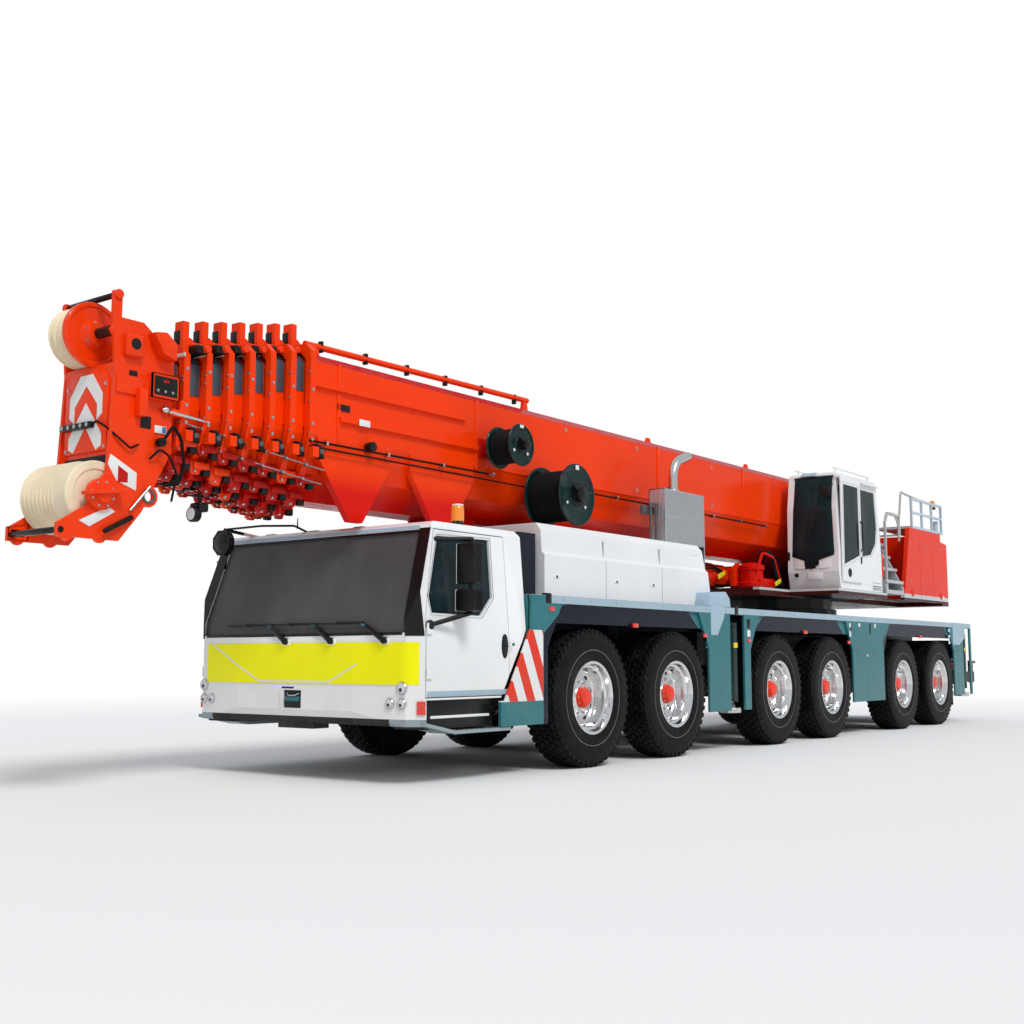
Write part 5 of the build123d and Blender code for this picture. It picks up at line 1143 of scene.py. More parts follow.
def sheaves():
    """Grooved rope sheaves at the top and the foot of the boom head."""
    x, z = UPPER_SHEAVE
    low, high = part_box("upper_sheave")
    pitch = (high[1] - low[1]) / UPPER_GROOVES
    form = Form(sheave_cream)
    form.add(turned(
        "y", (x, z),
        grooved(
            0.24, SHEAVE_BORE, low[1], UPPER_GROOVES, pitch, 0.03,
        ) + [(SHEAVE_BORE, high[1]), (SHEAVE_BORE, low[1])],
        96))
    form.piece("upper_rope_sheaves", "upper_sheave", "sheave_cream", ("upper_sheave",))
    x, z = LOWER_SHEAVE
    low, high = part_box("lower_sheaves")
    form = Form(sheave_cream)
    outline = grooved(0.27, SHEAVE_BORE, low[1], LOWER_GROOVES, LOWER_PITCH, 0.02)
    y = low[1] + LOWER_GROOVES * LOWER_PITCH
    outline += [
        (0.262, y + 0.004), (0.262, high[1] - 0.012), (0.25, high[1]), (0.2, high[1]),
        (0.19, high[1] - 0.012), (0.09, high[1] - 0.012), (0.08, high[1]), (SHEAVE_BORE, high[1]),
        (SHEAVE_BORE, low[1])]
    form.add(turned("y", (x, z), outline, 96))
    form.piece("lower_rope_sheaves", "lower_sheaves", "sheave_cream", ("lower_sheaves",))


def head_front():
    """Front plate of the boom head with white chevrons, connector bar, hose and cross pins."""
    form = Form(head_red)
    face = HEAD_FACE
    form.add(
        cube((face - 0.03, -0.335, 2.505), (face + 0.004, 0.335, 2.66), 0.006),
        prism("x", [
            (-0.275, 2.66), (0.275, 2.66), (0.275, 3.22), (0.2, 3.31), (-0.2, 3.31), (-0.275, 3.22),
        ], face - 0.004, face + 0.016, 0.004),
        black_plastic, prism("x", [
            (-0.27, 2.525), (0.27, 2.525), (0.29, 2.55), (0.29, 2.6), (0.26, 2.625), (-0.26, 2.625),
            (-0.29, 2.6), (-0.29, 2.55)], face - 0.01, face + 0.0065, 0.002))
    form.use(chevron_white)
    upper = [
        (-0.215, 2.95), (-0.15, 2.905), (-0.15, 3.03), (0.0, 3.19), (0.15, 3.03), (0.15, 2.905),
        (0.215, 2.95), (0.215, 3.11), (0.08, 3.275), (-0.08, 3.275), (-0.215, 3.11)]
    lower = [
        (-0.215, 2.7), (-0.15, 2.67), (0.0, 2.865), (0.15, 2.67), (0.215, 2.7), (0.215, 2.79),
        (0.0, 3.055), (-0.215, 2.79)]
    for outline in (upper, lower):
        form.add(prism("x", outline, face + 0.012, face + 0.0185))
    form.add(
        bright_steel, *bolts([
            (face + 0.014, y, z) for y in (-0.25, 0.25) for z in (2.69, 3.18)], "x", 0.011, 0.01),
        black_plastic, cube((face + 0.014, -0.285, 2.845), (face + 0.062, 0.125, 2.895), 0.01, 3))
    form.use(bright_steel)
    for y in spread(-0.245, 0.085, 5):
        form.add(turned("x", (y, 2.87), [
            (0.0, 0.06), (0.017, 0.06), (0.017, 0.066), (0.0, 0.068)], 16, face))
    form.add(rubber, pipe([
        (face + 0.04, 0.12, 2.87), (face + 0.05, 0.2, 2.885), (face + 0.035, 0.3, 2.83),
        (face - 0.02, 0.362, 2.76), (face - 0.14, 0.375, 2.68), (face - 0.22, 0.36, 2.72),
    ], 0.009, 0.03))
    form.use(black_paint)
    x, z = UPPER_SHEAVE
    form.add(bar("y", (x - 0.02, z + 0.285), -0.352, 0.352, 0.024, 20, 0.004))
    x, z = LOWER_SHEAVE
    form.add(bar("y", (x + 0.315, 2.01), -0.345, 0.345, 0.025, 20, 0.004))
    form.use(head_red)
    for y in (-0.349, 0.349):
        form.add(bar(
            "y", (UPPER_SHEAVE[0] - 0.02, UPPER_SHEAVE[1] + 0.285), y - 0.012, y + 0.012, 0.038, 20,
            0.004))
    form.add(
        cube((face - 0.06, -0.338, 3.3), (face + 0.002, 0.338, 3.345), 0.006),
        cube((face - 0.16, -0.3, 2.46), (face - 0.02, 0.3, 2.51), 0.01))
    form.piece("head_front_panel", "boom_section_7", "boom_red")


def head_cheeks():
    """Sheave cover, bosses, brackets and plates on the cheeks of the boom head."""
    form = Form(head_red)
    x, z = UPPER_SHEAVE
    form.add(
        solid("y", (x, z), [
            (0.256, 0.028), (0.258, 0.036), (0.258, 0.072), (0.25, 0.078), (0.226, 0.078),
            (0.214, 0.066), (0.12, 0.07), (0.1, 0.094), (0.086, 0.126), (0.06, 0.132)], 72),
        black_plastic, bar("y", (x, z), 0.128, 0.31, 0.042, 20),
        bright_steel, *bolts([
            (x + math.cos(a) * 0.09, 0.1, z + math.sin(a) * 0.09) for a in spread(0.3, 5.6, 6)
        ], "y", 0.01, 0.014))
    for side, flip in SIDES:
        y = HEAD_HALF
        form.add(
            head_red, prism("y", from_axle(
                (4.34, 3.42), (4.47, 3.46), (4.56, 3.62), (4.44, 3.64), (4.34, 3.56),
            ), y - 0.02, y + 0.1, 0.012),
            cube((ahead(4.62), y - 0.01, 3.4), (ahead(4.78), y + 0.055, 3.58), 0.02, 3),
            black_plastic, button("y", (ahead(4.7), 3.5), 0.045, 0.05, 0.058, 24, y),
            cube((ahead(4.64), y - 0.01, 3.18), (ahead(4.72), y + 0.004, 3.3), 0.015, 3),
            cube((ahead(4.5), y - 0.01, 2.86), (ahead(4.6), y + 0.006, 2.96), 0.02, 3),
            head_red, cube((ahead(4.585), y, 2.94), (ahead(4.66), y + 0.075, 3.16), 0.01),
            turned("y", LOWER_SHEAVE, [
                (0.0, -0.01), (0.12, -0.01), (0.12, 0.03), (0.11, 0.042), (0.07, 0.05),
                (0.066, 0.075), (0.0, 0.08)], 48, y),
            prism("y", [
                (LOWER_SHEAVE[0] - 0.17, LOWER_SHEAVE[1] + 0.02),
                (LOWER_SHEAVE[0] + 0.16, LOWER_SHEAVE[1] - 0.02),
                (LOWER_SHEAVE[0] + 0.16, LOWER_SHEAVE[1] + 0.01),
                (LOWER_SHEAVE[0] - 0.17, LOWER_SHEAVE[1] + 0.055)], y, y + 0.11, 0.006),
            at=flip)
        form.add(bright_steel, *bolts([
            (
                LOWER_SHEAVE[0] + math.cos(a) * 0.095, side * (y + 0.038),
                LOWER_SHEAVE[1] + math.sin(a) * 0.095) for a in spread(0.2, 5.9, 8)
        ], (0, side, 0), 0.009, 0.012))
        form.add(
            chevron_white, prism("y", from_axle(
                (4.62, 2.36), (4.62, 2.5), (4.86, 2.62), (4.88, 2.54), (4.8, 2.42),
            ), y - 0.004, y + 0.006, 0.002),
            prism("y", from_axle(
                (4.8, 2.18), (5.02, 2.05), (5.11, 2.09), (4.86, 2.215),
            ), y - 0.004, y + 0.006, 0.002),
            deep_red, prism("y", from_axle(
                (4.7, 2.415), (4.7, 2.49), (4.79, 2.54), (4.79, 2.41)), y, y + 0.008, 0.002),
            plate_white, cube((ahead(4.36), y + 0.002, 2.84), (ahead(4.47), y + 0.01, 2.9), 0.002),
            plate_blue, cube(
                (ahead(4.365), y + 0.009, 2.845), (ahead(4.4), y + 0.012, 2.895), 0.001),
            steel_grey, turned("y", (ahead(4.5), 2.33), ring(0.042, 0.06, -0.004, 0.008), 40, y),
            at=flip)
    form.piece("head_cheek_fittings", "boom_section_7", "boom_red")


def head_lamp_box():
    """Framed box, damper and hoses on the left cheek."""
    lamp = Form(black_plastic)
    y = HEAD_HALF + 0.075
    lamp.add(
        cube((ahead(4.315), y - 0.004, 3.128), (ahead(4.535), y + 0.003, 3.282), 0.008),
        head_red, framed("y", from_axle(
            (4.298, 3.108), (4.552, 3.108), (4.552, 3.302), (4.298, 3.302),
        ), y - 0.02, y + 0.01, 0.018, 0.003),
        bright_steel, *bolts([
            (x, y + 0.001, 3.165) for x in (ahead(4.36), ahead(4.43), ahead(4.5))
        ], "y", 0.008, 0.008),
        deep_red, cube((ahead(4.4), y, 3.235), (ahead(4.45), y + 0.006, 3.255), 0.002),
        chrome, rod((ahead(4.36), 0.375, 3.02), (ahead(3.98), 0.4, 2.985), 0.015, 20, 0.003),
        solid("x", (0.375, 3.03), [(0.028, 4.38), (0.028, 4.4), (0.01, 4.425)], 20, AXLE_1),
        head_red, cube((ahead(4.18), 0.33, 2.99), (ahead(4.34), 0.39, 3.05), 0.008),
        prism("y", from_axle(
            (4.2, 3.04), (4.26, 3.04), (4.255, 3.13), (4.205, 3.13)), 0.36, 0.385, 0.006),
        black_paint, bar("y", (ahead(4.44), 2.76), 0.36, 0.42, 0.036, 20, 0.004),
        rubber, pipe(from_axle(
            (4.44, 0.4, 2.75), (4.36, 0.44, 2.9), (4.28, 0.44, 2.8), (4.24, 0.43, 2.6),
            (4.28, 0.42, 2.45), (4.4, 0.4, 2.42)), 0.013, 0.06),
        pipe(from_axle(
            (4.52, 0.36, 2.62), (4.46, 0.41, 2.7), (4.38, 0.42, 2.66), (4.3, 0.42, 2.52),
            (4.33, 0.4, 2.3)), 0.01, 0.05),
        black_paint, rod((ahead(4.66), 0.36, 2.15), (ahead(4.92), 0.39, 2.02), 0.02, 16, 0.003),
        bright_steel, rod((ahead(4.52), 0.385, 2.4), (ahead(4.68), 0.36, 2.2), 0.011, 12))
    lamp.piece("head_lamp_box", "boom_section_7", "boom_red")


def head_lower_eyes():
    """Rings and a small framed window at the foot of the head."""
    lower = Form(head_red)
    for side in (1, -1):
        y = side * (HEAD_HALF - 0.015)
        for x, z in ((ahead(4.92), 1.99), (ahead(5.2), 1.99)):
            hoop = turned("y", (x, z), ring(0.03, 0.058, -0.012, 0.012), 24, y)
            lower.add(hoop)
    lower.add(deep_red, framed(
        "y", from_axle((5.12, 1.97), (5.285, 1.97), (5.285, 2.07), (5.12, 2.1)), -0.345, -0.3,
        0.018, 0.003,
    ), black_plastic, cube((ahead(5.14), -0.343, 1.985), (ahead(5.27), -0.31, 2.06), 0.01))
    lower.piece("head_lower_eyes", "boom_section_7", "boom_red")


def collar_fittings():
    """Pulley brackets, slide pads, bolts, latches and hooks round the mouth of each section."""
    for k in range(7):
        body = "boom" if k == 0 else f"boom_section_{k}"
        mouth = ahead(FIRST_MOUTH + MOUTH_PITCH * k)
        half = BOOM_HALF + COLLAR_STAND - STEP * k
        top = BOOM_TOP + COLLAR_STAND - STEP * k
        wall = BOOM_HALF - STEP * (k + 1)
        back = mouth - 0.06
        form = Form(head_red)
        for side, flip in SIDES:
            tab_top = BOOM_TOP - STEP * k + 0.268
            form.add(
                head_red, solid("y", (back - 0.055, top + 0.045), [
                    (0.055, 0.225), (0.055, 0.243), (0.042, 0.25), (0.042, 0.262), (0.055, 0.269),
                    (0.055, 0.285)], 24),
                cube((back - 0.105, 0.21, top - 0.005), (back - 0.005, 0.226, top + 0.07), 0.006),
                cube((back - 0.105, 0.284, top - 0.005), (back - 0.005, 0.3, top + 0.07), 0.006),
                cube((back - 0.105, 0.34, top - 0.03), (back - 0.01, 0.42, top + 0.03), 0.015, 3),
                bar("y", (back - 0.09, top - 0.02), 0.44, 0.5, 0.03, 16, 0.003),
                black_plastic, cube(
                    (back - 0.125, 0.2, top - 0.06), (back - 0.002, 0.46, top + 0.012), 0.02),
                cube(
                    (mouth - 0.004, 0.235, tab_top - 0.19), (mouth + 0.003, 0.315, tab_top - 0.07),
                    0.004),
                at=flip)
            form.use(slide_grey)
            roof = BOOM_TOP - STEP * (k + 1)
            form.add(
                prism("x", [
                    (wall - 0.004, roof - 0.33), (wall + 0.006, roof - 0.33),
                    (wall + 0.006, roof - 0.07), (wall - 0.06, roof + 0.006),
                    (wall - 0.068, roof - 0.001), (wall - 0.004, roof - 0.074),
                ], mouth - 0.002, mouth + 0.12, 0.002),
                pad_cream, cube(
                    (mouth - 0.002, 0.16, BOOM_TOP - STEP * (k + 1) + 0.003),
                    (mouth + 0.012, 0.4, BOOM_TOP - STEP * (k + 1) + 0.036), 0.006),
                at=flip)
            form.add(
                bright_steel, *bolts([
                    (mouth - 0.03, side * half, z) for z in (3.4, 3.1, 2.96)
                ], (0, side, 0), 0.01, 0.01),
                *bolts([
                    (mouth + 0.001, side * (wall + 0.085), z) for z in (3.56 - STEP * k, 3.3, 3.02)
                ], "x", 0.009, 0.008))
            form.add(
                black_paint, prism("y", [
                    (back - 0.11, 2.8), (back - 0.01, 2.83), (back - 0.01, 2.93),
                    (back - 0.07, 2.92)], half - 0.07, half + 0.02, 0.012),
                steel_grey, bar(
                    "y", (back - 0.06, 2.86), half - 0.02, half + 0.03, 0.022, 16, 0.003),
                at=flip)
            form.use(deep_red)
            for place, z, reach in (
                (0.46, 2.66, 0.09), (0.34, 2.53, 0.11), (0.2, 2.45, 0.12), (0.07, 2.43, 0.1),
            ):
                z += STEP * k * 0.8
                inset = place * (1 - 0.05 * k)
                low = z - reach - random.uniform(0.0, 0.05)
                form.add(
                    deep_red if random.random() < 0.75 else head_red,
                    prism("y", [
                        (back - 0.075, z), (mouth + 0.012, z), (mouth + 0.02, low + 0.05),
                        (mouth - 0.015, low), (back - 0.02, low), (back - 0.045, low + 0.05),
                    ], inset - 0.028, inset + 0.006, 0.006),
                    cube(
                        (back - 0.11, inset - 0.05, z - 0.07),
                        (mouth - 0.01, inset + 0.035, z - 0.01), 0.01),
                    black_plastic, cube(
                        (back - 0.12, inset - 0.02, z - 0.12),
                        (back - 0.05, inset + 0.03, z - 0.05), 0.01),
                    bright_steel, bar(
                        "y", (mouth - 0.02, low + 0.025), inset - 0.055, inset + 0.03, 0.01, 12),
                    at=flip)
                form.add(*bolts(
                    [(mouth + 0.008, side * (inset - 0.01), z - 0.03)], "x", 0.009, 0.01))
        form.use(bright_steel)
        for y, z in ((0.53, 2.74), (0.49, 2.62)):
            z += STEP * k
            y -= STEP * k
            form.add(rod(
                (mouth + 0.01, y + 0.03, z), (back - 0.15, y + 0.05, z - 0.03), 0.007, 10,
            ), turned("x", (y + 0.03, z), ring(0.01, 0.022, -0.01, 0.008), 16, mouth))
        form.piece(f"collar_fittings_{k}", body, "boom_red")


def boom_front_lamp():
    """Work lamp hanging under the mouth of section 4."""
    hang = Form(black_plastic)
    x = ahead(FIRST_MOUTH + MOUTH_PITCH * 4)
    hang.add(
        cube((x - 0.05, 0.06, 2.28), (x + 0.05, 0.2, 2.36), 0.02, 3),
        solid("x", (0.13, 2.26), [(0.062, 0.02), (0.068, 0.075), (0.06, 0.085)], 24, x),
        bar("z", (x, 0.13), 2.34, 2.6, 0.014, 12),
        clear_lens, turned("x", (0.13, 2.26), [
            (0.0, 0.083), (0.054, 0.083), (0.04, 0.092), (0.0, 0.094)], 24, x))
    hang.piece("boom_front_lamp", "boom_section_4", "boom_red")


def base_details():
    """Rails, ribs, hose guides and hoses along the base section of the boom."""
    form = Form(boom_red)
    skin = BOOM_HALF
    for side, flip in SIDES:
        form.add(boom_red, cube(
            (ahead(0.9), skin - 0.01, 3.452), (ahead(3.0), skin + 0.02, 3.5), 0.01, 3), at=flip)
        for x in (2.66, 0.7, -2.9, -5.2):
            form.add(cube(
                (ahead(x) - 0.02, skin - 0.02, 2.98), (ahead(x) + 0.02, skin + 0.012, 3.7), 0.005,
            ), at=flip)
        form.add(
            cube((ahead(-9.8), skin - 0.005, 3.015), (ahead(0.5), skin + 0.006, 3.035), 0.003),
            black_plastic, cube(
                (ahead(2.52), skin, 3.28), (ahead(2.68), skin + 0.012, 3.34), 0.004),
            plate_white, cube(
                (ahead(2.3), skin + 0.046, 3.17), (ahead(2.44), skin + 0.05, 3.23), 0.002),
            black_plastic, bar("y", (ahead(2.3), 2.99), skin + 0.02, skin + 0.1, 0.045, 20, 0.005),
            at=flip)
        form.use(bright_steel)
        for x in spread(2.85, -5.8, 12):
            form.add(
                turned("x", (skin + 0.045, 2.95), ring(
                    0.012, 0.026, ahead(x) - 0.012, ahead(x) + 0.012), 16),
                cube(
                    (ahead(x) - 0.01, skin - 0.01, 2.938), (ahead(x) + 0.01, skin + 0.026, 2.962),
                    0.003),
                at=flip)
        form.add(
            rubber, bar("x", (skin + 0.045, 2.95), ahead(3.05), ahead(0.56), 0.01, 10),
            rod((ahead(3.05), skin + 0.052, 2.9), (ahead(-0.2), skin + 0.052, 2.88), 0.008, 10),
            pipe(from_axle(
                (-0.55, skin + 0.03, 2.95), (-2.0, skin + 0.03, 2.95), (-5.8, skin + 0.03, 2.95),
            ), 0.01, 0.1),
            at=flip)
        for x in (-0.9, -2.4, -4.3, -6.2):
            form.add(bright_steel, *bolts([
                (ahead(x), side * (skin - 0.002), z) for z in (3.1, 3.62)
            ], (0, side, 0), 0.016, 0.012))
    form.use(black_plastic)
    for x in spread(ahead(-0.2), ahead(2.7), 6):
        form.add(cube((x - 0.016, 0.325, 3.83), (x + 0.016, 0.375, 3.935), 0.006))
    form.piece("boom_base_fittings", "boom", "boom_red")


def cable_reels():
    """Two cable reels on brackets beside the boom."""
    form = Form(reel_green)
    for reach, z, radius, width, low in (
        (0.535, 3.21, 0.215, 0.3, 0.71), (-0.26, 2.775, 0.33, 0.46, 0.68),
    ):
        x = ahead(reach)
        high = low + width
        form.use(reel_green)
        for y in (low, high - 0.022):
            form.add(solid("y", (x, z), [
                (radius - 0.012, 0.0), (radius - 0.004, 0.002), (radius, 0.008), (radius, 0.016),
                (radius - 0.006, 0.021), (radius - 0.02, 0.022), (radius * 0.9, 0.014),
                (radius * 0.45, 0.014), (radius * 0.4, 0.022)], 64, y))
        form.use(rubber)
        turns = int(width / 0.022) - 2
        wound = [(0.0, low + 0.02)]
        for i in range(turns):
            y = low + 0.024 + (width - 0.05) * i / turns
            step = (width - 0.05) / turns
            wound += [
                (radius * 0.78, y), (radius * 0.82, y + step * 0.3),
                (radius * 0.82, y + step * 0.7)]
        wound += [(radius * 0.78, high - 0.024), (0.0, high - 0.02)]
        form.add(
            turned("y", (x, z), wound, 48),
            black_paint, solid("y", (x, z), [
                (radius * 0.4, -0.004), (radius * 0.4, 0.012), (radius * 0.26, 0.016),
                (radius * 0.24, 0.07), (radius * 0.1, 0.08)], 32, high),
            rod(
                (x - radius * 0.3, high + 0.035, z + radius * 0.3),
                (x + radius * 0.34, high + 0.035, z + radius * 0.14), 0.028, 16),
            deep_red, cube(
                (x - 0.06, BOOM_HALF - 0.01, z - 0.06), (x + 0.06, low + 0.01, z + 0.06), 0.01),
            cube(
                (x - 0.14, BOOM_HALF - 0.01, z - 0.1), (x + 0.14, BOOM_HALF + 0.025, z + 0.1), 0.01,
            ))
        form.use(plate_white)
        for a in (0.5, 2.5):
            place = Matrix.Translation((x, high + 0.001, z)) @ Matrix.Rotation(a, 4, "Y")
            form.add(cube(
                (radius * 0.55, -0.01, -0.014), (radius * 0.55 + 0.028, -0.006, 0.014), 0.001,
            ), at=place)
        form.use(reel_green)
        for a in spread(0.2, 5.4, 6):
            place = Matrix.Translation((x, high - 0.012, z)) @ Matrix.Rotation(a, 4, "Y")
            form.add(cube(
                (radius * 0.28, 0.0, -0.012), (radius * 0.86, 0.008, 0.012), 0.004), at=place)
        form.add(plate_white, cube(
            (x - 0.03, high - 0.004, z + radius * 0.8), (x + 0.03, high + 0.003, z + radius * 0.95),
            0.002))
    form.piece("cable_reel_drums", "boom", "reel_black", ("cable_reels",))


sheaves()
head_front()
head_cheeks()
head_lamp_box()
head_lower_eyes()
collar_fittings()
boom_front_lamp()
base_details()
cable_reels()


# ---- Engine cover and exhaust ----
def engine_cover_details():
    """Grilles, seams, latches and vents of the engine cover."""
    low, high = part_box("engine_cover")
    side_y = high[1]
    form = Form(cover_white)
    for side, flip in SIDES:
        form.use(black_plastic)
        for i in range(6):
            z = high[2] - 0.13 - i * 0.028
            form.add(cube(
                (ahead(-2.62), side_y - 0.058, z - 0.008),
                (ahead(-2.48), side_y - 0.044, z + 0.004), 0.003), at=flip)
        for x in (-0.55, -1.7):
            form.add(
                cube(
                    (ahead(x) - 0.002, side_y - 0.002, low[2] + 0.02),
                    (ahead(x) + 0.002, side_y + 0.0012, 2.085), 0.0005, 1),
                cube(
                    (ahead(x) - 0.002, side_y - 0.04, 2.13),
                    (ahead(x) + 0.002, side_y - 0.0325, 2.3), 0.0005, 1),
                at=flip)
        form.add(cover_white, cube(
            (ahead(-2.72), side_y - 0.004, low[2] + 0.03),
            (ahead(-2.56), side_y + 0.004, low[2] + 0.11), 0.004), at=flip)
        for x in (0.35, -0.75, -1.5):
            form.add(cube(
                (ahead(x) - 0.05, side_y - 0.006, 1.86), (ahead(x) + 0.05, side_y + 0.006, 1.9),
                0.008, 3), at=flip)
        form.add(bright_steel, *bolts([
            (ahead(x), side * (side_y + 0.003), low[2] + z) for x in (-2.7, -2.58)
            for z in (0.045, 0.095)], (0, side, 0), 0.007, 0.006))
        form.use(black_plastic)
        for x in (0.35, -0.75, -1.5):
            form.add(button("y", (ahead(x), 1.88), 0.014, 0.004, 0.009, 16, side_y), at=flip)
    form.use(black_paint)
    for x in spread(ahead(-2.2), ahead(0.1), 12):
        form.add(cube(
            (x - 0.055, -0.95, high[2] - 0.004), (x + 0.055, -0.55, high[2] + 0.004), 0.003))
    form.piece("engine_cover_fittings", "carrier", "cover_white")


def exhaust():
    """Ribbed heat screen, its stack and the guard rails beside it."""
    low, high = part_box("exhaust_guard")
    x0, x1 = (low[0], high[0])
    y0, y1 = (low[1] + 0.05, high[1] - 0.012)
    foot, top = (2.412, 3.05)
    form = Form(screen_metal)
    form.add(
        cube((x0, y0, foot), (x0 + 0.02, y1, top), 0.004),
        cube((x1 - 0.02, y0, foot), (x1, y1, top), 0.004),
        cube((x0, y0, foot), (x1, y0 + 0.02, top), 0.004),
        steel_grey, cube((x0, y1 - 0.02, foot), (x1, y1 - 0.008, top), 0.003),
        screen_metal, cube((x0, y0, 1.677), (x0 + 0.02, y1, foot), 0.004))
    wave = [Matrix.Translation((x, 0, 0)) for x in spread(x0 + 0.025, x1 - 0.025, 52)]
    form.add(bar("z", (0, y1 - 0.002), foot + 0.02, top - 0.02, 0.0075, 8), at=wave)
    end = [Matrix.Translation((0, y, 0)) for y in spread(y0 + 0.015, y1 - 0.02, 11)]
    form.add(bar("z", (x1 - 0.002, 0), foot + 0.02, top - 0.02, 0.0065, 8), at=end)
    for z in (foot + 0.012, (foot + top) / 2, top - 0.012):
        form.add(cube(
            (x0 - 0.002, y1 - 0.012, z - 0.01), (x1 + 0.004, y1 + 0.003, z + 0.01), 0.003))
    form.add(bright_steel, *bolts([
        (x, y1 + 0.002, z) for x in (x0 + 0.03, middle_of(x0, x1), x1 - 0.03)
        for z in (foot + 0.012, top - 0.012)], "y", 0.007, 0.006))
    middle = middle_of(y0, y1)
    stack_x = x0 + 0.56
    form.use(chrome)
    turn = [
        (stack_x + 0.26 * (math.cos(a) - 1), middle, top + 0.16 + 0.26 * math.sin(a))
        for a in spread(0, 1.2, 9)]
    tip = Vector(turn[-1]) + Vector((-0.2, 0, 0.075))
    form.add(
        pipe([(stack_x, middle, top - 0.05)] + turn + [tuple(tip)], 0.055, 0.0, 6),
        solid("z", (stack_x, middle), [
            (0.085, -0.02), (0.085, 0.006), (0.06, 0.02), (0.06, 0.05)], 32, top),
        steel_grey, bar("z", (stack_x + 0.05, middle - 0.02), top - 0.05, top + 0.05, 0.03, 16),
        cube((x0, y0, top - 0.012), (x1, y1 - 0.01, top), 0.003))
    for x in (x1 + 0.04, x1 + 0.16):
        form.add(pipe([
            (x, y1 - 0.1, 2.4), (x, y1 - 0.1, 2.86), (x - 0.2, y1 - 0.1, 2.86)], 0.016, 0.05))
    form.add(cube((x1 + 0.02, y1 - 0.2, 2.74), (x1 + 0.24, y1 - 0.14, 2.84), 0.01))
    form.piece("exhaust_heat_screen", "carrier", "bare_aluminium", ("exhaust_guard",))


# ---- Operator's cab ----
OP_LOW, OP_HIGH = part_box("operator_cab")
SLEW_X = AXLE_1 - 7.3
OP_NOSE = SLEW_X + 1.02
OP_BACK = OP_LOW[0]
OP_SIDE = OP_HIGH[1] - 0.005
OP_TOP = 3.74
OP_HALF = 0.385
OP_INNER = OP_SIDE - 2 * OP_HALF


def from_slew(*points):
    """Points whose first number is a distance ahead of the slewing axis."""
    return [(SLEW_X + x, *rest) for x, *rest in points]


BOOM_PIVOT = (AXLE_1 - 9.75, 3.3)
BARREL_FOOT = (AXLE_1 - 5.6, 0, 2.235)
BARREL_LENGTH = 5.95
ROD_EYE = (BOOM_PIVOT[0] + 10.35, 0, 2.25)
GLAND_BOLTS = 10
DRUM_CORE = 0.198
ROPE_HALF = 0.468
ROPE_TURNS = 42
ROPE_PITCH = 0.0223


def op_nose(y, z):
    """Front face of the operator's cab over a place across and up."""
    line = [(2.06, -0.06), (2.3, 0.0), (3.2, -0.02), (3.71, -0.11), (3.8, -0.16)]
    for (z0, x0), (z1, x1) in zip(line, line[1:]):
        if z <= z1:
            break
    share = min(1, max(0, (z - z0) / (z1 - z0)))
    middle = OP_SIDE - OP_HALF
    return OP_NOSE + x0 + (x1 - x0) * share - 0.05 * ((y - middle) / OP_HALF) ** 4


def op_patch(corners, stand, thick, across=20, up=20):
    """Sheet laid on the front of the operator's cab."""
    return patch(op_nose, corners, stand, thick, across, up)


OP_TUMBLE = Matrix(((1, 0, 0, 0), (0, 1, -0.0455, 0.0455 * 2.6), (0, 0, 1, 0), (0, 0, 0, 1)))


def operator_glass():
    """Front, side and rear panes, with the white corners under the front pane."""
    inner = OP_INNER
    pane = Form(cab_glass)
    pane.add(
        op_patch([
            (inner + 0.045, 2.56), (OP_SIDE - 0.045, 2.56), (inner + 0.075, 3.655),
            (OP_SIDE - 0.085, 3.655)], 0.01, 0.006, 20, 24),
        op_patch([
            (inner + 0.28, 2.37), (inner + 0.42, 2.37), (inner + 0.045, 2.56),
            (OP_SIDE - 0.045, 2.56)], 0.01, 0.006, 20, 6))
    pane.add(prism("y", from_slew(
        (0.13, 2.56), (-0.02, 2.565), (-0.18, 2.6), (-0.3, 2.68), (-0.4, 2.79), (-0.455, 2.9),
        (-0.48, 3.02), (-0.48, 3.56), (0.13, 3.56),
    ), OP_SIDE - 0.012, OP_SIDE - 0.006), at=OP_TUMBLE)
    pane.add(cube(
        (OP_BACK - 0.004, inner + 0.12, 2.7), (OP_BACK + 0.004, OP_SIDE - 0.14, 3.56), 0.001))
    pane.use(cab_white)
    for a, b in (
        ((inner + 0.045, 2.56), (inner + 0.26, 2.475)),
        ((OP_SIDE - 0.045, 2.56), (inner + 0.48, 2.475)),
    ):
        pane.add(op_patch([
            (a[0], a[1] - 0.2), (b[0], 2.345), (a[0], a[1] - 0.01), (b[0], b[1]),
        ], 0.014, 0.006, 10, 8))
    pane.piece("operator_cab_glass", "upper_works", "interior")


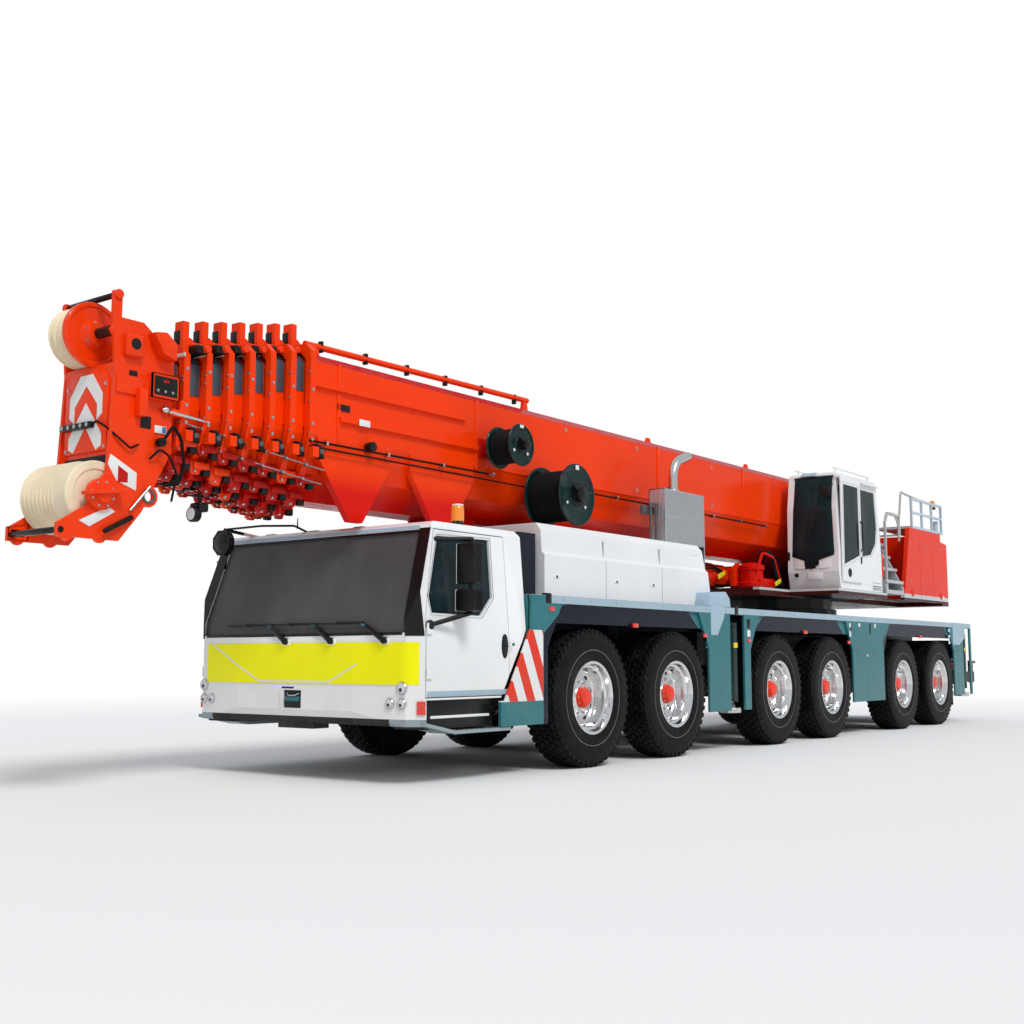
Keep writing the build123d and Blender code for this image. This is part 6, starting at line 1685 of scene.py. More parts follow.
def operator_frames():
    """Seals, wipers, mirror, vents, blank plate and trim of the operator's cab."""
    inner = OP_INNER
    form = Form(seal_black)
    form.add(
        op_patch([
            (inner + 0.015, 2.54), (inner + 0.05, 2.56), (inner + 0.045, 3.68),
            (inner + 0.08, 3.655)], 0.013, 0.006, 3, 24),
        op_patch([
            (OP_SIDE - 0.05, 2.56), (OP_SIDE - 0.015, 2.54), (OP_SIDE - 0.09, 3.655),
            (OP_SIDE - 0.055, 3.68)], 0.013, 0.006, 3, 24),
        op_patch([
            (inner + 0.075, 3.65), (OP_SIDE - 0.085, 3.65), (inner + 0.075, 3.68),
            (OP_SIDE - 0.085, 3.68)], 0.013, 0.006, 20, 2),
        op_patch([
            (inner + 0.26, 2.345), (inner + 0.44, 2.345), (inner + 0.28, 2.38),
            (inner + 0.42, 2.38)], 0.013, 0.006, 8, 2))
    for (ya, za), (yb, zb) in (
        ((inner + 0.035, 2.555), (inner + 0.26, 2.475)),
        ((inner + 0.26, 2.475), (inner + 0.3, 2.37)), ((inner + 0.4, 2.37), (inner + 0.48, 2.475)),
        ((inner + 0.48, 2.475), (OP_SIDE - 0.035, 2.555)),
    ):
        form.add(op_patch([
            (ya, za - 0.014), (yb, zb - 0.014), (ya, za + 0.014), (yb, zb + 0.014),
        ], 0.018, 0.006, 10, 2))
    form.add(framed("y", from_slew(
        (0.145, 2.545), (-0.19, 2.582), (-0.315, 2.668), (-0.415, 2.78), (-0.497, 3.015),
        (-0.497, 3.576), (0.145, 3.576)), OP_SIDE - 0.004, OP_SIDE + 0.003, 0.022), at=OP_TUMBLE)
    form.use(black_plastic)
    for y, lean in ((OP_SIDE - 0.48, 0.1), (OP_SIDE - 0.4, 0.13)):
        foot = Vector((op_nose(y, 2.44) + 0.025, y, 2.44))
        knee = Vector((op_nose(y + lean * 0.5, 2.95) + 0.035, y + lean * 0.5, 2.95))
        tip = Vector((op_nose(y + lean, 3.45) + 0.022, y + lean, 3.45))
        form.add(rod(foot, knee, 0.011, 10), rod(knee, tip, 0.007, 10), cube(
            (tip.x - 0.006, tip.y - 0.006, 2.85), (tip.x + 0.006, tip.y + 0.006, 3.55), 0.002))
    form.add(
        cube((OP_NOSE + 0.03, OP_SIDE - 0.2, 3.36), (OP_NOSE + 0.05, OP_SIDE - 0.08, 3.5), 0.02, 3),
        rod(
            (OP_NOSE - 0.02, OP_SIDE - 0.06, 3.54), (OP_NOSE + 0.04, OP_SIDE - 0.14, 3.48), 0.007,
            10),
        cube((OP_NOSE - 0.01, inner - 0.004, 2.48), (OP_NOSE + 0.006, inner + 0.035, 2.6), 0.006),
        button("x", (inner + 0.13, 2.26), 0.03, -0.01, 0.004, 24, OP_NOSE))
    for i in range(5):
        z = 2.085 + i * 0.024
        form.add(cube(
            (SLEW_X - 0.56, OP_SIDE - 0.004, z), (SLEW_X - 0.22, OP_SIDE + 0.003, z + 0.01), 0.002))
    form.add(
        plate_white, cube(
            (OP_NOSE - 0.012, inner + 0.3, 2.19), (OP_NOSE + 0.004, inner + 0.52, 2.29), 0.003),
        cab_blue, prism("y", [
            (OP_NOSE - 0.15, OP_TOP - 0.01), (OP_NOSE - 0.06, OP_TOP - 0.06),
            (OP_NOSE - 0.05, OP_TOP - 0.045), (OP_NOSE - 0.14, OP_TOP + 0.008),
        ], inner + 0.2, inner + 0.42, 0.004),
        cab_white, cube(
            (OP_BACK - 0.004, inner + 0.09, 2.66), (OP_BACK + 0.002, OP_SIDE - 0.11, 2.7), 0.004))
    form.piece("operator_cab_frames", "upper_works", "cab_white")


def operator_door():
    """Glass, seal, vent and handle of the sliding door."""
    door = Form(cab_glass)
    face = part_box("operator_door")[1][1]
    door.add(
        prism("y", from_slew(
            (0.302, 2.565), (0.868, 2.405), (0.848, 3.548), (0.322, 3.548),
        ), face - 0.014, face - 0.008),
        seal_black, framed(
            "y", from_slew((0.27, 2.535), (0.9, 2.36), (0.88, 3.58), (0.292, 3.58)), face - 0.004,
            face + 0.003, 0.035),
        black_plastic, solid("y", (SLEW_X + 0.7, 2.29), [
            (0.062, 0.0), (0.062, 0.006), (0.05, 0.01), (0.046, 0.004)], 32, face))
    for i in range(4):
        door.add(cube(
            (SLEW_X + 0.655, face + 0.003, 2.262 + i * 0.018),
            (SLEW_X + 0.745, face + 0.008, 2.268 + i * 0.018), 0.001, 1))
    door.add(pipe(
        from_slew(
            (0.262, face, 2.62), (0.262, face + 0.03, 2.66), (0.262, face + 0.03, 3.02),
            (0.262, face, 3.06)),
        0.01,
        0.02,
    ), cube((SLEW_X + 0.245, face - 0.002, 2.44), (SLEW_X + 0.285, face + 0.01, 2.54), 0.008, 3))
    door.piece("operator_door_glass", "operator_door", "interior")


def operator_seat():
    """Seat with arm rests, levers and the console before it."""
    seat = Form(interior)
    mid = OP_SIDE - 0.4
    seat.add(
        cube((SLEW_X, mid - 0.24, 2.5), (SLEW_X + 0.5, mid + 0.24, 2.62), 0.05, 4),
        prism("y", from_slew(
            (-0.08, 2.58), (0.06, 2.58), (-0.04, 3.25), (-0.16, 3.25),
        ), mid - 0.23, mid + 0.23, 0.04, 4),
        cube((SLEW_X + 0.12, mid - 0.15, 2.12), (SLEW_X + 0.38, mid + 0.15, 2.5), 0.02))
    for y in (mid - 0.3, mid + 0.24):
        seat.add(cube((SLEW_X + 0.05, y, 2.62), (SLEW_X + 0.5, y + 0.07, 2.72), 0.02, 3), rod(
            (SLEW_X + 0.44, y + 0.035, 2.72), (SLEW_X + 0.46, y + 0.035, 2.86), 0.014, 12,
            tip=0.022))
    seat.add(prism("y", from_slew(
        (0.78, 2.12), (0.9, 2.12), (0.86, 2.78), (0.76, 2.74)), mid - 0.14, mid + 0.14, 0.02))
    seat.piece("operator_seat", "upper_works", "interior")


def upper_fittings():
    """Extinguisher, rails, beacon and the treads of the steps."""
    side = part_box("access_ladder")[1][1]
    form = Form(hub_red)
    x = SLEW_X - 0.7
    form.add(
        solid("z", (x, side - 0.06), [
            (0.052, 2.3), (0.058, 2.32), (0.058, 2.6), (0.045, 2.65), (0.02, 2.67)], 28),
        black_plastic, cube((x - 0.03, side - 0.085, 2.665), (x + 0.03, side - 0.035, 2.72), 0.01),
        cube((x - 0.065, side - 0.13, 2.42), (x + 0.065, side - 0.02, 2.45), 0.006))
    form.use(stair_blue)
    rise = (3.29 - 2.063) / 6
    run = (side - 0.76) / 7
    for step in range(5):
        z = 2.063 + rise * (step + 1)
        near = side - run * step
        for x in spread(SLEW_X - 1.5, SLEW_X - 0.86, 14):
            form.add(cube(
                (x - 0.006, near - 0.25, z - 0.002), (x + 0.006, near - 0.008, z + 0.004), 0.001, 1,
            ))
        form.add(cube(
            (SLEW_X - 1.52, near - 0.012, z - 0.045), (SLEW_X - 0.83, near + 0.004, z + 0.003),
            0.004))
    form.use(cab_blue)
    for x in spread(SLEW_X - 3.4, SLEW_X - 2.1, 22):
        form.add(cube((x - 0.006, side - 0.56, 3.197), (x + 0.006, side - 0.02, 3.206), 0.001, 1))
    form.add(
        bright_steel, pipe(from_slew(
            (-1.5, side - 0.03, 3.2), (-1.62, side - 0.03, 3.7), (-2.3, side - 0.04, 3.66),
            (-3.46, side - 0.04, 3.64)), 0.018, 0.08),
        pipe(from_slew(
            (-0.86, side - 0.018, 2.2), (-0.86, side - 0.018, 3.16), (-0.98, side - 0.018, 3.31),
            (-1.3, side - 0.018, 3.31), (-1.44, side - 0.018, 3.16), (-1.44, side - 0.018, 2.9),
        ), 0.019, 0.08),
        amber, turned("z", (SLEW_X - 3.36, side - 0.12), [
            (0.0, 3.62), (0.042, 3.62), (0.042, 3.7), (0.034, 3.735), (0.0, 3.745)], 24),
        black_plastic, solid(
            "z", (SLEW_X - 3.36, side - 0.12), [(0.05, 3.59), (0.05, 3.615), (0.042, 3.625)], 24))
    form.piece("stair_fittings", "upper_works", "bare_aluminium")


def ballast_fittings():
    """Seams, lifting blocks, bolts and rear plugs of the counterweight."""
    weight = Form(deep_red)
    low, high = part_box("counterweight")
    outer = high[1]
    weight.use(deep_red)
    for x in (-2.35, -2.95):
        weight.add(cube(
            (SLEW_X + x - 0.003, outer - 0.004, 2.02), (SLEW_X + x + 0.003, outer + 0.0015, 3.12),
            0.0005, 1), at=BOTH_SIDES)
    weight.use(upper_trim)
    for x in (-1.95, -3.3):
        weight.add(cube(
            (SLEW_X + x - 0.05, outer - 0.01, 2.06), (SLEW_X + x + 0.05, outer + 0.012, 2.16),
            0.012, 3), at=BOTH_SIDES)
    weight.add(plate_white, cube(
        (SLEW_X - 3.45, outer, 2.045), (SLEW_X - 3.36, outer + 0.004, 2.11), 0.002), at=BOTH_SIDES)
    for x in (-1.9, -2.6, -3.3):
        for side in (-1, 1):
            weight.add(bright_steel, *bolts([
                (SLEW_X + x, side * (outer + 0.001), z) for z in (2.3, 2.9)
            ], (0, side, 0), 0.014, 0.01))
    rear = low[0]
    for y in (-0.95, -0.35, 0.35, 0.95):
        weight.add(cube((rear, y - 0.003, 2.0), (rear + 0.004, y + 0.003, 2.95), 0.0005, 1))
    weight.use(black_plastic)
    for y in (-1.15, 1.15):
        weight.add(turned("x", (y, 2.55), [
            (0.0, 0.002), (0.06, 0.002), (0.055, 0.002), (0.0, 0.006)], 24, rear))
    weight.piece("ballast_fittings", "upper_works", "boom_red")


def luffing_barrel():
    """Collars, gland bolts, hoses and tag of the luffing cylinder."""
    form = Form(upper_trim)
    pin_a = Vector(BARREL_FOOT)
    lean = (Vector(ROD_EYE) - pin_a).normalized()
    end = pin_a + lean * BARREL_LENGTH
    form.add(
        rod(end - lean * 0.3, end + lean * 0.01, 0.178, 48, 0.008),
        rod(pin_a + lean * 0.42, pin_a + lean * 0.6, 0.176, 48, 0.008))
    form.use(bright_steel)
    for i in range(GLAND_BOLTS):
        a = math.tau * i / GLAND_BOLTS
        place = end + Vector((0, math.cos(a), math.sin(a))) * 0.145
        form.add(bolt(place, lean, 0.013, 0.024))
    form.use(rubber)
    for y, z in ((0.155, 2.33), (0.175, 2.29)):
        form.add(pipe([
            (pin_a.x + 0.25, y, z - 0.05), (pin_a.x + 0.6, y + 0.02, z + 0.02),
            (pin_a.x + 1.6, y + 0.01, z + 0.02), (end.x - 0.5, y + 0.01, z + 0.03),
            (end.x - 0.3, y, z)], 0.014, 0.1))
    form.add(
        tag_yellow, cube((pin_a.x + 0.34, 0.215, 2.2), (pin_a.x + 0.56, 0.228, 2.265), 0.004),
        at=turn_about((pin_a.x + 0.45, 0.22, 2.23), "y", 0.35))
    form.piece("luffing_barrel_fittings", "luffing_barrel", "boom_red")


def drum_middle():
    """Place of the hoist drum's axis along and up."""
    low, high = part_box("hoist_drum")
    return (middle_of(low[0], high[0]), middle_of(low[2], high[2]))


def hoist_rope():
    """Rope wound on the hoist drum."""
    rope = Form(rope_steel)
    profile = [(DRUM_CORE, -ROPE_HALF)]
    for i in range(ROPE_TURNS):
        y = -ROPE_HALF + i * ROPE_PITCH
        profile += [(0.216, y + 0.003), (0.222, y + 0.011), (0.216, y + 0.0195)]
    profile += [(DRUM_CORE, ROPE_HALF), (DRUM_CORE, -ROPE_HALF)]
    rope.add(turned("y", drum_middle(), profile, 56))
    rope.piece("hoist_rope", "hoist_drum", "axle_grey")


def upper_machinery():
    """Pivot and drum covers, motors, hoses and the turning joint on the slewing floor."""
    gear = Form(upper_trim)
    for side in (-1, 1):
        gear.add(
            solid("y", BOOM_PIVOT, [
                (0.12, side * 0.628), (0.12, side * 0.652), (0.095, side * 0.664)], 40),
            solid("y", drum_middle(), [
                (0.17, side * 0.628), (0.17, side * 0.668), (0.15, side * 0.69)], 40),
            bright_steel, *bolts([
                (
                    BOOM_PIVOT[0] + math.cos(a) * 0.085, side * 0.66,
                    BOOM_PIVOT[1] + math.sin(a) * 0.085) for a in spread(0, 5.2, 6)
            ], (0, side, 0), 0.012, 0.012))
        gear.use(upper_trim)
    gear.use(black_paint)
    for y in (-0.3, 0.3):
        gear.add(cube((SLEW_X - 0.75, y - 0.16, 2.062), (SLEW_X - 0.15, y + 0.16, 2.28), 0.03, 3))
    gear.use(rubber)
    for y in (-0.42, -0.36, 0.36, 0.42):
        gear.add(pipe(from_slew(
            (-0.7, y, 2.24), (-0.1, y, 2.3), (0.9, y * 0.9, 2.09), (1.5, y * 0.8, 2.09),
        ), 0.014, 0.15))
    gear.use(boom_red)
    hub = SLEW_X + 1.62
    gear.add(turned("z", (hub, 0.42), [
        (0.0, 2.05), (0.2, 2.05), (0.21, 2.08), (0.21, 2.13), (0.17, 2.15), (0.16, 2.3),
        (0.18, 2.32), (0.18, 2.38), (0.12, 2.42), (0.0, 2.43),
    ], 40), cube((hub - 0.34, 0.34, 2.04), (hub + 0.1, 0.62, 2.2), 0.03, 3))
    gear.use(rubber)
    for i in range(4):
        gear.add(pipe([
            (hub + 0.08 - i * 0.07, 0.5, 2.36), (hub + 0.02 - i * 0.07, 0.58, 2.6),
            (hub - 0.2 - i * 0.06, 0.62, 2.52), (hub - 0.36 - i * 0.05, 0.66, 2.1)], 0.013, 0.1))
    gear.add(boom_red, pipe([
        (hub + 0.12, 0.56, 2.3), (hub + 0.02, 0.6, 2.56), (hub - 0.3, 0.62, 2.5),
        (hub - 0.42, 0.64, 2.2)], 0.022, 0.12))
    gear.add(
        tag_yellow, cube((hub - 0.42, 0.66, 2.12), (hub - 0.22, 0.675, 2.18), 0.004),
        at=turn_about((hub - 0.32, 0.66, 2.15), "y", 0.35))
    gear.piece("upper_machinery", "upper_works", "boom_red")


engine_cover_details()
exhaust()
operator_glass()
operator_frames()
operator_door()
operator_seat()
upper_fittings()
ballast_fittings()
luffing_barrel()
hoist_rope()
upper_machinery()


# ---- Carrier ----
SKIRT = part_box("deck_fenders")[1][1]
AXLES = [ahead(x) for x in (0.0, -1.65, -4.23, -5.88, -8.6, -10.25)]


def deck_details():
    """Brackets, latches, lamps, plates, bolts and slats of the deck and its skirts."""
    form = Form(cab_blue)
    for side, flip in SIDES:
        form.add(cab_blue, prism("y", from_axle(
            (-2.98, DECK_TOP), (-2.42, DECK_TOP), (-2.48, 1.84), (-2.86, 1.86), (-2.96, 1.78),
        ), 1.18, SKIRT - 0.004, 0.012), at=flip)
        if side > 0:
            form.add(prism("y", from_axle(
                (-2.46, 1.34), (-2.46, DECK_TOP + 0.01), (-2.82, DECK_TOP + 0.01), (-2.78, 1.55),
                (-2.62, 1.34)), SKIRT - 0.02, SKIRT + 0.008, 0.006))
        form.add(
            prism("y", from_axle(
                (-10.98, 1.3), (-10.98, DECK_TOP + 0.006), (-11.5, DECK_TOP + 0.006), (-11.6, 1.6),
                (-11.6, 1.42), (-11.3, 1.3)), SKIRT - 0.05, SKIRT + 0.01, 0.02, 3),
            black_paint, cube(
                (ahead(0.7), SKIRT - 0.05, DECK_TOP - 0.08),
                (ahead(0.8), SKIRT + 0.004, DECK_TOP + 0.02), 0.008),
            cube(
                (ahead(-3.16), SKIRT - 0.06, DECK_TOP - 0.09),
                (ahead(-3.06), SKIRT + 0.003, DECK_TOP + 0.025), 0.008),
            cube((ahead(-6.62), SKIRT - 0.01, 1.44), (ahead(-6.585), SKIRT + 0.003, 1.56), 0.004),
            cube(
                (ahead(-3.42) - 0.045, SKIRT - 0.004, 1.44),
                (ahead(-3.42) + 0.045, SKIRT + 0.004, 1.55), 0.004),
            cube((ahead(-7.34), SKIRT - 0.01, 1.43), (ahead(-7.28), SKIRT + 0.004, 1.58), 0.02, 3),
            at=flip)
        form.use(plate_white)
        for x, z, wide, tall in (
            (-3.42, 1.375, 0.08, 0.08), (-6.56, 1.54, 0.06, 0.06), (-6.56, 1.42, 0.06, 0.08),
            (-6.9, 1.55, 0.07, 0.05), (-7.5, 1.55, 0.05, 0.06), (-10.8, 1.54, 0.07, 0.05),
            (-10.8, 1.44, 0.07, 0.05), (-10.8, 1.34, 0.07, 0.05),
        ):
            form.add(cube(
                (ahead(x) - wide / 2, SKIRT - 0.004, z - tall / 2),
                (ahead(x) + wide / 2, SKIRT + 0.004, z + tall / 2), 0.003), at=flip)
        form.use(red_lens)
        for x, z in ((0.7, 1.545), (-2.32, 1.335), (-3.42, 1.29), (-6.5, 1.3)):
            form.add(cube(
                (ahead(x) - 0.045, SKIRT - 0.004, z - 0.022),
                (ahead(x) + 0.045, SKIRT + 0.01, z + 0.022), 0.006), at=flip)
        for x in (-0.82, -5.06, -9.42):
            form.add(cube(
                (ahead(x) - 0.05, SKIRT - 0.02, 1.395), (ahead(x) + 0.05, SKIRT + 0.006, 1.44),
                0.006), at=flip)
        form.use(panel_teal)
        for x in (1.3, -2.36, -2.75, -6.76, -7.46, -11.2):
            form.add(bar("y", (ahead(x), 1.2), SKIRT - 0.01, SKIRT + 0.004, 0.014, 10), at=flip)
        form.add(
            cube(
                (ahead(-7.16), SKIRT - 0.004, 0.62), (ahead(-7.15), SKIRT + 0.0012, 1.54), 0.0005,
                1),
            bright_steel, cube(
                (ahead(-7.2), SKIRT, 1.1), (ahead(-7.11), SKIRT + 0.01, 1.14), 0.004),
            at=flip)
        for x in spread(ahead(-11.4), ahead(0.5), 26):
            form.add(bolt(
                (x, side * (SKIRT - 0.001), DECK_TOP - 0.038), (0, side, 0), 0.007, 0.005))
    for x in spread(ahead(-11.8), ahead(-3.4), 30):
        form.add(steel_grey, cube(
            (x - 0.045, 0.96, DECK_TOP - 0.002), (x + 0.045, 1.4, DECK_TOP + 0.006), 0.002, 1,
        ), at=BOTH_SIDES)
    form.piece("deck_fittings", "carrier", "fender_teal")


def deck_steps():
    """Teal boxes behind the doors and rungs under the skirts."""
    steps = Form(panel_teal)
    steps.add(panel_teal, cube(
        (ahead(0.83), 1.1, 1.2), (ahead(1.03), 1.44, 1.672), 0.01), at=BOTH_SIDES)
    steps.use(stair_blue)
    for z in (0.62, 0.9):
        steps.add(cube((ahead(-7.42), 1.2, z), (ahead(-6.82), 1.4, z + 0.03), 0.005), at=BOTH_SIDES)
    steps.piece("deck_steps", "carrier", "fender_teal")


def rear_details():
    """Mud flaps, striped boards, lamps, rails and hitch at the rear end."""
    rear = CARRIER_REAR
    form = Form(black_paint)
    form.add(
        rubber, prism("y", from_axle(
            (-10.94, 0.3), (-10.91, 0.3), (-10.88, 1.05), (-10.91, 1.05)), 1.12, 1.47, 0.006),
        black_paint, cube((ahead(-10.97), 1.1, 1.03), (ahead(-10.87), 1.48, 1.08), 0.006),
        bar("y", (ahead(-10.92), 1.055), 0.9, 1.46, 0.022, 16),
        chevron_white, cube((ahead(-11.99), 0.98, 0.86), (ahead(-11.965), 1.28, 1.26), 0.006),
        at=BOTH_SIDES)
    form.use(hub_red)
    for i in range(3):
        z = 0.87 + i * 0.135
        form.add(prism("x", [
            (0.985, z), (1.275, z + 0.075), (1.275, z + 0.135), (0.985, z + 0.06),
        ], ahead(-11.995), ahead(-11.962), 0.001, 1), at=BOTH_SIDES)
    form.add(black_plastic, cube(
        (ahead(-12.02), 0.7, 0.92), (ahead(-11.96), 0.95, 1.1), 0.012, 3), at=BOTH_SIDES)
    form.use(red_lens)
    for y in (0.75, 0.83):
        form.add(turned("x", (y, 1.01), [
            (0.0, -12.02), (0.034, -12.02), (0.03, -12.034), (0.0, -12.038),
        ], 20, AXLE_1), at=BOTH_SIDES)
    form.add(
        amber, turned("x", (0.91, 1.01), [
            (0.0, -12.02), (0.03, -12.02), (0.026, -12.034), (0.0, -12.038)], 20, AXLE_1),
        black_paint, pipe(from_axle(
            (-11.98, 1.1, 1.3), (-12.4, 1.1, 1.3), (-12.7, 1.1, 1.24), (-12.72, 1.1, 1.3),
        ), 0.022, 0.06),
        pipe(from_axle((-11.98, 0.9, 0.75), (-12.3, 0.9, 0.75), (-12.45, 0.7, 0.75)), 0.02, 0.06),
        at=BOTH_SIDES)
    form.add(bright_steel, turned("z", (rear + 0.17, 0), [
        (0.0, 0.9), (0.03, 0.9), (0.042, 0.93), (0.04, 0.955), (0.0, 0.96)], 24))
    form.use(rubber)
    for y in (-0.35, 0.32, 0.42):
        form.add(solid("x", (y, 0.98), [
            (0.035, -11.98), (0.035, -12.03), (0.025, -12.04)], 16, AXLE_1))
    form.piece("rear_fittings", "carrier", "frame_dark")


def running_gear():
    """Drive line, suspension cylinders and brake chambers at the axles."""
    form = Form(axle_grey)
    for x in AXLES:
        form.add(axle_grey, turned("x", (0.0, 0.685), [
            (0.0, -0.21), (0.1, -0.2), (0.17, -0.12), (0.195, 0.0), (0.17, 0.12), (0.09, 0.22),
            (0.07, 0.27), (0.0, 0.27)], 28, x))
        for side in (-1, 1):
            y = side * 0.62
            form.add(
                axle_grey, bar("z", (x - 0.15, y), 0.78, 1.22, 0.075, 24, 0.006),
                solid("x", (side * 0.8, 0.86), [
                    (0.075, 0.1), (0.085, 0.13), (0.085, 0.19), (0.075, 0.22)], 24, x),
                rod((x + 0.03, side * 0.35, 0.6), (x + 0.1, side * 0.93, 0.6), 0.022, 12),
                bright_steel, bar("z", (x - 0.15, y), 0.7, 0.8, 0.042, 20),
                rubber, pipe([
                    (x + 0.16, side * 0.8, 0.94), (x + 0.18, side * 0.72, 1.1),
                    (x + 0.05, side * 0.6, 1.24)], 0.012, 0.05))
    for a, b in zip(AXLES, AXLES[1:]):
        form.add(axle_grey, bar("x", (0, 0.69), a - 0.26, b + 0.3, 0.045, 20))
        for x in (a - 0.3, b + 0.34):
            form.add(bar(
                "x", (0, 0.69), x - 0.05, x + 0.05, 0.075, 20, 0.006,
            ), bar("y", (x, 0.69), -0.07, 0.07, 0.028, 12))
    form.piece("running_gear", "carrier", "axle_grey")


def frame_tanks():
    """Air tanks with straps, a cross box, and pipes along the frame."""
    tanks = Form(black_paint)
    for x0, x1 in ((-3.28, -2.62), (-7.62, -6.86)):
        for side in (-1, 1):
            y = side * 0.97
            tanks.add(black_paint, turned("x", (y, 0.78), [
                (0.0, ahead(x0)), (0.09, ahead(x0) + 0.01), (0.13, ahead(x0) + 0.06),
                (0.13, ahead(x1) - 0.06), (0.09, ahead(x1) - 0.01), (0.0, ahead(x1))], 32))
            tanks.use(bright_steel)
            for x in (ahead(x0) + 0.14, ahead(x1) - 0.14):
                tanks.add(turned(
                    "x", (y, 0.78), ring(0.129, 0.1325, -0.018, 0.018), 32, x,
                ), bar("z", (x, y), 0.9, 1.0, 0.01, 8))
    tanks.add(steel_grey, cube((ahead(-0.95), -0.42, 0.98), (ahead(-0.45), 0.42, 1.12), 0.03, 3))
    tanks.use(rubber)
    for y in (-0.34, -0.3, 0.3, 0.34):
        tanks.add(pipe(from_axle(
            (-11.4, y, 1.1), (-8.0, y, 1.02), (-3.9, y, 1.02), (0.3, y, 1.02)), 0.011, 0.2))
    tanks.piece("frame_tanks", "carrier", "frame_dark")


def outrigger_jacks():
    """Jack tubes and foot pads at the four outriggers."""
    for corner in ("front_left", "rear_left", "front_right", "rear_right"):
        body = "outrigger_foot_" + corner
        low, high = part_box(body)
        side = 1 if high[1] > 0 else -1
        x = middle_of(low[0], high[0])
        y = middle_of(low[1], high[1])
        foot = Form(steel_grey)
        foot.add(
            solid("z", (x, y), [
                (0.124, 0.428), (0.13, 0.436), (0.13, 0.458), (0.118, 0.474), (0.075, 0.492),
                (0.066, 0.53), (0.052, 0.545)], 40),
            bright_steel, *bolts([
                (x + math.cos(a) * 0.095, y + math.sin(a) * 0.095, 0.468)
                for a in spread(0.3, 5.0, 4)], "z", 0.01, 0.012))
        foot.piece(body + "_pad", body, "axle_grey")
        beam = body.replace("foot", "beam")
        jack = Form(black_paint)
        jack.add(
            turned("z", (x, y), [
                (0.0, 0.562), (0.088, 0.562), (0.103, 0.572), (0.103, 0.64), (0.096, 0.65),
                (0.096, 1.42), (0.104, 1.43), (0.104, 1.47), (0.09, 1.497), (0.0, 1.499)], 40),
            rubber, pipe([
                (x + 0.11, y, 1.4), (x + 0.125, y, 1.2), (x + 0.115, y, 0.7)], 0.01, 0.05),
            tag_yellow, cube(
                (x - 0.05, y + side * 0.1, 1.2), (x + 0.05, y + side * 0.1035, 1.26), 0.001, 1))
        jack.piece(beam + "_jack", beam, "frame_dark")


deck_details()
deck_steps()
rear_details()
running_gear()
frame_tanks()
outrigger_jacks()


# ---- Stage, light and camera ----
CAMERA_BEARING = math.radians(37.39)
CAMERA_TILT = math.radians(6.7)
CAMERA_PLACE = Vector((14.294, 8.473, 1.07))
CAMERA_LENS = 43.9
FLOOR_SIZE = 400.0
FADE_START = 11.0
FADE_END = 24.0

SKY_COLOUR = (0.93, 0.96, 1.0, 1)
SKY_STRENGTH = 0.62
KEY_WAY = Vector((-0.35, -0.85, -1.0))
KEY_STRENGTH = 1.7
KEY_SPREAD = math.radians(18)


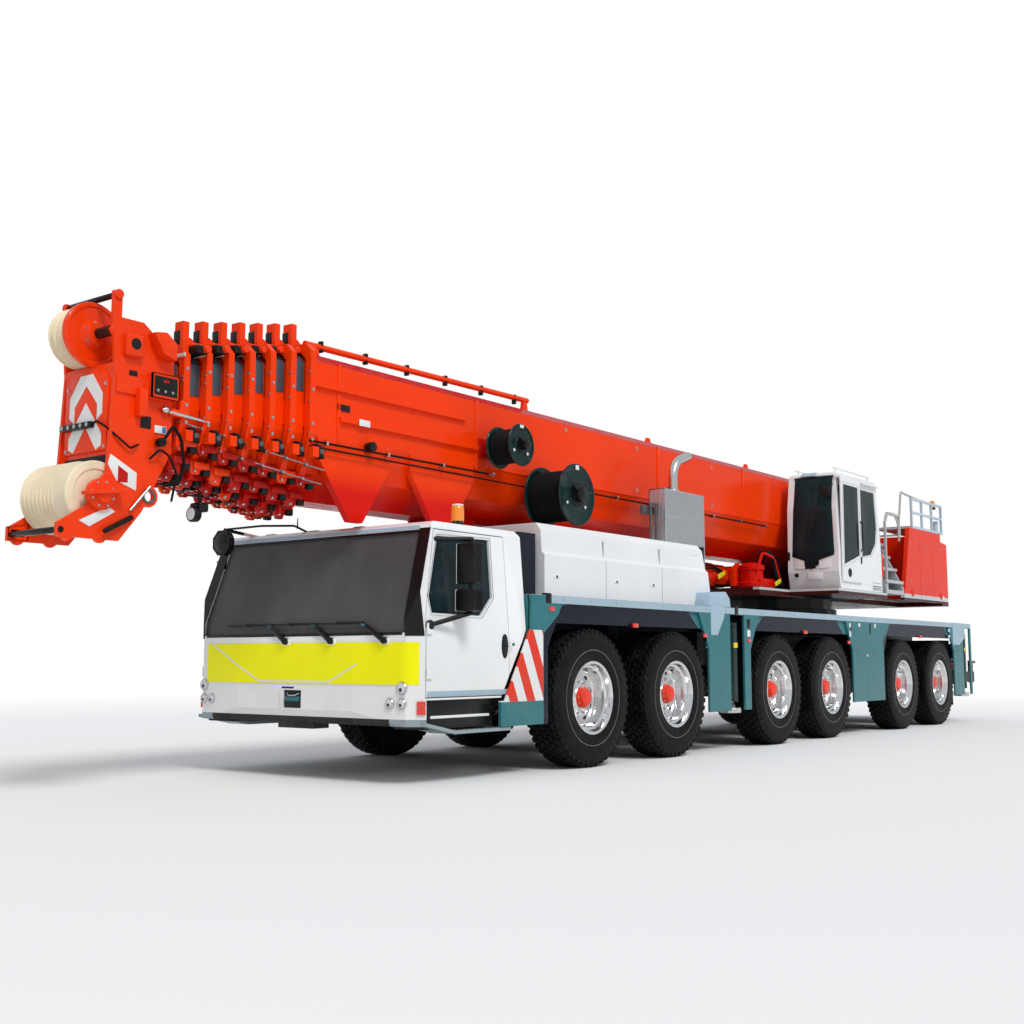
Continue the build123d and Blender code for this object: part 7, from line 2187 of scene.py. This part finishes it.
def stage_floor():
    """Pale floor that fades to white far from the crane, only as the camera sees it."""
    bm = bmesh.new()
    bmesh.ops.create_grid(bm, x_segments=2, y_segments=2, size=FLOOR_SIZE / 2)
    mesh = bpy.data.meshes.new("floor")
    bm.to_mesh(mesh)
    bm.free()
    floor = bpy.data.objects.new("floor", mesh)
    bpy.context.scene.collection.objects.link(floor)
    f = Finish("studio_floor")
    tree = f.tree
    f.done(Base_Color=(0.86, 0.86, 0.86), Roughness=0.9, Specular_IOR_Level=0.0)
    reach = f.node("ShaderNodeVectorMath", {"operation": "LENGTH"}, {0: f.place}).outputs["Value"]
    far = f.band(Field(f, reach), FADE_START, FADE_END)
    seen = f.node("ShaderNodeLightPath").outputs
    glow = f.node("ShaderNodeEmission", None, {"Color": (1, 1, 1), "Strength": 1.0})
    mask = far * Field(f, seen["Is Camera Ray"])
    mixed = f.node("ShaderNodeMixShader", None, {
        0: mask, 1: f.shader.outputs[0], 2: glow.outputs[0]})
    tree.links.new(mixed.outputs[0], tree.nodes["Material Output"].inputs["Surface"])
    mesh.materials.append(f.material)


def studio_light():
    """Even sky for the light, white for the camera, and a broad sun."""
    world = bpy.data.worlds.new("studio")
    bpy.context.scene.world = world
    world.use_nodes = True
    tree = world.node_tree
    light = tree.nodes["Background"]
    light.inputs["Color"].default_value = SKY_COLOUR
    light.inputs["Strength"].default_value = SKY_STRENGTH
    backdrop = tree.nodes.new("ShaderNodeBackground")
    backdrop.inputs["Color"].default_value = (1, 1, 1, 1)
    seen = tree.nodes.new("ShaderNodeLightPath")
    either = tree.nodes.new("ShaderNodeMath")
    either.operation = "MAXIMUM"
    mixed = tree.nodes.new("ShaderNodeMixShader")
    for start, end in (
        (seen.outputs["Is Camera Ray"], either.inputs[0]),
        (seen.outputs["Is Transmission Ray"], either.inputs[1]),
        (either.outputs[0], mixed.inputs[0]), (light.outputs[0], mixed.inputs[1]),
        (backdrop.outputs[0], mixed.inputs[2]),
        (mixed.outputs[0], tree.nodes["World Output"].inputs["Surface"]),
    ):
        tree.links.new(start, end)
    sun = bpy.data.lights.new("key", "SUN")
    sun.energy = KEY_STRENGTH
    sun.angle = KEY_SPREAD
    key = bpy.data.objects.new("key", sun)
    key.rotation_euler = KEY_WAY.to_track_quat("-Z", "Y").to_euler()
    bpy.context.scene.collection.objects.link(key)


def place_camera():
    """Camera of the main view."""
    camera_data = bpy.data.cameras.new("view")
    camera_data.lens = CAMERA_LENS
    camera_data.sensor_width = 36.0
    camera = bpy.data.objects.new("view", camera_data)
    way = Vector((
        -math.cos(CAMERA_BEARING) * math.cos(CAMERA_TILT),
        -math.sin(CAMERA_BEARING) * math.cos(CAMERA_TILT), math.sin(CAMERA_TILT)))
    camera.location = CAMERA_PLACE
    camera.rotation_euler = way.to_track_quat("-Z", "Y").to_euler()
    bpy.context.scene.collection.objects.link(camera)
    bpy.context.scene.camera = camera


stage_floor()
studio_light()
place_camera()
bpy.context.scene.view_settings.view_transform = "Standard"
